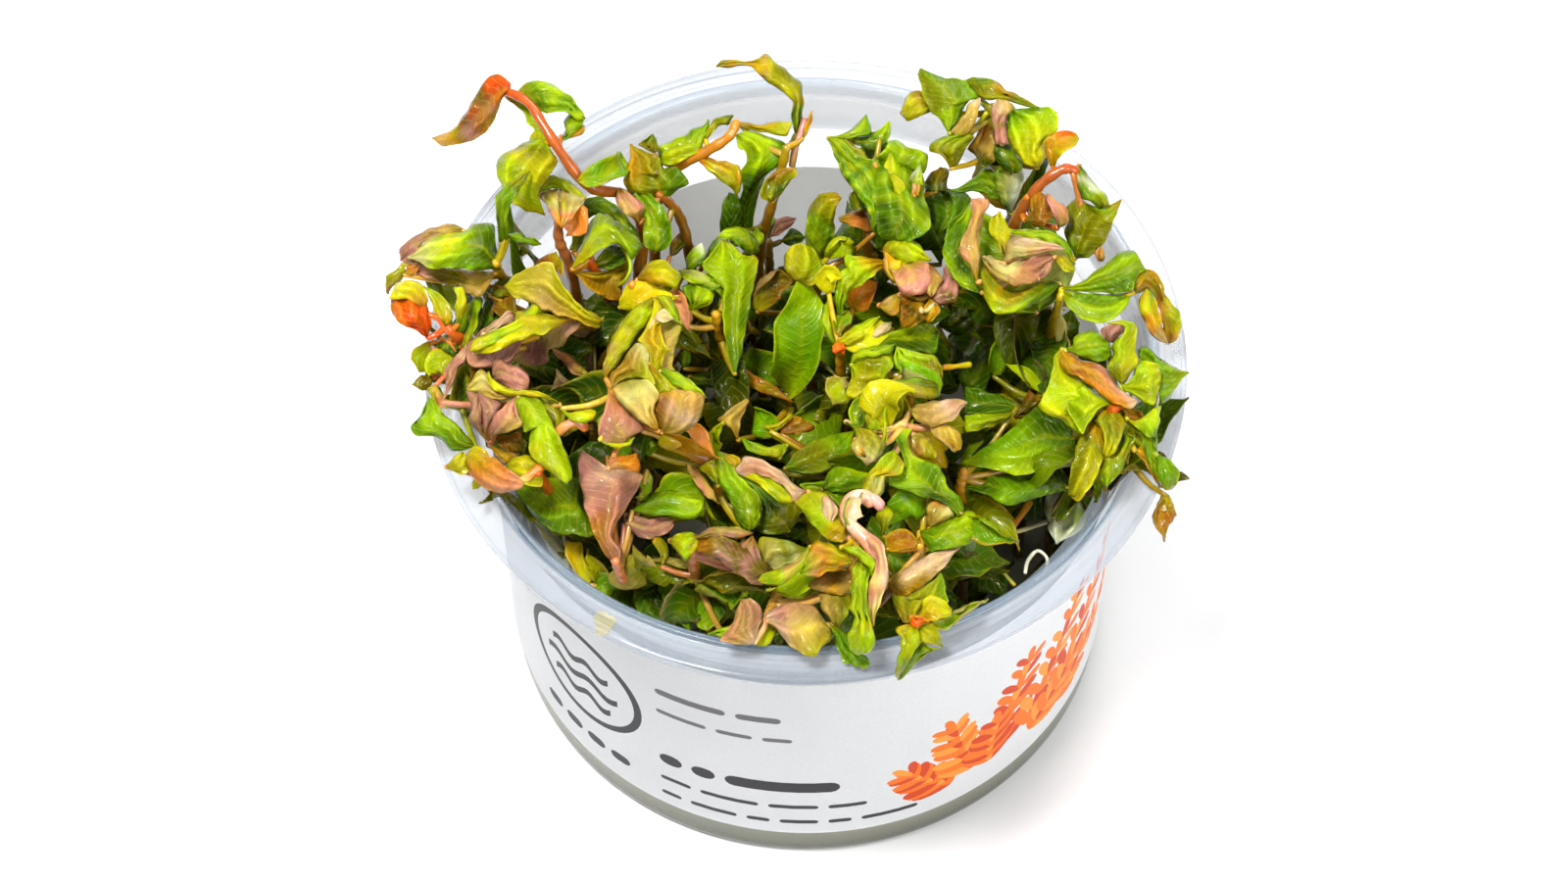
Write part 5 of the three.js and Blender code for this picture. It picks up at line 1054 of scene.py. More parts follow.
    [[1150, 428], [1160, 430], [1168, 425], [1176, 418], [1184, 414], [1183, 430], [1180, 440], [1179, 446]],
    [0, 0.6, -0.5], 0, 0.5, "yellow lime green"],
   [[[1165, 442], [1166, 452], [1168, 462], [1175, 480], [1183, 498]],
    [[1165, 442], [1180, 444], [1181, 460], [1182, 480], [1183, 498]],
    [-1, -2, -5], 0, 0.5, "green green olive"],
   [[[1181, 465], [1181, 480], [1184, 492], [1188, 500], [1195, 499]],
    [[1181, 465], [1190, 467], [1200, 475], [1204, 486], [1201, 494], [1195, 499]],
    [-1.5, -2, -4], 0, 0.8, "green green olive"],
   [[[1158, 460], [1166, 455], [1168, 463], [1177, 480], [1186, 498]],
    [[1158, 460], [1164, 468], [1172, 478], [1180, 492], [1186, 498]],
    [-1.5, -2.5, -5.2], 0, 0.3, "amber rust olive"],
   [[[1088, 502], [1068, 504], [1066, 520], [1070, 540], [1078, 555]],
    [[1088, 502], [1112, 500], [1111, 520], [1104, 540], [1078, 555]],
    [-26, -26, -26], 0, 0.6, "pale>green pale>lime pale"],
  ],
  "strands": [
   [[[1178, 385, 0], [1182, 400, -2], [1178, 420, -6], [1170, 430, -9], [1160, 437, -12]], 0.22,
    "pale pale cream"],
  ],
  "leaves": [
   [[[1146, 424, -1], [1138, 460, -5], [1127, 498, -12]], 2.4, 0, 15, "olive"],
   [[[1153, 430, -1], [1154, 455, -5], [1145, 482, -8]], 1.8, 0, 10, "olive"],
   [[[1190, 506, -6], [1184, 525, -7], [1189, 549, -9]], 1.6, 0, 15, "rust"],
  ],
 },
 {"name": "shoot_pale_crumple", "height": 74, "tint": "blush",
  "stem": [[1040, 350, -26], [1045, 300, -8], [1040, 268, 0]],
  "blades": [
   [[[997, 288], [993, 281], [988, 268], [982, 264], [978, 257], [980, 246], [986, 237], [991, 222],
     [992, 210], [991, 203]],
    [[997, 288], [998, 278], [1000, 262], [1000, 248], [1001, 234], [1003, 221], [1009, 211], [1008, 203],
     [991, 203]],
    [0, 3.2, 3], 0, 1.2, "amber tan salmon>tan tan>salmon salmon"],
   [[[1001, 299], [992, 297], [982, 293], [972, 283], [966, 272], [962, 258], [964, 244], [970, 233],
     [982, 220], [990, 208]],
    [[1001, 299], [996, 288], [990, 276], [984, 268], [978, 258], [979, 246], [985, 236], [990, 222],
     [990, 208]],
    [-2, 0, 1], 0.4, -0.8, "green lime>deep green>deep green lime"],
   [[[1026, 264], [1021, 254], [1016, 245], [1010, 237], [1009, 230], [1011, 222], [1016, 219], [1020, 216]],
    [[1026, 264], [1032, 258], [1031, 248], [1030, 237], [1028, 228], [1024, 221], [1020, 216]],
    [1, 3, 3.5], 0, 0.8, "tan yellow yellow yellow"],
   [[[1027, 250], [1030, 240], [1040, 241], [1055, 244], [1070, 247], [1080, 250], [1086, 255]],
    [[1027, 250], [1025, 265], [1035, 263], [1050, 260], [1065, 257], [1077, 255], [1086, 255]],
    [2, 3, 2.2], 0.4, 0.6, "tan>amber blush>cream blush>salmon blush"],
   [[[1030, 238], [1042, 235], [1055, 235], [1070, 235], [1080, 239], [1088, 247], [1094, 257], [1097, 270]],
    [[1030, 238], [1042, 240], [1055, 243], [1070, 246], [1080, 250], [1087, 257], [1091, 264], [1097, 270]],
    [1.5, 2.2, -1], 0, 0.6, "lime green>lime green yellow"],
   [[[1003, 263], [1010, 260], [1017, 267], [1025, 271], [1035, 268], [1048, 263], [1060, 260], [1071, 257],
     [1075, 263]],
    [[1003, 263], [1004, 270], [1010, 278], [1018, 284], [1026, 289], [1036, 293], [1047, 290], [1058, 287],
     [1066, 281], [1073, 273], [1075, 263]],
    [0.5, 1.6, 0.5], -0.4, 0.8, "cream cream>tan salmon>tan rose>salmon rose"],
   [[[1060, 284], [1062, 276], [1068, 269], [1074, 265]],
    [[1060, 284], [1067, 282], [1073, 275], [1074, 265]],
    [1.2, 2, 1.4], 0, 0.5, "rose mauve rose"],
   [[[1082, 290], [1070, 302], [1057, 310], [1045, 315], [1032, 320], [1020, 321], [1012, 317], [1006, 307],
     [1003, 295], [1001, 280], [1001, 263]],
    [[1082, 290], [1070, 286], [1058, 290], [1045, 296], [1033, 299], [1024, 295], [1015, 285], [1008, 276],
     [1001, 263]],
    [-2, 0.2, -0.6], 0, 1.2, "green green>olive lime>olive lime>amber olive olive"],
   [[[1078, 262], [1084, 260], [1090, 266], [1097, 275]],
    [[1078, 262], [1078, 268], [1086, 276], [1094, 277], [1097, 275]],
    [1, 1.5, 0.5], 0, 0.5, "amber yellow yellow"],
   [[[1058, 319], [1030, 319], [1008, 308], [999, 298], [984, 283], [970, 262], [964, 245], [968, 228],
     [980, 218], [992, 214]],
    [[1058, 319], [1080, 305], [1094, 285], [1097, 270], [1088, 253], [1075, 240], [1058, 234], [1032, 234],
     [1015, 223], [992, 214]],
    [-4, -2.5, -2], 0, -1.2, "green lime>green lime>cream olive>cream green>lime green"],
  ],
  "leaves": [],
 },
 {"name": "shoot_right_broad", "height": 72, "tint": "lime",
  "stem": [[1060, 380, -26], [1075, 330, -8], [1083, 302, 0]],
  "blades": [
   [[[1083, 292], [1093, 292], [1101, 289], [1111, 282], [1121, 275], [1131, 267], [1141, 259], [1150, 255],
     [1157, 256], [1162, 262], [1166, 270], [1169, 276]],
    [[1083, 296], [1097, 297], [1110, 298], [1125, 299], [1140, 299], [1150, 298], [1156, 296], [1158, 287],
     [1161, 280], [1169, 276]],
    [0, 2, 1], 0, 0.9, "yellow lime lime>green lime>green green>lime green>deep"],
   [[[1083, 297], [1100, 298], [1120, 300], [1140, 300], [1155, 299]],
    [[1083, 302], [1091, 315], [1100, 322], [1111, 328], [1122, 330], [1133, 327], [1143, 320], [1151, 311],
     [1155, 299]],
    [0, 1, 0], 0, -0.7, "lime>olive green>lime green>lime lime>green"],
   [[[1157, 298], [1158, 286], [1162, 277], [1170, 274], [1178, 277], [1184, 283], [1187, 292], [1189, 300],
     [1195, 308], [1202, 317], [1206, 328], [1204, 338], [1201, 347], [1192, 351]],
    [[1158, 299], [1164, 298], [1170, 294], [1176, 299], [1181, 309], [1184, 320], [1186, 331], [1187, 341],
     [1188, 347], [1192, 351]],
    [1, 0, -6], 0, -0.6, "olive olive amber>brown amber>rust olive>rust lime>amber tan>amber tan"],
   [[[1170, 294], [1164, 301], [1162, 311], [1165, 322], [1169, 332], [1176, 342], [1184, 349], [1192, 351]],
    [[1170, 294], [1176, 299], [1181, 310], [1184, 324], [1188, 338], [1192, 351]],
    [0.5, 0.5, -5.5], 0, 0.6, "yellow yellow>lime amber>yellow orange>amber tan tan"],
  ],
  "strands": [
   [[[1071, 310, -10], [1078, 332, -16], [1085, 355, -22]], 0.45, "pale cream"],
  ],
  "leaves": [],
 },
 {"name": "shoot_top_right_arch", "height": 78, "tint": "olive",
  "stem": [[1025, 260, -16], [1038, 225, -6], [1060, 190, -1], [1088, 172, 1], [1102, 177, 0]],
  "blades": [
   [[[1098, 264], [1092, 252], [1086, 240], [1089, 228], [1088, 212], [1100, 201], [1110, 208], [1122, 212],
     [1135, 208], [1144, 204]],
    [[1098, 264], [1112, 262], [1122, 252], [1130, 243], [1134, 231], [1139, 220], [1144, 204]],
    [-8, -4, -1], 0, 1.2, "green green>olive olive green>olive olive"],
   [[[1072, 170], [1067, 158], [1066, 148], [1070, 139], [1080, 134], [1092, 133], [1098, 136], [1101, 142]],
    [[1077, 170], [1079, 162], [1086, 156], [1093, 151], [1099, 147], [1101, 142]],
    [-1, 2, 1], 0, -0.9, "amber amber orange>yellow ember>amber olive"],
   [[[1045, 225], [1052, 215], [1051, 205], [1053, 198], [1060, 194], [1064, 199], [1069, 198]],
    [[1045, 225], [1056, 231], [1064, 231], [1070, 226], [1074, 222], [1072, 212], [1072, 204], [1069, 198]],
    [-4, -2, -2], 0, 0.8, "amber>rust amber>brown rust>rust olive>olive"],
   [[[1080, 233], [1076, 224], [1072, 215], [1068, 206], [1069, 199], [1072, 198]],
    [[1080, 233], [1086, 230], [1091, 226], [1090, 216], [1086, 209], [1078, 206], [1073, 200], [1072, 198]],
    [-3, -1, -1], 0, 0.8, "brown>brown rose>tan pink>rust rose>tan"],
   [[[1101, 168], [1099, 180], [1100, 192], [1104, 203], [1112, 205], [1122, 214]],
    [[1101, 168], [1108, 175], [1115, 185], [1123, 193], [1129, 200], [1132, 208], [1122, 214]],
    [0, 0.5, -2], 0, 1.0, "green lime>green pale green>lime lime>olive lime>deep"],
   [[[1120, 264], [1121, 257], [1123, 250]],
    [[1125, 267], [1128, 262], [1126, 255], [1123, 250]],
    [-7, -6, -6], 0, 0.4, "tan orange"],
  ],
  "strands": [
   [[[1050, 200, -2], [1040, 213, -5], [1032, 230, -8]], 0.5, "orange rust"],
  ],
  "leaves": [],
 },
 {"name": "shoot_top_cluster", "height": 80, "tint": "green",
  "stem": [[1035, 260, -34], [1030, 200, -18], [1020, 140, -5], [1010, 108, 0]],
  "blades": [
   [[[950, 108], [946, 98], [938, 92], [928, 94], [922, 105], [919, 116]],
    [[950, 108], [950, 114], [942, 118], [932, 121], [925, 124], [919, 116]],
    [-1, -0.5, -2], 0, 0.8, "olive rust>yellow yellow>olive olive"],
   [[[1058, 171], [1047, 168], [1038, 158], [1031, 147], [1028, 135], [1028, 120], [1030, 112]],
    [[1060, 171], [1068, 160], [1066, 148], [1070, 140], [1079, 134], [1080, 122], [1077, 113], [1068, 109],
     [1050, 110], [1030, 112]],
    [-4, -1, 0], 0, 1.2, "amber yellow yellow>lime lime green green"],
   [[[968, 136], [961, 125], [953, 116], [948, 112], [945, 105], [942, 98], [940, 90], [938, 82], [937, 74],
     [939, 70]],
    [[968, 136], [975, 128], [981, 118], [984, 108], [990, 102], [1000, 99], [991, 89], [985, 82], [975, 80],
     [965, 80], [958, 77], [950, 74], [939, 70]],
    [-1, 0.5, 0.5], 0, 1.0, "lime>green lime>green lime>green olive>green olive>green olive"],
   [[[985, 82], [992, 79], [1003, 79], [1014, 81], [1020, 85], [1026, 92], [1034, 94], [1045, 100],
     [1054, 106], [1060, 110]],
    [[985, 82], [991, 90], [999, 99], [1010, 102], [1022, 101], [1035, 105], [1048, 109], [1060, 110]],
    [0.5, 1.2, 0.3], 0, 0.9, "green>deep green>olive olive rust>olive olive>brown green"],
   [[[1016, 147], [1015, 138], [1013, 128], [1012, 118], [1012, 108], [1018, 101]],
    [[1029, 147], [1028, 138], [1027, 128], [1028, 118], [1034, 112], [1030, 104], [1018, 101]],
    [-2, 0.8, 1.5], 0, 0.9, "pink rose>mauve tan>brown mauve>pink blush>tan tan"],
   [[[969, 136], [978, 124], [984, 116], [987, 108], [993, 103], [1000, 100]],
    [[985, 139], [992, 133], [996, 122], [998, 113], [1001, 107], [1000, 100]],
    [-1, 1, 1.5], 0, 0.7, "tan>olive tan tan blush"],
   [[[970, 172], [965, 163], [957, 156], [948, 154], [949, 147], [953, 143], [962, 140], [972, 137],
     [985, 136]],
    [[970, 172], [976, 167], [980, 160], [984, 153], [989, 147], [994, 139], [985, 136]],
    [-4, -2, -0.5], 0, 0.9, "amber>olive olive lime>olive green>olive olive"],
   [[[1003, 169], [998, 162], [992, 156], [987, 152], [993, 143], [1000, 133], [1006, 124], [1010, 118]],
    [[1003, 169], [1012, 167], [1018, 160], [1016, 150], [1014, 138], [1013, 128], [1010, 118]],
    [-6, -3.5, -1], 0, -0.6, "deep brown rust>tan rust>brown olive"],
   [[[1032, 176], [1024, 172], [1016, 163], [1014, 155], [1015, 147]],
    [[1032, 176], [1040, 176], [1045, 167], [1038, 157], [1030, 147], [1015, 147]],
    [-6, -4, -3], 0, 0.7, "deep deep>green deep"],
   [[[1020, 190], [1016, 178], [1010, 169], [1003, 171], [998, 178], [990, 184], [980, 191], [969, 194]],
    [[1020, 190], [1018, 203], [1010, 201], [1000, 196], [990, 195], [980, 197], [969, 194]],
    [-9, -8, -8], 0, 0.9, "green lime>green green>deep green"],
   [[[1032, 218], [1024, 210], [1018, 200], [1014, 190], [1014, 178], [1020, 171]],
    [[1032, 218], [1036, 208], [1041, 196], [1045, 182], [1043, 172], [1032, 169], [1020, 171]],
    [-12, -8, -5], 0, 0.9, "green green>pale lime>pale green>cream green>lime"],
   [[[1003, 168], [995, 152], [1000, 126], [1006, 106]],
    [[1044, 170], [1044, 150], [1040, 120], [1032, 104], [1006, 106]],
    [-8, -5, -3], 0, 0.8, "deep brown>olive brown>olive green"],
  ],
  "strands": [
   [[[1007, 115, 0], [995, 131, -3], [985, 148, -6], [975, 168, -9]], 0.3, "yellow lime olive"],
  ],
  "leaves": [],
 },
 {"name": "shoot_front_rosette", "height": 70, "tint": "lime",
  "stem": [[860, 620, -26], [868, 580, -8], [872, 548, 0]],
  "blades": [
   [[[824, 501], [817, 499], [808, 492], [798, 481], [788, 475], [775, 468], [765, 465], [758, 466],
     [757, 471], [750, 479]],
    [[824, 501], [811, 511], [804, 503], [798, 495], [790, 490], [780, 486], [770, 483], [760, 485],
     [752, 483], [750, 479]],
    [0.5, 1.5, -0.5], 0, 0.8, "salmon blush blush>salmon blush"],
   [[[812, 511], [804, 503], [798, 495], [790, 490], [780, 486], [770, 483], [760, 484], [752, 482]],
    [[812, 511], [803, 514], [796, 513], [790, 508], [782, 501], [772, 493], [762, 488], [752, 482]],
    [0.4, 1, -0.8], 0, 0.6, "yellow lime yellow yellow"],
   [[[866, 532], [857, 521], [850, 511], [843, 503], [832, 501], [822, 503], [811, 511]],
    [[866, 534], [860, 553], [852, 553], [843, 549], [834, 541], [826, 531], [818, 521], [811, 511]],
    [0.5, 1.6, 0], 0, 1.0, "amber yellow>amber yellow>lime yellow>lime yellow"],
   [[[846, 538], [841, 530], [839, 518], [840, 504]],
    [[846, 538], [851, 530], [855, 520], [850, 511], [840, 504]],
    [1.8, 2.6, 1.6], 0, 0.5, "blush blush salmon"],
   [[[870, 572], [858, 561], [845, 554], [835, 551], [828, 556], [824, 568], [817, 585]],
    [[870, 572], [866, 578], [858, 582], [845, 583], [835, 588], [825, 589], [817, 585]],
    [-0.5, 0.8, -1], 0, 1.0, "yellow yellow>orange yellow>amber orange yellow>salmon lime"],
   [[[825, 557], [815, 572], [803, 576], [793, 581], [783, 584], [776, 587], [774, 593]],
    [[826, 560], [824, 572], [817, 580], [808, 590], [797, 597], [783, 597], [774, 593]],
    [-0.5, 0, -1.5], 0, 0.8, "lime salmon>lime salmon>yellow lime yellow"],
   [[[864, 530], [872, 540], [880, 550], [887, 560], [894, 570], [893, 580], [889, 590], [886, 603],
     [886, 615], [888, 627], [891, 639]],
    [[868, 528], [878, 538], [888, 544], [896, 548], [902, 557], [904, 568], [906, 580], [907, 590],
     [903, 602], [898, 615], [894, 627], [891, 639]],
    [0.8, 2.2, -2], 0, 0.8, "pink salmon>salmon pink>blush salmon>blush tan>cream tan"],
   [[[874, 574], [869, 580], [870, 590], [867, 600], [869, 610], [866, 620], [872, 630], [868, 641],
     [864, 648], [865, 656], [868, 663], [875, 668]],
    [[886, 572], [888, 582], [886, 592], [885, 603], [885, 614], [887, 625], [890, 638], [892, 648],
     [893, 656], [890, 663], [884, 667], [875, 668]],
    [0.4, 1, -3.5], 0, 0.8, "olive lime>green lime lime>yellow lime lime"],
   [[[858, 559], [868, 557], [878, 559], [888, 566], [895, 573], [890, 588]],
    [[858, 559], [866, 564], [876, 570], [884, 577], [887, 584], [890, 588]],
    [1, 2, 1], 0, 0.6, "lime lime lime"],
  ],
  "strands": [
   [[[866, 533, 0], [866, 520, 1], [871, 511, 2], [880, 507, 2.5], [892, 510, 2.5], [899, 517, 2]], 0.7,
    "salmon blush pink"],
   [[[893, 573, 0.5], [890, 560, 1.2], [881, 548, 1.8], [870, 537, 2], [863, 526, 2], [864, 515, 2.2],
    [871, 508, 2.6], [882, 507, 2.6], [890, 513, 2]], 0.9, "salmon salmon blush salmon blush salmon"],
  ],
  "leaves": [
   [[[870, 545, 1], [866, 522, 3], [880, 506, 4]], 1.4, 0, 30, "blush"],
   [[[826, 560, -3], [820, 588, -4], [774, 593, -6]], 1.9, 0, 20, "lime"],
   [[[868, 592, -6], [846, 592, -6], [824, 601, -8]], 2.2, 0, 30, "rust"],
   [[[832, 598, -7], [810, 602, -7], [785, 602, -8]], 1.2, 0, 10, "lime"],
  ],
 },
 {"name": "shoot_front_tan", "height": 66, "tint": "tan",
  "stem": [[800, 600, -20], [790, 615, -5], [784, 628, 0]],
  "blades": [
   [[[868, 582], [860, 583], [850, 584], [840, 584], [832, 590], [825, 598]],
    [[868, 606], [860, 608], [848, 606], [838, 603], [830, 602], [825, 598]],
    [0, 1, 0], 0, 0.6, "tan rust>amber rust>tan brown"],
   [[[835, 605], [838, 618], [842, 628], [850, 636], [856, 640]],
    [[868, 606], [869, 614], [866, 624], [861, 633], [856, 640]],
    [-0.5, 0, -2], 0, 0.8, "tan>olive tan>olive olive"],
   [[[846, 636], [852, 650], [854, 660], [860, 674], [866, 684], [872, 690]],
    [[856, 641], [866, 650], [868, 660], [874, 667], [883, 668], [888, 680], [884, 687], [872, 690]],
    [-2, -1.5, -5.5], 0, 0.8, "olive green green green"],
   [[[770, 656], [765, 658], [750, 657], [734, 653], [741, 645], [748, 634], [752, 622], [757, 612]],
    [[770, 656], [775, 640], [778, 626], [774, 617], [766, 610], [757, 612]],
    [0, 1.2, 0], 0, 0.8, "blush tan>rose salmon>rose tan"],
   [[[783, 634], [780, 628], [790, 620], [800, 616], [815, 615], [828, 617], [836, 625], [843, 635],
     [848, 645]],
    [[783, 634], [792, 641], [798, 650], [808, 660], [820, 668], [830, 671], [838, 661], [846, 654],
     [848, 645]],
    [1, 0.5, -1.5], 0, 1.0, "salmon blush>tan rose>blush tan>tan olive>olive yellow"],
  ],
  "leaves": [
   [[[790, 640, -2], [775, 648, -2], [765, 655, -4]], 1.2, 0, 30, "yellow"],
  ],
 },
 {"name": "shoot_mauve_front", "height": 64, "tint": "mauve",
  "stem": [[720, 620, -18], [708, 580, -5], [708, 560, 0]],
  "blades": [
   [[[794, 586], [784, 577], [776, 568], [768, 563], [758, 556], [748, 551], [736, 547], [722, 545],
     [708, 552]],
    [[794, 586], [778, 597], [768, 596], [756, 588], [745, 580], [734, 573], [722, 567], [712, 563],
     [708, 552]],
    [-1, 2.2, 1], 0, 1.0, "mauve brown>brown mauve>mauve brown olive>mauve rust>brown rust"],
   [[[783, 574], [774, 560], [775, 549], [785, 548], [800, 551], [815, 556], [825, 561]],
    [[783, 574], [790, 582], [800, 578], [812, 574], [820, 568], [825, 561]],
    [-0.5, 1, 0], 0, 1.0, "tan olive>cream olive green>cream olive"],
   [[[768, 569], [757, 563], [752, 558], [758, 552], [768, 547]],
    [[768, 569], [778, 575], [774, 562], [772, 553], [768, 547]],
    [1, 1.8, 1.4], 0, 0.6, "mauve mauve rust"],
   [[[690, 566], [683, 579], [676, 590], [671, 600], [677, 612], [684, 622], [690, 630], [697, 638],
     [703, 643]],
    [[690, 566], [700, 575], [712, 580], [716, 592], [715, 605], [712, 620], [710, 632], [703, 643]],
    [-12, -12, -12], 0, 0.9, "deep green green>deep green deep"],
   [[[671, 595], [660, 602], [648, 603], [647, 615], [652, 627], [660, 632], [675, 637], [690, 643]],
    [[671, 595], [674, 606], [680, 618], [687, 628], [690, 643]],
    [-14, -14, -14], 0, 0.7, "deep green>deep deep"],
   [[[716, 583], [720, 595], [724, 605], [733, 612], [741, 618]],
    [[716, 583], [725, 581], [738, 584], [752, 590], [765, 596], [770, 600], [760, 608], [750, 613],
     [741, 618]],
    [-9, -8.5, -9], 0, 0.9, "green green>deep green>olive green"],
   [[[720, 606], [712, 618], [709, 630], [713, 640], [722, 644]],
    [[720, 606], [732, 616], [741, 619], [738, 629], [730, 637], [722, 644]],
    [-11, -10.5, -11], 0, -0.8, "deep green>deep lime"],
   [[[741, 652], [733, 650], [722, 647]],
    [[741, 652], [745, 646], [745, 639], [735, 641], [722, 647]],
    [-8, -8, -8], 0, 0.3, "green lime green"],
   [[[675, 577], [674, 567], [668, 557], [663, 547]],
    [[675, 580], [682, 568], [681, 556], [675, 549], [663, 547]],
    [-6, -5, -4], 0, 0.5, "brown olive amber"],
   [[[683, 551], [690, 545], [700, 543], [712, 546]],
    [[683, 551], [690, 562], [699, 573], [707, 566], [713, 556], [712, 546]],
    [0.5, 1.5, 1], 0, 0.6, "olive yellow>olive lime brown>olive yellow"],
   [[[706, 552], [718, 541], [735, 537], [752, 538], [768, 544]],
    [[706, 552], [722, 549], [740, 548], [756, 549], [768, 544]],
    [1.5, 2.6, 2], 0, 0.5, "brown rose>brown olive>mauve rose>rust"],
  ],
  "leaves": [],
 },
 {"name": "shoot_green_pair", "height": 62, "tint": "green",
  "stem": [[735, 540, -18], [733, 500, -5], [734, 468, 0]],
  "blades": [
   [[[764, 544], [758, 540], [752, 532], [748, 520], [743, 508], [738, 498], [733, 492], [731, 482],
     [732, 470], [731, 460]],
    [[764, 544], [773, 536], [776, 525], [777, 512], [772, 503], [764, 495], [755, 487], [748, 477],
     [741, 470], [738, 464], [731, 460]],
    [-3, 0.5, 0.8], 0, 0.8, "green deep>lime green>lime green lime"],
   [[[805, 541], [795, 545], [780, 545], [772, 541], [776, 530], [778, 515], [770, 500], [760, 490]],
    [[805, 541], [813, 533], [817, 523], [808, 513], [795, 513], [785, 506], [775, 497], [760, 490]],
    [-5, -3.5, -3], 0, 0.8, "lime>deep deep>olive deep green"],
   [[[733, 496], [724, 487], [713, 478]],
    [[733, 496], [733, 482], [730, 468], [721, 472], [713, 478]],
    [0, 0.5, 0], 0, 0.6, "green olive>yellow yellow"],
   [[[750, 478], [744, 472], [738, 464]],
    [[750, 478], [757, 472], [756, 467], [747, 464], [738, 464]],
    [0.2, 0.5, 0.4], 0, 0.4, "olive amber yellow"],
   [[[647, 456], [655, 463], [665, 464], [672, 458], [673, 452]],
    [[647, 456], [650, 448], [660, 446], [673, 452]],
    [1, 1, 0], 0, -0.6, "green deep>lime green"],
   [[[655, 464], [665, 476], [680, 491], [700, 506], [720, 512]],
    [[655, 464], [675, 463], [690, 475], [705, 492], [720, 512]],
    [-9, -9, -9], 0, 0.8, "deep deep deep"],
  ],
  "strands": [
   [[[674, 449, 2], [690, 456, 2], [705, 463, 1], [722, 469, 0]], 0.85, "yellow amber rust"],
   [[[702, 470, -2], [712, 485, -3], [722, 500, -4], [730, 510, -6]], 0.4, "tan blush tan"],
   [[[655, 440, 4], [667, 444, 3], [677, 449, 2]], 0.3, "tan amber"],
  ],
  "leaves": [
   [[[666, 516, -4], [692, 504, -3], [722, 526, -6]], 2.3, 0, 10, "green"],
   [[[700, 470, -2], [715, 490, -2], [730, 512, -4]], 0.8, 0, 0, "salmon"],
   [[[668, 440, 2], [700, 454, 2], [728, 470, 0]], 0.9, 0, 0, "amber"],
  ],
 },
 {"name": "shoot_pink_blade", "height": 62, "tint": "rose",
  "stem": [[650, 600, -20], [635, 590, -5], [628, 572, 0]],
  "blades": [
   [[[625, 573], [617, 566], [612, 557], [606, 545], [601, 532], [597, 518], [595, 505], [592, 492],
     [590, 480], [591, 468], [594, 459]],
    [[625, 573], [634, 572], [635, 563], [631, 556], [625, 549], [627, 538], [633, 527], [640, 518],
     [646, 507], [652, 495], [656, 484], [640, 479], [628, 478], [620, 477], [612, 471], [602, 465],
     [594, 459]],
    [-1, 2, 1.2], 0, 1.0, "amber rust>salmon rose>mauve rose>rose mauve>blush rose>blush mauve"],
   [[[592, 487], [585, 487], [575, 492], [568, 487], [556, 488], [553, 497], [545, 497], [535, 494],
     [527, 501]],
    [[592, 487], [594, 500], [597, 515], [602, 530], [607, 543], [600, 549], [590, 545], [575, 545],
     [562, 541], [552, 533], [545, 527], [537, 516], [527, 501]],
    [-1.5, 0, -2], 0, 0.8, "green lime>green green"],
   [[[620, 466], [635, 465], [650, 463]],
    [[620, 466], [623, 477], [635, 479], [652, 481], [650, 463]],
    [-0.5, 0.5, 0], 0, 0.8, "amber tan>blush amber"],
   [[[637, 535], [637, 524], [647, 525], [660, 530], [675, 527], [687, 530]],
    [[637, 535], [650, 547], [662, 550], [675, 547], [687, 538], [687, 530]],
    [-2, -1.5, -2], 0, 0.8, "rose mauve rose"],
   [[[645, 521], [655, 512], [665, 504], [680, 500], [695, 502], [717, 512]],
    [[645, 521], [662, 526], [685, 526], [702, 531], [715, 525], [717, 512]],
    [-1, 0, -0.5], 0, 0.8, "green green lime"],
  ],
  "leaves": [
   [[[602, 597, -12], [590, 575, -9], [587, 551, -6]], 1.6, 0, 20, "yellow"],
   [[[618, 590, -12], [608, 580, -10], [600, 565, -9]], 1.4, 0, 20, "olive"],
   [[[600, 598, -13], [618, 603, -12], [632, 612, -14]], 2.0, 0, 10, "green"],
   [[[660, 480, 0], [658, 500, -1], [640, 516, 0]], 0.9, 0, 10, "green"],
  ],
 },
 {"name": "shoot_orange_left", "height": 70, "tint": "orange",
  "stem": [[575, 520, -24], [560, 500, -8], [548, 482, 0]],
  "blades": [
   [[[478, 462], [484, 455], [490, 455], [496, 460], [500, 467], [503, 465], [510, 470], [514, 477],
     [523, 481], [530, 487], [535, 493]],
    [[478, 462], [475, 472], [480, 485], [490, 495], [500, 501], [512, 503], [525, 500], [532, 498],
     [535, 493]],
    [1, 1.8, 0.5], -0.8, 1.2, "yellow>amber amber>orange orange>salmon salmon"],
   [[[455, 476], [463, 466], [472, 461]],
    [[455, 476], [467, 484], [478, 482], [480, 470], [472, 461]],
    [-0.5, 0.5, 0], 0, 0.8, "yellow yellow"],
   [[[554, 482], [550, 472], [543, 467], [535, 464], [525, 467], [516, 475]],
    [[554, 482], [553, 496], [540, 496], [530, 490], [520, 483], [516, 475]],
    [-1.5, -0.5, -1.5], 0, 0.6, "yellow yellow olive"],
   [[[536, 523], [548, 540], [560, 560], [568, 582]],
    [[545, 520], [562, 538], [577, 558], [582, 580], [568, 582]],
    [-20, -20, -20], 0, 0.6, "pale cream>pale pale"],
  ],
  "strands": [
   [[[533, 491, -1], [543, 483, 0], [553, 475, 0]], 0.6, "cream orange orange"],
  ],
  "leaves": [
   [[[492, 490, -1], [487, 493, -2], [484, 499, -3]], 0.7, 0, 0, "olive"],
  ],
 },
 {"name": "shoot_front_right", "height": 68, "tint": "yellow",
  "stem": [[905, 580, -26], [922, 602, -8], [935, 634, 0]],
  "blades": [
   [[[930, 634], [922, 636], [917, 626], [912, 615], [910, 607], [918, 610], [935, 604], [950, 594],
     [960, 585]],
    [[930, 634], [940, 628], [955, 620], [967, 614], [965, 602], [964, 592], [960, 585]],
    [0, -0.5, -1], 0, 0.8, "amber olive>yellow olive>green green"],
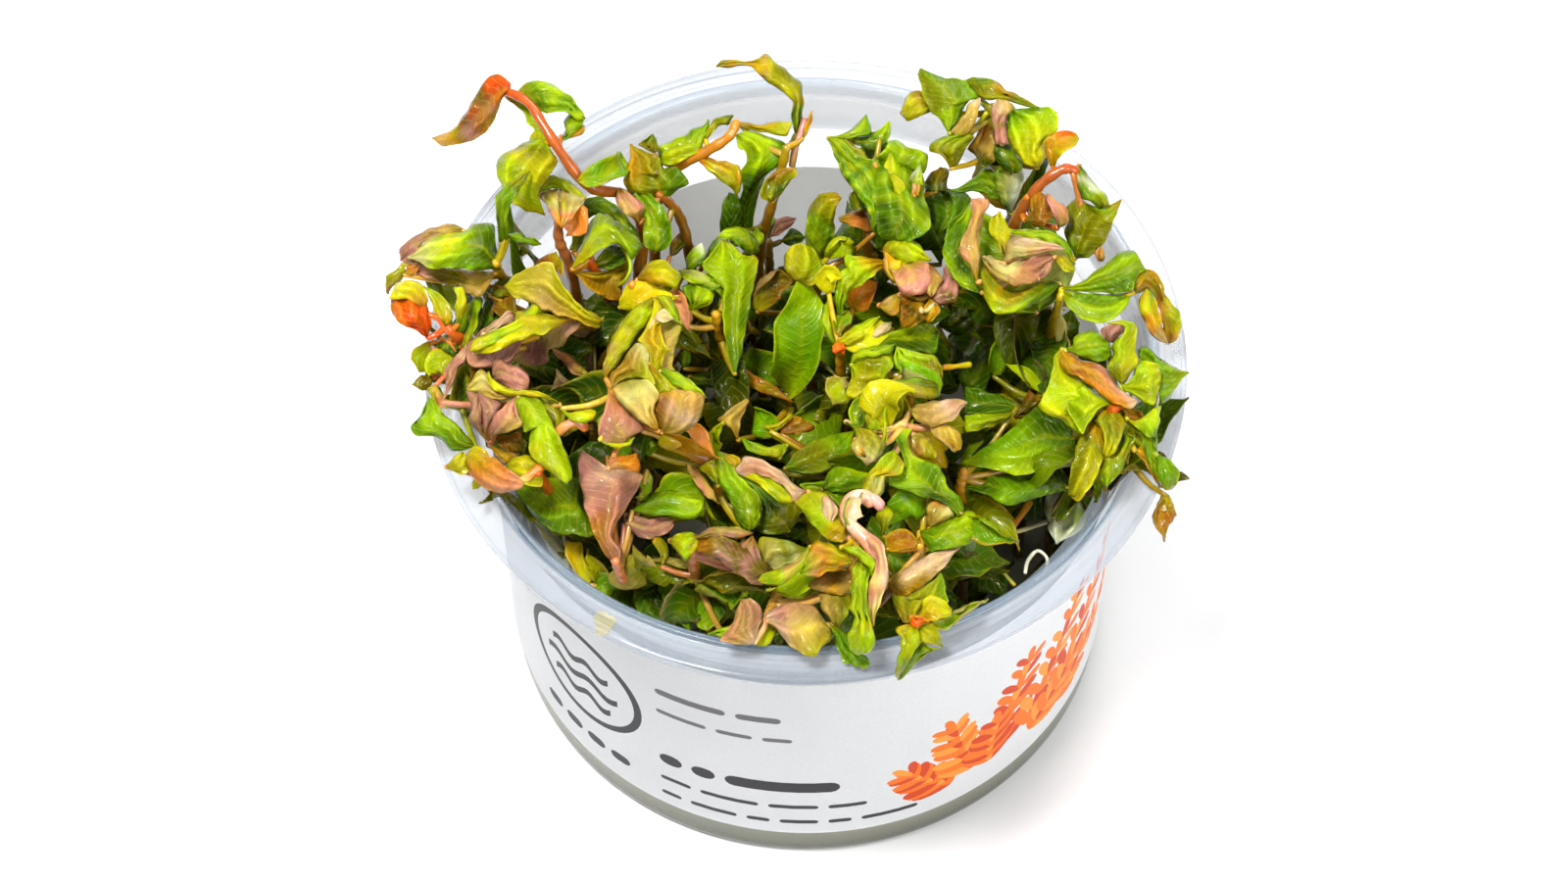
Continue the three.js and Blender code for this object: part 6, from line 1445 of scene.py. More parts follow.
   [[[934, 634], [940, 625], [942, 612], [950, 607], [958, 608], [971, 622]],
    [[934, 634], [944, 634], [955, 633], [965, 630], [970, 628], [971, 622]],
    [0.4, 1, 0.5], 0, 0.8, "orange yellow>amber yellow yellow"],
   [[[930, 637], [916, 639], [914, 643], [919, 652], [919, 663], [915, 675], [913, 688], [917, 694]],
    [[935, 638], [940, 655], [932, 666], [925, 678], [918, 689], [917, 694]],
    [0.5, 0.6, -5.5], 0, 0.8, "amber yellow>lime lime>olive lime>green olive"],
   [[[940, 655], [930, 668], [922, 680], [917, 693]],
    [[940, 655], [950, 661], [961, 661], [950, 665], [940, 672], [930, 682], [921, 692], [917, 693]],
    [-0.5, -1.5, -5.6], 0, 0.5, "green green>olive green"],
   [[[937, 640], [939, 648], [940, 655], [950, 658], [962, 660]],
    [[937, 640], [948, 636], [957, 641], [959, 650], [962, 660]],
    [0.2, 0.2, -1.5], 0, 0.6, "yellow yellow>olive olive"],
  ],
  "leaves": [
   [[[952, 638, -1], [975, 628, -1], [998, 618, -3]], 1.3, 0, 10, "green"],
   [[[930, 630, 1], [936, 634, 2], [942, 632, 1]], 0.8, 0, 0, "ember"],
  ],
 },
 {"name": "shoot_right_pointed", "height": 64, "tint": "lime",
  "stem": [[958, 590, -18], [942, 575, -5], [938, 556, 0]],
  "blades": [
   [[[906, 595], [915, 586], [928, 577], [942, 569], [958, 562], [970, 561], [979, 559]],
    [[906, 597], [912, 605], [918, 610], [930, 605], [942, 598], [951, 590], [957, 584], [965, 577],
     [972, 567], [979, 559]],
    [-1, 0.8, 0], 0, 0.9, "tan>amber tan>amber blush>tan blush blush"],
   [[[909, 597], [905, 602], [901, 611], [897, 620]],
    [[909, 597], [911, 604], [905, 613], [897, 620]],
    [-1.5, -2, -3], 0, 0.3, "mauve mauve rose"],
   [[[938, 542], [948, 539], [958, 535], [968, 530], [977, 526], [985, 522], [992, 522], [998, 530],
     [1000, 538]],
    [[938, 542], [944, 556], [950, 563], [957, 561], [968, 560], [980, 558], [990, 554], [998, 548],
     [1000, 538]],
    [-0.5, 1, -0.5], 0, 0.9, "olive green lime>green lime lime"],
   [[[949, 539], [946, 530], [945, 520], [947, 512], [955, 509], [963, 512]],
    [[949, 539], [958, 535], [967, 530], [974, 526], [970, 519], [963, 512]],
    [0, 1.4, 0.5], 0, 1.0, "amber amber>tan tan>cream orange"],
   [[[900, 547], [897, 538], [894, 528], [896, 519], [903, 516]],
    [[902, 547], [905, 538], [909, 531], [913, 525], [910, 519], [903, 516]],
    [0, 1.5, 1], 0, 0.6, "yellow lime yellow lime"],
  ],
  "strands": [
   [[[1018, 577, -16], [1027, 588, -17], [1035, 597, -18]], 0.28, "lime yellow"],
   [[[1036, 543, -22], [1056, 537, -22], [1076, 530, -22]], 0.32, "cream pale"],
   [[[1027, 543, -20], [1040, 528, -20], [1051, 512, -20]], 0.5, "orange amber"],
  ],
  "leaves": [
   [[[985, 530, 0], [1010, 542, 1], [1036, 553, -1]], 2.0, 0, 25, "green"],
   [[[905, 560, 0], [918, 552, 1], [935, 552, 0]], 1.6, 0, 30, "rust"],
   [[[945, 508, 0], [925, 515, 1], [908, 535, -1]], 2.4, 0, 10, "green"],
   [[[912, 560, -1], [920, 575, -2], [935, 580, -4]], 1.7, 0, 10, "deep"],
  ],
 },
 {"name": "shoot_back_wall", "height": 50, "tint": "deep",
  "stem": [[790, 330, -20], [785, 270, -5], [784, 246, 0]],
  "blades": [
   [[[784, 243], [789, 234], [792, 224], [800, 221], [812, 223]],
    [[784, 243], [794, 240], [803, 234], [809, 228], [812, 223]],
    [0, 1, 1], 0, 0.5, "rose pink pink"],
   [[[784, 243], [775, 243], [771, 236], [778, 225], [788, 221]],
    [[784, 243], [789, 233], [792, 224], [788, 221]],
    [-0.5, 0.2, 0], 0, 0.5, "deep deep green"],
   [[[797, 246], [803, 238], [808, 232], [822, 242]],
    [[797, 246], [804, 251], [815, 250], [822, 242]],
    [-1, 0, -1], 0, 0.5, "deep deep green"],
  ],
  "leaves": [],
 },
]


def display(colour):
    """8-bit display values as linear light."""
    values = np.asarray(colour, float) / 255
    return np.where(values <= 0.04045, values / 12.92, ((values + 0.055) / 1.055) ** 2.4)


def tint_light(name):
    return display(TINTS[name])


def blend(first, second, share):
    return np.asarray(first) * (1 - share) + np.asarray(second) * share


# Placing points


def seen_at(across, down, height):
    """The point at that height that the eye sees at that place in the frame."""
    ray = AHEAD * VIEW_LENGTH + RIGHT * (across - VIEW_ACROSS) + UP * (VIEW_DOWN - down)
    return EYE + ray * ((PLANT_DATUM + height - EYE[2]) / ray[..., 2:])


def clear_of_cup(points, margin):
    """Points that would meet the cup's wall or flange, moved in from the wall or up over the flange."""
    points = np.array(points, float)
    radius = np.hypot(points[..., 0], points[..., 1])
    height = points[..., 2]
    lowest = CUP_HEIGHT + margin
    above_shoulder = height > SHOULDER_HEIGHT + SHOULDER_RISE + margin
    limit = np.where(above_shoulder, COLLAR_INNER_RADIUS, BODY_RADIUS_TOP - WALL) - margin
    meets = (height < lowest) & (radius <= FLANGE_RADIUS + margin) & (radius > limit)
    lift = meets & ((radius > BEAD_RADIUS) | (lowest - height < radius - limit))
    pull = meets & ~lift
    share = np.where(pull, limit / np.maximum(radius, 1e-6), 1)
    points[..., 0] *= share
    points[..., 1] *= share
    points[..., 2] = np.where(lift, lowest, height)
    return points


def curve_through(points, count):
    """Points and directions along a centripetal Catmull-Rom curve."""
    points = np.asarray(points, float)
    chain = np.vstack([2 * points[0] - points[1], points, 2 * points[-1] - points[-2]])
    places, slopes = [], []
    for share in np.linspace(0, len(points) - 1, count):
        leg = min(int(share), len(points) - 2)
        t = share - leg
        before, start, end, after = chain[leg:leg + 4]
        middle = max(np.linalg.norm(end - start) ** 0.5, 1e-4)
        first = np.linalg.norm(start - before) ** 0.5 or middle
        last = np.linalg.norm(after - end) ** 0.5 or middle
        leave = (start - before) / first - (end - before) / (first + middle) + (end - start) / middle
        arrive = (end - start) / middle - (after - start) / (middle + last) + (after - end) / last
        leave, arrive = leave * middle, arrive * middle
        square = -3 * start + 3 * end - 2 * leave - arrive
        cube = 2 * start - 2 * end + leave + arrive
        places.append(start + leave * t + square * t ** 2 + cube * t ** 3)
        slopes.append(leave + 2 * square * t + 3 * cube * t ** 2)
    return np.array(places), unit(slopes)


def round_angles(steps):
    return np.linspace(0, 2 * math.pi, steps, endpoint=False)


def turned_about(vectors, axes, angles):
    """Vectors turned about unit axes by angles."""
    cos = np.cos(angles)[:, None]
    sin = np.sin(angles)[:, None]
    along = np.sum(vectors * axes, axis=1)[:, None] * axes
    return vectors * cos + np.cross(axes, vectors) * sin + along * (1 - cos)


# Meshes


def add_object(name, data):
    """A new object, in the scene."""
    made = bpy.data.objects.new(name, data)
    bpy.context.scene.collection.objects.link(made)
    return made


class Skin:
    """Points, faces, colours and leaf coordinates gathered for one mesh."""

    def __init__(self):
        self.points, self.faces, self.colours, self.places, self.slots = [], [], [], [], []

    def add(self, points, faces, colours, places=None, slot=0):
        start = len(self.points)
        self.points.extend(np.asarray(points).reshape(-1, 3).tolist())
        self.faces.extend([[start + corner for corner in face] for face in faces])
        self.slots.extend([slot] * len(faces))
        colours = np.broadcast_to(np.asarray(colours, float), (len(self.points) - start, 3))
        self.colours.extend(colours.tolist())
        if places is None:
            places = np.zeros((len(self.points) - start, 2))
        self.places.extend(np.asarray(places).tolist())

    def fill(self, colour):
        """One colour for every point, and no leaf coordinates."""
        self.colours = [list(colour)] * len(self.points)
        self.places = [[0, 0]] * len(self.points)

    def finish(self, name, materials):
        mesh = bpy.data.meshes.new(name)
        points = np.clip(np.array(self.points) * MM, cad_box[0], cad_box[1])
        mesh.from_pydata(points.tolist(), [], self.faces)
        for material in materials:
            mesh.materials.append(material)
        mesh.polygons.foreach_set("material_index", self.slots)
        mesh.polygons.foreach_set("use_smooth", [True] * len(self.faces))
        tint = mesh.color_attributes.new("tint", "FLOAT_COLOR", "POINT")
        colours = np.hstack([np.array(self.colours), np.ones((len(self.colours), 1))])
        tint.data.foreach_set("color", colours.astype(np.float32).ravel())
        layer = mesh.uv_layers.new(name="place")
        corners = np.zeros(len(mesh.loops), np.int32)
        mesh.loops.foreach_get("vertex_index", corners)
        layer.data.foreach_set("uv", np.array(self.places, np.float32)[corners].ravel())
        mesh.update()
        piece = add_object(name, mesh)
        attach(piece, "root")
        return piece


def tube(skin, path, radii, colours, sides=8, slot=0):
    """A round closed tube along a path."""
    path = np.asarray(path)
    slopes = unit(np.gradient(path, axis=0))
    steady = np.array([0.31, 0.95, 0.07])
    side = unit(np.cross(slopes, steady))
    face = np.cross(side, slopes)
    angles = round_angles(sides)
    radii = np.broadcast_to(radii, len(path))
    rings = (
        path[:, None]
        + side[:, None] * (np.cos(angles)[None, :, None] * radii[:, None, None])
        + face[:, None] * (np.sin(angles)[None, :, None] * radii[:, None, None])
    )
    start = path[0] - slopes[0] * radii[0] * 0.4
    end = path[-1] + slopes[-1] * radii[-1] * 0.7
    points = np.vstack([rings.reshape(-1, 3), start, end])
    faces = []
    last = len(path) - 1
    for step in range(sides):
        after = (step + 1) % sides
        for ring in range(last):
            a, b = ring * sides + step, ring * sides + after
            faces.append([a, b, b + sides, a + sides])
        faces.append([len(points) - 2, after, step])
        faces.append([len(points) - 1, last * sides + step, last * sides + after])
    colours = np.asarray(colours, float)
    if colours.ndim == 2:
        colours = np.vstack([np.repeat(colours, sides, axis=0), colours[:1], colours[-1:]])
    along = np.linspace(0, 1, len(path)) * 0.5
    places = np.column_stack([np.full(len(path), 0.5), along])
    places = np.vstack([np.repeat(places, sides, axis=0), places[:1], places[-1:]])
    skin.add(points, faces, colours, places, slot)


def leaf_width(along, peak):
    """A leaf's half width as a share of its widest, drawn out to a point at the tip."""
    along = np.clip(along, 0, 1)
    point = 1 - 0.55 * np.clip((along - 0.6) / 0.4, 0, 1) ** 1.3
    return np.sin(np.pi * along ** peak) ** FULLNESS * point


def swell(chance, places, waves, lowest, highest):
    """A smooth wavering value between about -1 and 1 over places, each a number or a pair."""
    places = np.asarray(places, float)
    total = 0
    for _ in range(waves):
        pitch = chance.uniform(lowest, highest, places.shape[-1]) * chance.choice([-1, 1], places.shape[-1])
        total = total + np.sin(places @ pitch + chance.uniform(0, 2 * np.pi))
    return total / waves ** 0.5 / 1.3


def folded(flat, folds):
    """A flat sheet's points after its folds, the farthest first: each turns what lies past its line."""
    points = np.dstack([flat, np.zeros(flat.shape[:2])])
    for foot, heading, turn, soft in folds:
        along_line = np.array([math.cos(heading), math.sin(heading)])
        past_line = np.array([-along_line[1], along_line[0]])
        share = np.clip((flat - foot) @ past_line / soft, 0, 1)
        angle = turn * share * share * (3 - 2 * share)
        rest = points[..., :2] - foot
        past = rest @ past_line
        still = (rest @ along_line)[..., None] * along_line
        height = points[..., 2]
        moved = past * np.cos(angle) - height * np.sin(angle)
        points = np.dstack([foot + still + moved[..., None] * past_line,
                            past * np.sin(angle) + height * np.cos(angle)])
    return points


def leaf_folds(length, half_width, crumple, chance):
    """Folds of a wilting leaf: its margins, its tip and one across its blade."""
    folds = []
    for hand in (-1, 1):
        if chance.random() < 0.85:
            foot = np.array([hand * half_width * chance.uniform(0.35, 0.65), length * 0.5])
            heading = -hand * math.pi / 2 + chance.uniform(-0.3, 0.3)
            folds.append((foot, heading, crumple * chance.uniform(-0.9, 1.9), half_width * 0.3))
    if chance.random() < 0.8:
        foot = np.array([0, length * chance.uniform(0.62, 0.82)])
        sharp = 2.0 if chance.random() < 0.15 * crumple else 0.9
        turn = crumple * sharp * chance.uniform(0.5, 1.4) * chance.choice([-1, 1])
        folds.append((foot, chance.uniform(-0.7, 0.7), turn, half_width * 0.35))
    foot = np.array([0, length * chance.uniform(0.35, 0.55)])
    folds.append((foot, chance.uniform(-0.9, 0.9), crumple * chance.uniform(-0.8, 0.8), half_width * 0.25))
    return folds


def leaf_places(across, along, length):
    """Leaf coordinates: across the leaf from 0 to 1, and along it in centimetres."""
    pair = np.broadcast_arrays(across[None, :] * 0.5 + 0.5, along[:, None])
    places = np.stack(pair, axis=-1).reshape(-1, 2)
    places[:, 1] *= length / 10
    return places


def leaf(skin, midrib, half_width, roll, fold, tint, peak, chance, crumple=1.0, step=LEAF_STEP, shade=1.0):
    """A leaf blade: a creased, puckered sheet with a thin closed edge."""
    half_width = half_width * WIDER
    midrib = np.array(midrib, float)
    midrib[-1] += (midrib[-1] - midrib[-2]) * LONGER
    reach_along = np.sum(np.linalg.norm(np.diff(midrib, axis=0), axis=1))
    rows = int(np.clip(reach_along / step, *LEAF_ROWS))
    columns = int(np.clip(half_width / step, *LEAF_HALF_COLUMNS)) * 2 + 1
    centre, slope = curve_through(midrib, MIDRIB_STEPS)
    length = float(np.sum(np.linalg.norm(np.diff(centre, axis=0), axis=1)))
    along = np.linspace(0, 1, rows)
    across = np.linspace(-1, 1, columns)
    reach = np.maximum(half_width * leaf_width(along, peak), NARROW * (1 - along) ** 0.5 + 0.03)
    flat = np.zeros((rows, columns, 2))
    flat[..., 1] = along[:, None] * length
    for hand in (-1, 1):
        corners = np.sort(np.concatenate([[0, 1], chance.uniform(0.15, 0.9, 4)]))
        jag = np.interp(along, corners, 1 + crumple * chance.uniform(-0.28, 0.24, 6))
        jag = jag + crumple * 0.05 * swell(chance, along[:, None], 2, 20, 36)
        side_across = np.where(np.sign(across) == hand, across, 0)
        flat[..., 0] += side_across[None, :] * (reach * jag)[:, None]
    drift = swell(chance, flat / half_width, 2, 0.5, 1.2)
    flat[..., 1] += crumple * 0.05 * length * np.abs(across)[None, :] * drift
    local = folded(flat, leaf_folds(length, half_width, crumple, chance))
    spread = np.abs(across)[None, :]
    gather = np.minimum(1, reach[:, None] / (0.5 * half_width))
    vein_line = (flat[..., 1] - np.abs(flat[..., 0]) * 0.9) * (2 * np.pi / chance.uniform(2.2, 3.2))
    ridge = np.abs(np.sin(vein_line / 2 + swell(chance, flat / half_width, 2, 0.8, 1.8))) - 0.6
    local[..., 2] += crumple * 0.15 * ridge * spread ** 0.6 * gather
    pucker = swell(chance, flat / half_width, 3, 1.2, 3.2)
    local[..., 2] += crumple * 0.16 * half_width ** 0.8 * pucker * gather * (0.3 + spread)
    ruffle = swell(chance, flat / half_width, 2, 2.2, 4.2)
    local[..., 2] += crumple * 0.24 * half_width ** 0.8 * spread ** 2 * gather * ruffle
    bend = math.radians(fold) * (0.5 + 0.7 * spread)
    x, y, z = local[..., 0], local[..., 1], local[..., 2]
    crosswise = x * np.cos(bend) - z * np.sin(bend) * np.sign(x)
    lift = np.abs(x) * np.sin(bend) + z * np.cos(bend)
    station = np.clip(y / length, 0, 1)
    beyond = y - station * length
    place = station * (MIDRIB_STEPS - 1)

    def sampled(values):
        low = np.clip(place.astype(int), 0, MIDRIB_STEPS - 2)
        share = (place - low)[..., None]
        return values[low] * (1 - share) + values[low + 1] * share

    middle, heading = sampled(centre), unit(sampled(slope))
    middle = middle + heading * beyond[..., None]
    side = unit(np.cross(heading, EYE - middle))
    twist = np.radians(roll + crumple * chance.uniform(-18, 18) * (station - 0.4))
    shape = side.shape
    side = turned_about(side.reshape(-1, 3), heading.reshape(-1, 3), twist.ravel()).reshape(shape)
    face = np.cross(side, heading)
    sheet = middle + side * crosswise[..., None] + face * lift[..., None]
    sheet = clear_of_cup(sheet, GAP)
    sheet = np.clip(sheet, BOX_LOW, BOX_HIGH)
    colours = [shade * value for value in leaf_colours(flat / half_width, along, spread, tint, chance)]
    shell(skin, sheet, spread, colours, leaf_places(across, along, length))


def shell(skin, sheet, spread, colours, places):
    """A sheet of rows and columns of points as a thin closed shell, thinnest at its margins."""
    rows, columns = sheet.shape[:2]
    down_rows = np.gradient(sheet, axis=0)
    over_columns = np.gradient(sheet, axis=1)
    normal = unit(np.cross(over_columns, down_rows))
    thick = LEAF_SKIN / 2 * (1 - 0.75 * spread ** 4) * np.ones((rows, 1))
    upper, lower = sheet + normal * thick[..., None], sheet - normal * thick[..., None]
    count = rows * columns
    faces = []
    for row in range(rows - 1):
        for column in range(columns - 1):
            a = row * columns + column
            faces.append([a, a + 1, a + columns + 1, a + columns])
            faces.append([count + a, count + a + columns, count + a + columns + 1, count + a + 1])
        a, b = row * columns, row * columns + columns - 1
        faces.append([a, a + columns, count + a + columns, count + a])
        faces.append([b, count + b, count + b + columns, b + columns])
    for column in range(columns - 1):
        a, b = column, (rows - 1) * columns + column
        faces.append([a, count + a, count + a + 1, a + 1])
        faces.append([b, b + 1, count + b + 1, count + b])
    points = np.vstack([upper.reshape(-1, 3), lower.reshape(-1, 3)])
    both_faces = np.vstack([value.reshape(-1, 3) for value in colours])
    skin.add(points, faces, both_faces, np.vstack([places, places]))


def leaf_colours(flat, along, spread, tint, chance):
    """Colours of a leaf's upper and lower faces, point by point."""
    own = tint_light(tint)
    kin = tint_light(chance.choice(KIN[tint]))
    patch = np.clip(0.5 + 0.7 * swell(chance, flat, 3, 0.8, 2.2), 0, 1)[..., None]
    upper = own * (1 - 0.55 * patch) + kin * 0.55 * patch
    edge_tint = tint_light(chance.choice(["amber", "rust", "orange", "rose", "yellow"]))
    wilt = max(0, chance.uniform(-0.35, 0.7))
    tip = np.clip((along[:, None] - 0.8) / 0.2, 0, 1) ** 2
    rim = np.clip(0.7 * spread ** 9 + 0.8 * tip, 0, 1)[..., None] * wilt
    upper = upper * (1 - rim) + edge_tint * rim
    foot = np.clip(1 - along[:, None, None] / 0.25, 0, 1) * 0.35
    rib = np.exp(-(spread[..., None] / 0.1) ** 2) * 0.16
    paler = np.maximum(foot, rib)
    upper = upper * (1 - paler) + tint_light("yellow") * paler
    # A random tone for each leaf, and painted shade darker towards its foot
    tone_and_foot_shade = chance.uniform(0.66, 0.98) * (0.92 + 0.16 * along[:, None, None])
    if tint in PINKISH:
        under = tint_light(chance.choice(["olive", "green", "amber"]))
    else:
        under = own * 0.55 + tint_light(chance.choice(["rose", "mauve", "tan", "olive"])) * 0.45
    under = under * (1 - 0.3 * patch) + kin * 0.3 * patch
    return upper * tone_and_foot_shade, under * tone_and_foot_shade * 0.95


def margin(points, rows, chance):
    """Evenly spread points along a margin, between a curve and straight legs so that corners stay crisp."""
    points = np.array(points, float)
    shares = np.linspace(0, len(points) - 1, MARGIN_STEPS)
    smooth, _ = curve_through(points, MARGIN_STEPS)
    marks = np.arange(len(points))
    straight = np.column_stack([np.interp(shares, marks, points[:, axis]) for axis in (0, 1)])
    line = blend(smooth, straight, CRISPNESS)
    steps = np.concatenate([[0], np.cumsum(np.linalg.norm(np.diff(line, axis=0), axis=1))])
    places = np.linspace(0, steps[-1], rows)
    line = np.column_stack([np.interp(places, steps, line[:, axis]) for axis in (0, 1)])
    waver = np.column_stack([swell(chance, places[:, None] / 9, 3, 1.5, 4) for _ in (0, 1)])
    hold = np.minimum(1, 6 * np.minimum(np.linspace(0, 1, rows), np.linspace(1, 0, rows)))
    return line + waver * hold[:, None] * MARGIN_WAVER


def blade(skin, shoot, row, chance):
    """A leaf drawn by its two margins as seen, each from foot to tip: its folds only move towards the eye."""
    left, right, rises, lean, arch, tints = row
    first, last = np.array(left, float), np.array(right, float)
    long = max(np.sum(np.linalg.norm(np.diff(side, axis=0), axis=1)) for side in (first, last)) * SEEN_MM
    rows = int(np.clip(long / BLADE_STEP, *BLADE_ROWS))
    one, other = margin(left, rows, chance), margin(right, rows, chance)
    widths = np.linalg.norm(other - one, axis=1) * SEEN_MM
    wide = widths.max()
    columns = int(np.clip(wide / BLADE_STEP, *BLADE_COLUMNS)) + 1
    across = np.linspace(-1, 1, columns)
    along = np.linspace(0, 1, rows)
    share = (across[None, :, None] + 1) / 2
    seen = one[:, None] * (1 - share) + other[:, None] * share
    flat = seen * SEEN_MM
    size = max(2, min(wide, long))
    spread = np.abs(across)[None, :]
    room = np.clip(widths / wide, 0.1, 1)[:, None]
    foot, middle, tip = rises
    t = along[:, None]
    height = foot * (1 - t) * (1 - 2 * t) + middle * 4 * t * (1 - t) + tip * t * (2 * t - 1)
    height = height + lean * across[None, :] * room + ARCH_SHARE * arch * (1 - across[None, :] ** 2) * room
    course = unit(one[-1] - one[0] + other[-1] - other[0])
    vein_line = flat @ course + np.abs(across)[None, :] * 0.4 * wide / 2
    veins = vein_line * np.pi / chance.uniform(1.7, 2.6)
    ridge = np.abs(np.sin(veins + swell(chance, flat / size, 2, 1, 3))) - 0.6
    pair = np.broadcast_arrays(across[None, :] * wide / size, along[:, None] * 0.35 * long / size)
    lengthwise = np.stack(pair, axis=-1)
    crease = 1 - 2.2 * np.abs(swell(chance, lengthwise, 3, 2, 4.5)) ** 0.7
    sharp = 1 - 2.2 * np.abs(swell(chance, flat / size, 3, 5, 12)) ** 0.6
    broad = swell(chance, flat / size, 3, 1.5, 4)
    relief = RIDGE_SHARE * ridge * spread ** 0.5 + CREASE_SHARE * crease
    relief = relief + WRINKLE_SHARE * sharp + SWELL_SHARE * broad
    relief = relief * BLADE_RELIEF * size ** 0.4
    relief = relief + 0.35 * spread ** 5 * swell(chance, flat / 4, 3, 4, 9)
    relief = relief * np.minimum(1, room * 1.6)
    sheet = seen_at(seen[..., 0:1], seen[..., 1:2], shoot["height"] + (height + relief)[..., None])
    sheet = np.clip(clear_of_cup(sheet, GAP), BOX_LOW, BOX_HIGH)
    colours = blade_colours(flat / size, along, across, relief, tints, chance)
    normals = np.cross(np.gradient(sheet, axis=1), np.gradient(sheet, axis=0))
    facing = normals @ (EYE - sheet.mean(axis=(0, 1)))
    if facing.sum() < 0:
        colours = colours[::-1]
    shell(skin, sheet, spread, colours, leaf_places(across, along, long))
    return sheet[0].mean(axis=0)


def strand(skin, shoot, points, radius, tints):
    """A bare stem or root through points given as across, down and rise above the shoot's height."""
    line = [seen_at(across, down, shoot["height"] + rise) for across, down, rise in points]
    path, _ = curve_through(line, 7 * len(points))
    path = np.clip(clear_of_cup(path, radius + 0.1), BOX_LOW, BOX_HIGH)
    along = np.linspace(0, 1, len(path))
    stops = np.array([tint_light(name) for name in tints.split()])
    marks = np.linspace(0, 1, len(stops))
    colours = np.column_stack([np.interp(along, marks, stops[:, channel]) for channel in range(3)])
    tube(skin, path, radius * (1 + 0.12 * np.sin(along * 9)), colours, slot=1)


def blade_colours(flat, along, across, relief, tints, chance):
    """Colours of a blade: tints from foot to tip, each alone or as left>right, painted lighter on its ridges
    and darker in its creases and at its foot.
    """
    stops = [name.split(">") for name in tints.split()]
    places = np.linspace(0, 1, max(2, len(stops)))
    if len(stops) == 1:
        stops = stops * 2
    kin_names = [chance.choice(KIN[pair[-1]]) for pair in stops]
    bent = np.clip(along[:, None] + 0.16 * swell(chance, flat, 3, 1.5, 5), 0, 1)
    sideways = np.clip((across[None, :] + 1) / 2 + 0.2 * swell(chance, flat, 3, 1.5, 5), 0, 1)
    sideways = sideways * sideways * (3 - 2 * sideways)

    def along_blade(colours):
        table = np.array(colours)
        return np.stack([np.interp(bent, places, table[:, channel]) for channel in range(3)], axis=-1)

    one = along_blade([tint_light(pair[0]) for pair in stops])
    other = along_blade([tint_light(pair[-1]) for pair in stops])
    kin = along_blade([tint_light(name) for name in kin_names])
    own = blend(one, other, sideways[..., None])
    patch = np.clip(0.3 + 0.6 * swell(chance, flat, 3, 2, 6), 0, 1)[..., None]
    upper = blend(own, kin, 0.34 * patch)
    # Painted light and shade from the relief: lighter on ridges, darker in creases
    light = np.clip(relief / max(relief.std(), 1e-6), -1.6, 1.8)[..., None]
    # Painted shade: darker towards the blade's foot, with a broad random tone on top
    out_of_foot_shade = np.clip(along * 1.6, 0, 1)[:, None, None]
    shade = 0.8 + 0.3 * out_of_foot_shade + 0.12 * swell(chance, flat, 3, 1, 3)[..., None]
    upper = upper * (1 + 0.12 * light) * shade * chance.uniform(*BLADE_BRIGHTNESS)
    # A painted highlight: the margins brightened and yellowed
    edge = np.clip((np.abs(across) - 0.84) / 0.16, 0, 1)[None, :, None] * 0.3
    upper = blend(upper, 1.3 * upper + 0.05 * tint_light("yellow"), edge)
    rib = np.exp(-(across[None, :, None] / 0.07) ** 2) * 0.22 * np.clip(1.2 - along[:, None, None], 0, 1)
    upper = blend(upper, tint_light("yellow"), rib)
    under = blend(upper, tint_light("rose"), 0.25) * 0.8
    return upper, under


# Materials


def new_material(name):
    material = bpy.data.materials.new(name)
    material.use_nodes = True
    tree = material.node_tree
    return material, tree.nodes, tree.links, tree.nodes["Principled BSDF"]


def set_sockets(node, values):
    for name, value in values.items():
        node.inputs[name].default_value = value


def tint_node(nodes):
    """The colour painted on the mesh's points."""
    tint = nodes.new("ShaderNodeVertexColor")
    tint.layer_name = "tint"
    return tint.outputs["Color"]


def noise_node(nodes, links, scale, detail, distortion=0.0):
    where = nodes.new("ShaderNodeTexCoord")
    noise = nodes.new("ShaderNodeTexNoise")
    set_sockets(noise, {"Scale": scale, "Detail": detail, "Distortion": distortion})
    links.new(where.outputs["Object"], noise.inputs["Vector"])
    return noise


def ramp_node(nodes, links, source, stops):
    ramp = nodes.new("ShaderNodeValToRGB")
    elements = ramp.color_ramp.elements
    for index, (place, colour) in enumerate(stops):
        element = elements[index] if index < 2 else elements.new(place)
        element.position = place
        element.color = (*colour, 1)
    links.new(source, ramp.inputs["Fac"])
    return ramp.outputs["Color"]


def range_node(nodes, links, source, low, high):
    change = nodes.new("ShaderNodeMapRange")
    set_sockets(change, {"To Min": low, "To Max": high})
    links.new(source, change.inputs["Value"])
    return change.outputs["Result"]


def signed_range(nodes, links, source):
    """A value between -1 and 1 brought to between 0 and 1."""
    change = nodes.new("ShaderNodeMapRange")
    change.inputs["From Min"].default_value = -1
    links.new(source, change.inputs["Value"])
    return change.outputs["Result"]


def math_node(nodes, links, operation, first, second=None):
    step = nodes.new("ShaderNodeMath")
    step.operation = operation
    for index, value in enumerate((first, second)):
        if value is None:
            continue
        if isinstance(value, (int, float)):
            step.inputs[index].default_value = value
        else:
            links.new(value, step.inputs[index])
    return step.outputs[0]


def mix_node(nodes, links, kind, share, first, second):
    mix = nodes.new("ShaderNodeMix")
    mix.data_type = "RGBA"
    mix.blend_type = kind
    for name, value in (("Factor", share), ("A", first), ("B", second)):
        sort = "VALUE" if name == "Factor" else "RGBA"
        socket = [s for s in mix.inputs if s.name == name and s.type == sort][0]
        if hasattr(value, "is_linked"):
            links.new(value, socket)
        elif name == "Factor":
            socket.default_value = value
        else:
            socket.default_value = (*value, 1)
    return [s for s in mix.outputs if s.type == "RGBA"][0]


def bump_node(nodes, links, height, strength, distance):
    bump = nodes.new("ShaderNodeBump")
    set_sockets(bump, {"Strength": strength, "Distance": distance})
    links.new(height, bump.inputs["Height"])
    return bump.outputs["Normal"]


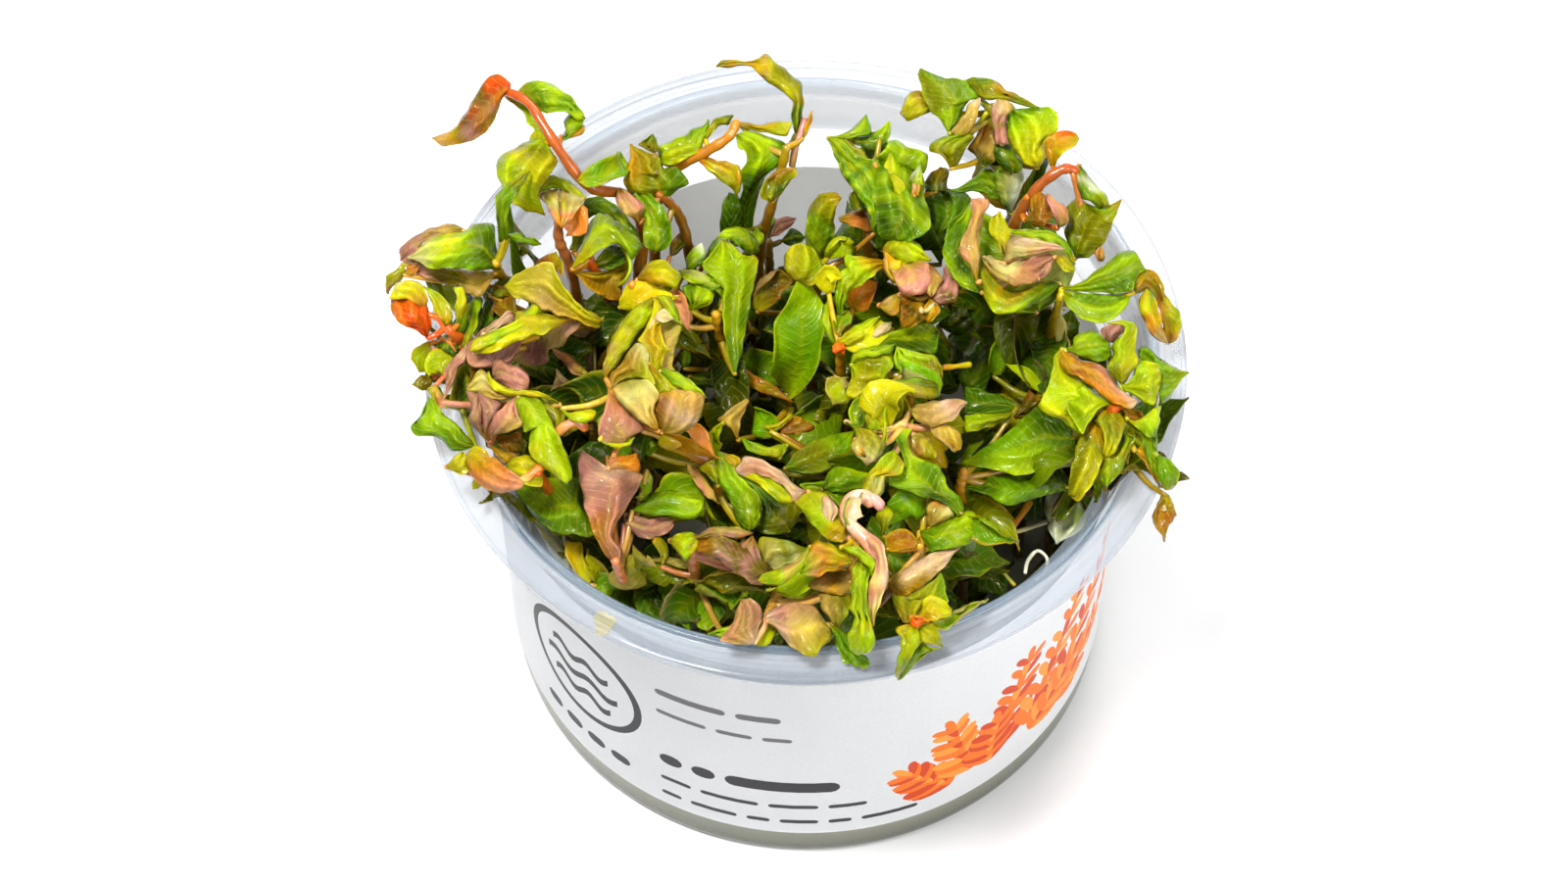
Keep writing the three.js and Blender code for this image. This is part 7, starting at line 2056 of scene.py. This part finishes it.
def leaf_material():
    material, nodes, links, shader = new_material("leaf_tissue")
    tint = tint_node(nodes)
    place = nodes.new("ShaderNodeUVMap")
    place.uv_map = "place"
    split = nodes.new("ShaderNodeSeparateXYZ")
    links.new(place.outputs["UV"], split.inputs[0])
    off_rib = math_node(nodes, links, "ABSOLUTE", math_node(nodes, links, "SUBTRACT", split.outputs[0], 0.5))
    sweep = math_node(nodes, links, "MULTIPLY", off_rib, 0.6)
    slant = math_node(nodes, links, "SUBTRACT", split.outputs[1], sweep)
    turn = math_node(nodes, links, "SINE", math_node(nodes, links, "MULTIPLY", slant, 44.0))
    vein = math_node(nodes, links, "POWER", signed_range(nodes, links, turn), 9.0)
    patches = noise_node(nodes, links, 300.0, 3.0, 0.4)
    mottle = noise_node(nodes, links, 1700.0, 5.0)
    light_stops = [(0.3, (0.66, 0.7, 0.5)), (0.68, (1.15, 1.1, 1.0))]
    light = ramp_node(nodes, links, patches.outputs["Fac"], light_stops)
    colour = mix_node(nodes, links, "MULTIPLY", 0.5, tint, light)
    fleck_stops = [(0.35, (0.8, 0.86, 0.6)), (0.65, (1.08, 1.06, 1.0))]
    fleck = ramp_node(nodes, links, mottle.outputs["Fac"], fleck_stops)
    colour = mix_node(nodes, links, "MULTIPLY", 0.3, colour, fleck)
    vein_share = math_node(nodes, links, "MULTIPLY", vein, 0.08)
    colour = mix_node(nodes, links, "MIX", vein_share, colour, (0.7, 0.66, 0.12))
    links.new(colour, shader.inputs["Base Color"])
    links.new(range_node(nodes, links, mottle.outputs["Fac"], 0.12, 0.3), shader.inputs["Roughness"])
    wrinkle = noise_node(nodes, links, 520.0, 5.0, 1.2)
    height = math_node(nodes, links, "ADD", math_node(nodes, links, "MULTIPLY", wrinkle.outputs["Fac"], 1.8),
                       math_node(nodes, links, "MULTIPLY", vein, 0.3))
    links.new(bump_node(nodes, links, height, 0.4, 0.0005), shader.inputs["Normal"])
    set_sockets(shader, {
        "Specular IOR Level": 0.14, "Specular Tint": (1.0, 0.96, 0.5, 1.0),
        "Subsurface Weight": 0.35, "Subsurface Radius": (1.0, 1.0, 0.15), "Subsurface Scale": 0.0007,
        "Coat Weight": 0.11, "Coat Roughness": 0.05,
    })
    return material


def stem_material():
    material, nodes, links, shader = new_material("stem_tissue")
    tint = tint_node(nodes)
    streak = noise_node(nodes, links, 700.0, 4.0, 0.5)
    stops = [(0.3, (0.68, 0.62, 0.55)), (0.7, (1.15, 1.1, 1.05))]
    light = ramp_node(nodes, links, streak.outputs["Fac"], stops)
    links.new(mix_node(nodes, links, "MULTIPLY", 0.8, tint, light), shader.inputs["Base Color"])
    set_sockets(shader, {
        "Roughness": 0.32, "Coat Weight": 0.3,
        "Subsurface Weight": 0.2, "Subsurface Radius": (1.0, 0.6, 0.3), "Subsurface Scale": 0.001,
    })
    links.new(bump_node(nodes, links, streak.outputs["Fac"], 0.4, 0.0003), shader.inputs["Normal"])
    return material


def cup_material(name, facing_alpha, grazing_alpha):
    material, nodes, links, shader = new_material(name)
    tint = tint_node(nodes)
    edge = nodes.new("ShaderNodeLayerWeight")
    edge.inputs["Blend"].default_value = 0.35
    haze = noise_node(nodes, links, 90.0, 2.0)
    colour = ramp_node(nodes, links, haze.outputs["Fac"], [(0.3, (0.94, 0.95, 0.96)), (0.7, (1, 1, 1))])
    for spacing in RING_SPACINGS:
        rings = nodes.new("ShaderNodeTexWave")
        rings.wave_type = "RINGS"
        rings.rings_direction = "Z"
        rings.inputs["Scale"].default_value = 2 * math.pi / (20 * spacing)
        place = nodes.new("ShaderNodeTexCoord")
        links.new(place.outputs["Object"], rings.inputs["Vector"])
        shade = ramp_node(nodes, links, rings.outputs["Fac"], [(0.1, (0.82, 0.86, 0.9)), (0.6, (1, 1, 1))])
        colour = mix_node(nodes, links, "MULTIPLY", 0.8, colour, shade)
    links.new(mix_node(nodes, links, "MULTIPLY", 1.0, tint, colour), shader.inputs["Base Color"])
    alpha = range_node(nodes, links, edge.outputs["Facing"], facing_alpha, grazing_alpha)
    links.new(alpha, shader.inputs["Alpha"])
    links.new(range_node(nodes, links, haze.outputs["Fac"], 0.08, 0.18), shader.inputs["Roughness"])
    shader.inputs["IOR"].default_value = 1.5
    return material


def sheet_material(name, colour, roughness, through):
    material, nodes, links, shader = new_material(name)
    grain = noise_node(nodes, links, 2600.0, 3.0)
    stops = [(0.35, tuple(value * 0.95 for value in colour)), (0.65, colour)]
    links.new(ramp_node(nodes, links, grain.outputs["Fac"], stops), shader.inputs["Base Color"])
    set_sockets(shader, {
        "Roughness": roughness, "Specular IOR Level": 0.08,
        "Subsurface Weight": through, "Subsurface Radius": (1, 1, 1), "Subsurface Scale": 0.002,
    })
    links.new(bump_node(nodes, links, grain.outputs["Fac"], 0.08, 0.00005), shader.inputs["Normal"])
    return material


def medium_material():
    material, nodes, links, shader = new_material("growth_gel")
    cloud = noise_node(nodes, links, 120.0, 5.0, 0.6)
    stops = [(0.3, (0.16, 0.155, 0.1)), (0.7, (0.31, 0.3, 0.21))]
    links.new(ramp_node(nodes, links, cloud.outputs["Fac"], stops), shader.inputs["Base Color"])
    set_sockets(shader, {"Roughness": 0.25, "Subsurface Weight": 0.3, "Subsurface Scale": 0.003})
    links.new(bump_node(nodes, links, cloud.outputs["Fac"], 0.3, 0.001), shader.inputs["Normal"])
    return material


def floor_material():
    material, nodes, links, shader = new_material("pale_floor")
    grain = noise_node(nodes, links, 30.0, 2.0)
    stops = [(0.3, (0.8, 0.8, 0.8)), (0.7, (0.84, 0.84, 0.84))]
    links.new(ramp_node(nodes, links, grain.outputs["Fac"], stops), shader.inputs["Base Color"])
    shader.inputs["Roughness"].default_value = 0.8
    return material


# Turned pieces


def turned(skin, profile, colour_at=None):
    """A profile of radius and height turned about the axis: its ends on the axis, or closed on itself."""
    closed = profile[0] == profile[-1]
    rings = profile[:-1] if closed else profile[1:-1]
    steps = ROUND_STEPS
    points = [
        [radius * math.cos(a), radius * math.sin(a), height]
        for radius, height in rings for a in round_angles(steps)
    ]
    faces = []
    spans = len(rings) if closed else len(rings) - 1
    for ring in range(spans):
        base = ring * steps
        above = ((ring + 1) % len(rings)) * steps
        for step in range(steps):
            after = (step + 1) % steps
            faces.append([base + step, base + after, above + after, above + step])
    if not closed:
        points += [[0, 0, profile[0][1]], [0, 0, profile[-1][1]]]
        top = (len(rings) - 1) * steps
        for step in range(steps):
            after = (step + 1) % steps
            faces.append([len(points) - 2, after, step])
            faces.append([len(points) - 1, top + step, top + after])
    colours = (1, 1, 1) if colour_at is None else [colour_at(point) for point in points]
    skin.add(points, faces, colours)


def rounded(corners):
    """A profile whose inner corners are rounded off."""
    out = [corners[0]]
    for before, corner, after in zip(corners, corners[1:], corners[2:]):
        a, b, c = np.array(before), np.array(corner), np.array(after)
        cut = CORNER_SHARE * min(np.linalg.norm(a - b), np.linalg.norm(c - b), LONGEST_CORNER_LEG)
        start, end = b + unit(a - b) * cut, b + unit(c - b) * cut
        for t in np.linspace(0, 1, CORNER_STEPS):
            out.append(tuple((1 - t) ** 2 * start + 2 * t * (1 - t) * b + t ** 2 * end))
    out.append(corners[-1])
    return out


CUP_PROFILE = [
    (0, BASE_HOLLOW),
    (BASE_RADIUS - BASE_HOLLOW_INWARD, BASE_HOLLOW),
    (BASE_RADIUS - BASE_FOOT_WIDTH, 0),
    (BASE_RADIUS, 0),
    (BASE_CORNER_RADIUS, BASE_CORNER_HEIGHT),
    (BODY_RADIUS_BASE, BASE_EDGE_HEIGHT),
    (BODY_RADIUS_BASE, LABEL_BOTTOM + 1),
    (BODY_RADIUS_TOP, BODY_TOP_HEIGHT),
    (COLLAR_INNER_RADIUS + WALL, COLLAR_FOOT_HEIGHT),
    (COLLAR_TOP_RADIUS, COLLAR_TOP_HEIGHT),
    (FLANGE_ROOT_RADIUS, FLANGE_TOP - FLANGE_THICKNESS),
    (LIP_INNER_RADIUS, FLANGE_TOP - FLANGE_THICKNESS),
    (LIP_TIP_INNER_RADIUS, FLANGE_TOP - LIP_DEPTH),
    (LIP_TIP_RADIUS, FLANGE_TOP - LIP_DEPTH),
    (FLANGE_RADIUS, FLANGE_TOP - FLANGE_RIM_DROP),
    (FLANGE_RADIUS - FLANGE_RIM_INSET, FLANGE_TOP - FLANGE_RIM_FALL),
    (BEAD_RADIUS + BEAD_FOOT_OUT, FLANGE_TOP),
    (BEAD_RADIUS + BEAD_EDGE_OUT, CUP_HEIGHT - BEAD_EDGE_DROP),
    (BEAD_RADIUS, CUP_HEIGHT),
    *[(BEAD_RADIUS - inward, CUP_HEIGHT - down) for inward, down in BEAD_INNER_STEPS],
    (COLLAR_INNER_RADIUS, COLLAR_INNER_FOOT_HEIGHT),
    (BODY_RADIUS_TOP - WALL, SHOULDER_HEIGHT),
    (BODY_RADIUS_BASE - WALL, BASE_EDGE_INNER_HEIGHT),
    (BASE_INNER_RADIUS, BASE_THICKNESS),
    (0, BASE_THICKNESS),
]
RING_SPACINGS = (0.0011, 0.00073)
DROP_SEEN = (616, 636)
DROP_RADIUS = 1.9
DROP_THICKNESS = 0.12
DROP_LIFT = 0.04
DROP_NARROWING = 0.7
DROP_STEPS = 24
DROP_RINGS = ((0, 1), (0.45, 0.85), (0.8, 0.5), (1, 0))
DROP_TINT = (0.5, 0.44, 0.2)
CLEAR_WALL = (0.6, 0.62, 0.64)
OVER_GEL = (0.3, 0.3, 0.22)
OVER_GEL_LOW = (0.13, 0.13, 0.09)
# Painted shade: the shoulder, lip and bead are bluish and darker where the plastic is seen edge on
SHOULDER_EDGE_SHADE = (0.3, 0.34, 0.38)
MILKY = (0.52, 0.53, 0.545)
MILKY_EDGE_SHADE = (0.42, 0.45, 0.49)
BLUE_EDGE_SHADE = (0.2, 0.27, 0.34)
LIP_BAND = 1.2
BEAD_BAND = 2.4
BEAD_BAND_OUT = 1
SHOULDER_BAND_BELOW = 1.5
SHOULDER_BAND_ABOVE = 2


def body_radius(height):
    share = (height - BASE_EDGE_HEIGHT) / (BODY_TOP_HEIGHT - BASE_EDGE_HEIGHT)
    return BODY_RADIUS_BASE + (BODY_RADIUS_TOP - BODY_RADIUS_BASE) * share


def cup_tint_and_edge_shade(point):
    """Colours for the plastic, with painted shade: bluish and darker in the bead, shoulder and lip, where it
    is seen edge on.
    """
    radius, height = math.hypot(point[0], point[1]), point[2]
    if radius > FLANGE_RADIUS - LIP_BAND:
        return MILKY_EDGE_SHADE
    if height > CUP_HEIGHT - BEAD_BAND and radius < BEAD_RADIUS + BEAD_BAND_OUT:
        return BLUE_EDGE_SHADE
    if SHOULDER_HEIGHT - SHOULDER_BAND_BELOW < height < SHOULDER_HEIGHT + SHOULDER_BAND_ABOVE:
        return SHOULDER_EDGE_SHADE
    if height > SHOULDER_HEIGHT:
        return MILKY
    if height > MEDIUM_TOP:
        return CLEAR_WALL
    return OVER_GEL_LOW if height < BASE_EDGE_HEIGHT + 1 else OVER_GEL


def make_cup():
    skin = Skin()
    turned(skin, rounded(CUP_PROFILE), cup_tint_and_edge_shade)
    middles = [sum(skin.points[corner][2] for corner in face) / len(face) for face in skin.faces]
    wall, rim, foot = range(3)
    skin.slots = [
        rim if middle > SHOULDER_HEIGHT else foot if middle < LABEL_BOTTOM + 1 else wall for middle in middles
    ]
    plastics = [
        cup_material("clear_wall", 0.04, 0.3),
        cup_material("milky_rim", 0.38, 0.72),
        cup_material("wall_over_gel", 0.7, 0.95),
    ]
    piece = skin.finish("cup_moulding", plastics)
    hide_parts("cup")


def make_drop():
    """A thin drop of gel dried on the flange, at the front left."""
    skin = Skin()
    middle = seen_at(*DROP_SEEN, FLANGE_TOP - PLANT_DATUM)
    for share, swelling in DROP_RINGS:
        for angle in round_angles(DROP_STEPS):
            reach = share * DROP_RADIUS * (1 + 0.16 * math.sin(3 * angle + 1) + 0.08 * math.sin(5 * angle))
            x = middle[0] + DROP_NARROWING * reach * math.cos(angle)
            y = middle[1] + reach * math.sin(angle)
            skin.points.append([x, y, FLANGE_TOP + DROP_LIFT + DROP_THICKNESS * swelling])
    count = DROP_STEPS
    for ring in range(len(DROP_RINGS) - 1):
        for step in range(count):
            following = (step + 1) % count
            a, b = ring * count + step, ring * count + following
            skin.faces.append([a, a + count, b + count, b] if ring else [a, a + count, b + count])
            skin.slots.append(0)
    skin.fill(DROP_TINT)
    skin.finish("dried_drop", [cup_material("dried_gel", 0.5, 0.7)])


def make_medium():
    skin = Skin()
    edge = BODY_RADIUS_BASE - WALL - GAP
    profile = [
        (0, BASE_THICKNESS + GAP), (MEDIUM_BASE_RADIUS, BASE_THICKNESS + GAP), (edge, MEDIUM_EDGE_HEIGHT),
        (edge, MEDIUM_TOP + MEDIUM_CREEP), (edge - MEDIUM_CREEP_WIDTH, MEDIUM_TOP), (0, MEDIUM_TOP),
    ]
    turned(skin, rounded(profile))
    piece = skin.finish("growth_gel_disc", [medium_material()])
    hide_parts("growth_medium")


# The label's print, in millimetres round the cup from its front and up from its base


def disc(across, height, radius):
    return [
        (across + radius * math.cos(a), height + radius * math.sin(a)) for a in round_angles(EMBLEM_STEPS)
    ]


def bar(across, height, length, thickness):
    """A bar with round ends."""
    radius = thickness / 2
    left = [(across + radius + radius * math.cos(a), height + radius * math.sin(a))
            for a in np.linspace(math.pi / 2, 3 * math.pi / 2, 7)]
    right = [(across + length - radius + radius * math.cos(a), height + radius * math.sin(a))
             for a in np.linspace(-math.pi / 2, math.pi / 2, 7)]
    inner = max(int(length / 2.5), 1)
    low = [(across + radius + (length - thickness) * k / inner, height - radius) for k in range(1, inner)]
    high = [
        (across + length - radius - (length - thickness) * k / inner, height + radius)
        for k in range(1, inner)
    ]
    return left + low + right + high


def ripple(across, height, length, thickness, swing):
    """A wavy band."""
    share = [k / RIPPLE_STEPS for k in range(RIPPLE_STEPS + 1)]
    line = [(across + length * s, height + swing * math.sin(s * 4 * math.pi)) for s in share]
    lower = [(x, z - thickness / 2) for x, z in line]
    upper = [(x, z + thickness / 2) for x, z in reversed(line)]
    return lower + upper


def petal(across, height, length, width, angle):
    """A round-ended leaflet from a point at its foot."""
    out = []
    for t in round_angles(PETAL_STEPS):
        x = length * (0.5 - 0.5 * math.cos(t))
        y = -width * math.sin(t) * (0.55 + 0.45 * x / length)
        out.append((across + x * math.cos(angle) - y * math.sin(angle),
                    height + x * math.sin(angle) + y * math.cos(angle)))
    return out


EMBLEM_ACROSS = -36
EMBLEM_HEIGHT = 29.6
EMBLEM_RADIUS = 11.5
EMBLEM_RING = 1.3
EMBLEM_STEPS = 48
EMBLEM_WAVES = 3
EMBLEM_WAVE_LENGTH = 14.5
EMBLEM_WAVE_SHORTER = 3
EMBLEM_WAVE_DROP = 5
EMBLEM_WAVE_PITCH = 4.2
EMBLEM_WAVE_THICKNESS = 1.6
EMBLEM_WAVE_SWING = 0.9
RIPPLE_STEPS = 16
PETAL_STEPS = 12
DASHES = 4
DASH_PITCH = 4.7
DASH_LEFT = 9
DASH_HEIGHT = 12.8
DASH_LENGTH = 3.6
DASH_THICKNESS = 2.2
TEXT_LEFT = -22
TEXT_LINES = [
    (39.2, 1.5, "soft", [10.5, 6.4]),
    (33.8, 1, "soft", [7.6, 5.2, 4.2]),
    (20.4, 2.8, "dark", [3.6, 3.6, 16.5]),
    (14.6, 1, "dark", [4.8, 8.6, 7.2, 5.6]),
    (10.2, 1, "dark", [3.2, 7, 3.4, 5.6, 3.4, 8.4]),
]
WORD_SPACE = 1.4
FAN_ACROSS = 29
FAN_HEIGHT = 11
SPRIG_PAIRS = 8
SPRIGS = [
    (-6, -50, 14), (-3, -22, 19), (0, 8, 24), (4, 22, 29),
    (7, 36, 32), (9, 60, 22), (-1, -6, 12), (5, 48, 14),
]


def print_shapes():
    """Outlines in the order they are laid down, each with its ink."""
    shapes = [
        ("dark", disc(EMBLEM_ACROSS, EMBLEM_HEIGHT, EMBLEM_RADIUS)),
        ("paper", disc(EMBLEM_ACROSS, EMBLEM_HEIGHT, EMBLEM_RADIUS - EMBLEM_RING)),
    ]
    for row in range(EMBLEM_WAVES):
        length = EMBLEM_WAVE_LENGTH - abs(row - 1) * EMBLEM_WAVE_SHORTER
        across = EMBLEM_ACROSS - length / 2
        height = EMBLEM_HEIGHT - EMBLEM_WAVE_DROP + row * EMBLEM_WAVE_PITCH
        shapes.append(("dark", ripple(across, height, length, EMBLEM_WAVE_THICKNESS, EMBLEM_WAVE_SWING)))
    for step in range(DASHES):
        across = EMBLEM_ACROSS - DASH_LEFT + step * DASH_PITCH
        shapes.append(("dark", bar(across, DASH_HEIGHT, DASH_LENGTH, DASH_THICKNESS)))
    for height, thickness, ink, words in TEXT_LINES:
        across = TEXT_LEFT
        for length in words:
            shapes.append((ink, bar(across, height, length, thickness)))
            across += length + WORD_SPACE
    for number, (foot, lean, reach) in enumerate(SPRIGS):
        angle = math.radians(90 - lean)
        for step in range(SPRIG_PAIRS):
            share = (step + 1.5) / (SPRIG_PAIRS + 1)
            x = FAN_ACROSS + foot + reach * share * math.cos(angle) + 2.5 * share ** 2
            z = FAN_HEIGHT + reach * share * math.sin(angle)
            size = 7 - 3.2 * share
            for hand in (-1, 1, 0):
                ink = ("orange", "flame", "coral", "orange")[(step * 2 + number + hand) % 4]
                shapes.append((ink, petal(x, z, size, size * 0.24, angle + hand * (0.75 + 0.1 * (step % 3)))))
    return shapes


INKS = {
    "paper": (0.80, 0.82, 0.85),
    "soft": (0.13, 0.13, 0.135),
    "dark": (0.03, 0.03, 0.033),
    "orange": (0.8, 0.15, 0.006),
    "flame": (0.55, 0.045, 0.004),
    "coral": (0.86, 0.27, 0.03),
    "inside": (0.95, 0.94, 0.84),
}
LABEL_STEPS = 180
PRINT_INSET = 0.4
PRINT_GRID = 6


def make_label():
    """One sheet round the cup: its print is cut into its outer face, and its inner face is bare."""
    shapes = print_shapes()
    names = list(INKS)
    half_turn = math.pi * BODY_RADIUS_BASE
    points, outlines = [], []

    def outline(places):
        start = len(points)
        points.extend(places)
        outlines.append(list(range(start, len(points))))

    low, high = float(LABEL_BOTTOM), float(LABEL_TOP)
    row = [-half_turn + 2 * half_turn * k / LABEL_STEPS for k in range(LABEL_STEPS + 1)]
    outline([(x, low) for x in row] + [(x, high) for x in reversed(row)])
    for _, places in shapes:
        outline([(x, min(max(z, low + PRINT_INSET), high - PRINT_INSET)) for x, z in places])
    for height in np.arange(low + PRINT_GRID, high - 1, PRINT_GRID):
        points.extend((x, float(height)) for x in row[1:-1])
    found, _, faces, _, _, owners = delaunay_2d_cdt(points, [], outlines, 1, 1e-5, True)
    skin = Skin()

    def wrapped(x, z, depth):
        angle = x / BODY_RADIUS_BASE - math.pi / 2
        radius = body_radius(z) + LABEL_GAP + depth
        return [radius * math.cos(angle), radius * math.sin(angle), z]

    outer = [wrapped(p[0], p[1], LABEL_THICKNESS) for p in found]
    for face, owner in zip(faces, owners):
        top = max(owner) if owner else 0
        ink = names.index("paper" if top == 0 else shapes[top - 1][0])
        skin.slots.append(ink)
        skin.faces.append(list(face))
    skin.points.extend(outer)
    start = len(skin.points)
    for x in row:
        skin.points.append(wrapped(x, low, 0))
        skin.points.append(wrapped(x, high, 0))
        skin.points.append(wrapped(x, low, LABEL_THICKNESS))
        skin.points.append(wrapped(x, high, LABEL_THICKNESS))
    for step in range(LABEL_STEPS):
        a = start + 4 * step
        b = a + 4
        for face in ([a, a + 1, b + 1, b], [a + 2, a, b, b + 2], [a + 1, a + 3, b + 3, b + 1]):
            skin.faces.append(face)
            skin.slots.append(names.index("inside"))
    skin.fill((1, 1, 1))
    materials = [sheet_material("label_" + name, colour, 0.38, 0.7 if name in ("paper", "inside") else 0)
                 for name, colour in INKS.items()]
    piece = skin.finish("label_sheet", materials)
    piece.data.polygons.foreach_set("use_smooth", [False] * len(piece.data.polygons))
    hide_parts("label")


# Plants

CRUMPLED = {
    "shoot_crinkled": 1.4, "shoot_orange_crumple": 1.3, "shoot_olive_crumple": 1.4, "shoot_pale_crumple": 1.4,
    "shoot_right_broad": 1.3, "shoot_yellow_fold": 1.2, "shoot_broad_right": 0.5, "shoot_centre_blade": 0.6,
    "shoot_tall_leaf": 0.25, "shoot_lime_star": 0.8, "shoot_far_left_arch": 0.8,
}


def stem_points(shoot):
    seen = [seen_at(across, down, shoot["height"] + rise) for across, down, rise in shoot["stem"]]
    points = clear_of_cup(seen, STEM_RADIUS + 2 * GAP)
    reach = min(1, ROOT_REACH / math.hypot(points[0][0], points[0][1]))
    return np.vstack([[points[0][0] * reach, points[0][1] * reach, ROOT_HEIGHT], points])


def undergrowth(skin, path, chance, top):
    """Leaves in crossed pairs low on a stem, up to a height, each darkened as painted shade."""
    heights = path[:, 2]
    turn = chance.uniform(0, math.pi)
    for level in range(LOW_LEAF_LEVELS):
        share = 0.16 + 0.1 * level + chance.uniform(-0.03, 0.03)
        index = int(share * (len(path) - 1))
        if not MEDIUM_TOP + LOW_LEAF_MEDIUM_GAP < heights[index] < top:
            continue
        foot = path[index]
        turn += math.pi / 2 + chance.uniform(-0.3, 0.3)
        for hand in (0, math.pi):
            heading = turn + hand
            out = np.array([math.cos(heading), math.sin(heading), 0])
            length = chance.uniform(7, 12)
            rise = chance.uniform(-2, 3)
            halfway = foot + out * length * 0.5 + [0, 0, rise * 0.8 + 1]
            tip = foot + out * length + [0, 0, rise - 1.5]
            midrib = clear_of_cup([foot, halfway, tip], LOW_LEAF_CLEARANCE)
            tint = LOW_LEAF_TINTS[int(chance.integers(len(LOW_LEAF_TINTS)))]
            # Each low leaf is darkened by its shade share: painted shade deep in the cup
            leaf(skin, midrib, chance.uniform(2.2, 3.4), chance.uniform(-30, 30), 15, tint, WIDEST_PLACE,
                 chance, step=LOW_LEAF_STEP, shade=chance.uniform(0.35, 0.8))


def make_shoot(shoot, number, tissue):
    """A stem with its blades, strands, leaves and stalks, and the small leaves low on it."""
    chance = np.random.default_rng(FIRST_SEED + number)
    skin = Skin()
    crumple = CRUMPLED.get(shoot["name"], 1.0)
    path, _ = curve_through(stem_points(shoot), STEM_STEPS)
    along = np.linspace(0, 1, len(path))
    swelling = 1 + NODE_SWELLING * np.sin(along * 2 * math.pi * STEM_NODES)
    radii = (STEM_FOOT_RADIUS - STEM_TAPER * along) * swelling
    low = display(blend(TINTS["brown"], TINTS["rust"], chance.random()))
    high = blend(TINTS[shoot["tint"]], TINTS["orange"], chance.uniform(0.3, 0.7))
    if shoot["name"] in STEM_TINTS:
        high = blend(TINTS[STEM_TINTS[shoot["name"]]], TINTS["rust"], 0.45)
    high = display(high)
    colours = blend(low[None], high[None], along[:, None] ** 1.5)
    tube(skin, path, radii, colours, slot=1)
    feet = []
    for row in shoot.get("blades", []):
        first_tint = row[5].split()[0].split(">")[0]
        feet.append((blade(skin, shoot, row, chance), first_tint))
    for points, radius, tints in shoot.get("strands", []):
        strand(skin, shoot, points, radius, tints)
    for row in shoot["leaves"]:
        midrib, half_width, roll, fold, tint = row[:5]
        peak = row[5] if len(row) > 5 else WIDEST_PLACE
        points = [seen_at(across, down, shoot["height"] + rise) for across, down, rise in midrib]
        points = clear_of_cup(points, GAP)
        leaf(skin, points, half_width, roll, fold, tint, peak, chance, crumple)
        feet.append((points[0], tint))
    for foot, tint in feet:
        nearest = np.argmin(np.linalg.norm(path - foot, axis=1))
        gap = np.linalg.norm(foot - path[nearest])
        if gap > LONGEST_BARE_GAP:
            lower = path[max(0, nearest - int(gap / 3))]
            middle = (lower + foot) / 2 + [0, 0, -STALK_SAG * gap]
            stalk, _ = curve_through([lower, middle, foot], STALK_STEPS)
            stalk = clear_of_cup(stalk, STALK_CLEARANCE)
            radii = np.linspace(*STALK_RADII, STALK_STEPS)
            tube(skin, stalk, radii, blend(high, tint_light(tint), 0.4), 6, slot=1)
    undergrowth(skin, path, chance, BARE_ABOVE.get(shoot["name"], CUP_HEIGHT))
    piece = skin.finish(shoot["name"] + "_leaves", tissue)
    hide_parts(shoot["name"])


# Studio, in metres

FLOOR_HALF = 1.6
LIT_PLACE = (0, 0, 0.05)
NEAREST_SEEN = 0.01
SKY_STRENGTH = 0.32
LIGHTS = [
    ("key", (-0.2, -0.1, 0.8), 0.2, 8.0),
    ("fill", (0.45, -0.45, 0.6), 0.5, 5.0),
    ("back", (0.15, 0.6, 0.6), 0.4, 3.0),
]


def make_camera():
    data = bpy.data.cameras.new("camera")
    data.sensor_fit = "HORIZONTAL"
    data.lens = VIEW_LENGTH * data.sensor_width / FRAME_WIDTH
    data.clip_start = NEAREST_SEEN
    camera = add_object("camera", data)
    columns = np.column_stack([RIGHT, UP, -AHEAD])
    matrix = Matrix(columns.tolist()).to_4x4()
    matrix.translation = (EYE * MM).tolist()
    camera.matrix_world = matrix
    bpy.context.scene.camera = camera


def make_floor():
    mesh = bpy.data.meshes.new("floor")
    half = FLOOR_HALF
    corners = [(-half, -half, 0), (half, -half, 0), (half, half, 0), (-half, half, 0)]
    mesh.from_pydata(corners, [], [[0, 1, 2, 3]])
    mesh.materials.append(floor_material())
    floor = add_object("floor", mesh)


def area_light(name, place, size, power):
    data = bpy.data.lights.new(name, "AREA")
    data.shape = "DISK"
    data.size = size
    data.energy = power
    lamp = add_object(name, data)
    back = unit(np.array(place) - LIT_PLACE)
    side = unit(np.cross([0.1, 1, 0.2], back))
    lamp.matrix_world = Matrix(np.column_stack([side, np.cross(back, side), back]).tolist()).to_4x4()
    lamp.location = place


def make_lights():
    for light in LIGHTS:
        area_light(*light)
    world = bpy.data.worlds.new("studio")
    world.use_nodes = True
    set_sockets(world.node_tree.nodes["Background"], {"Color": (1, 1, 1, 1), "Strength": SKY_STRENGTH})
    bpy.context.scene.world = world
    bpy.context.scene.view_settings.view_transform = "Standard"


make_camera()
make_cup()
make_medium()
make_drop()
make_label()
plant_tissue = [leaf_material(), stem_material()]
for shoot_number, one_shoot in enumerate(SHOOTS):
    make_shoot(one_shoot, shoot_number, plant_tissue)
make_floor()
make_lights()
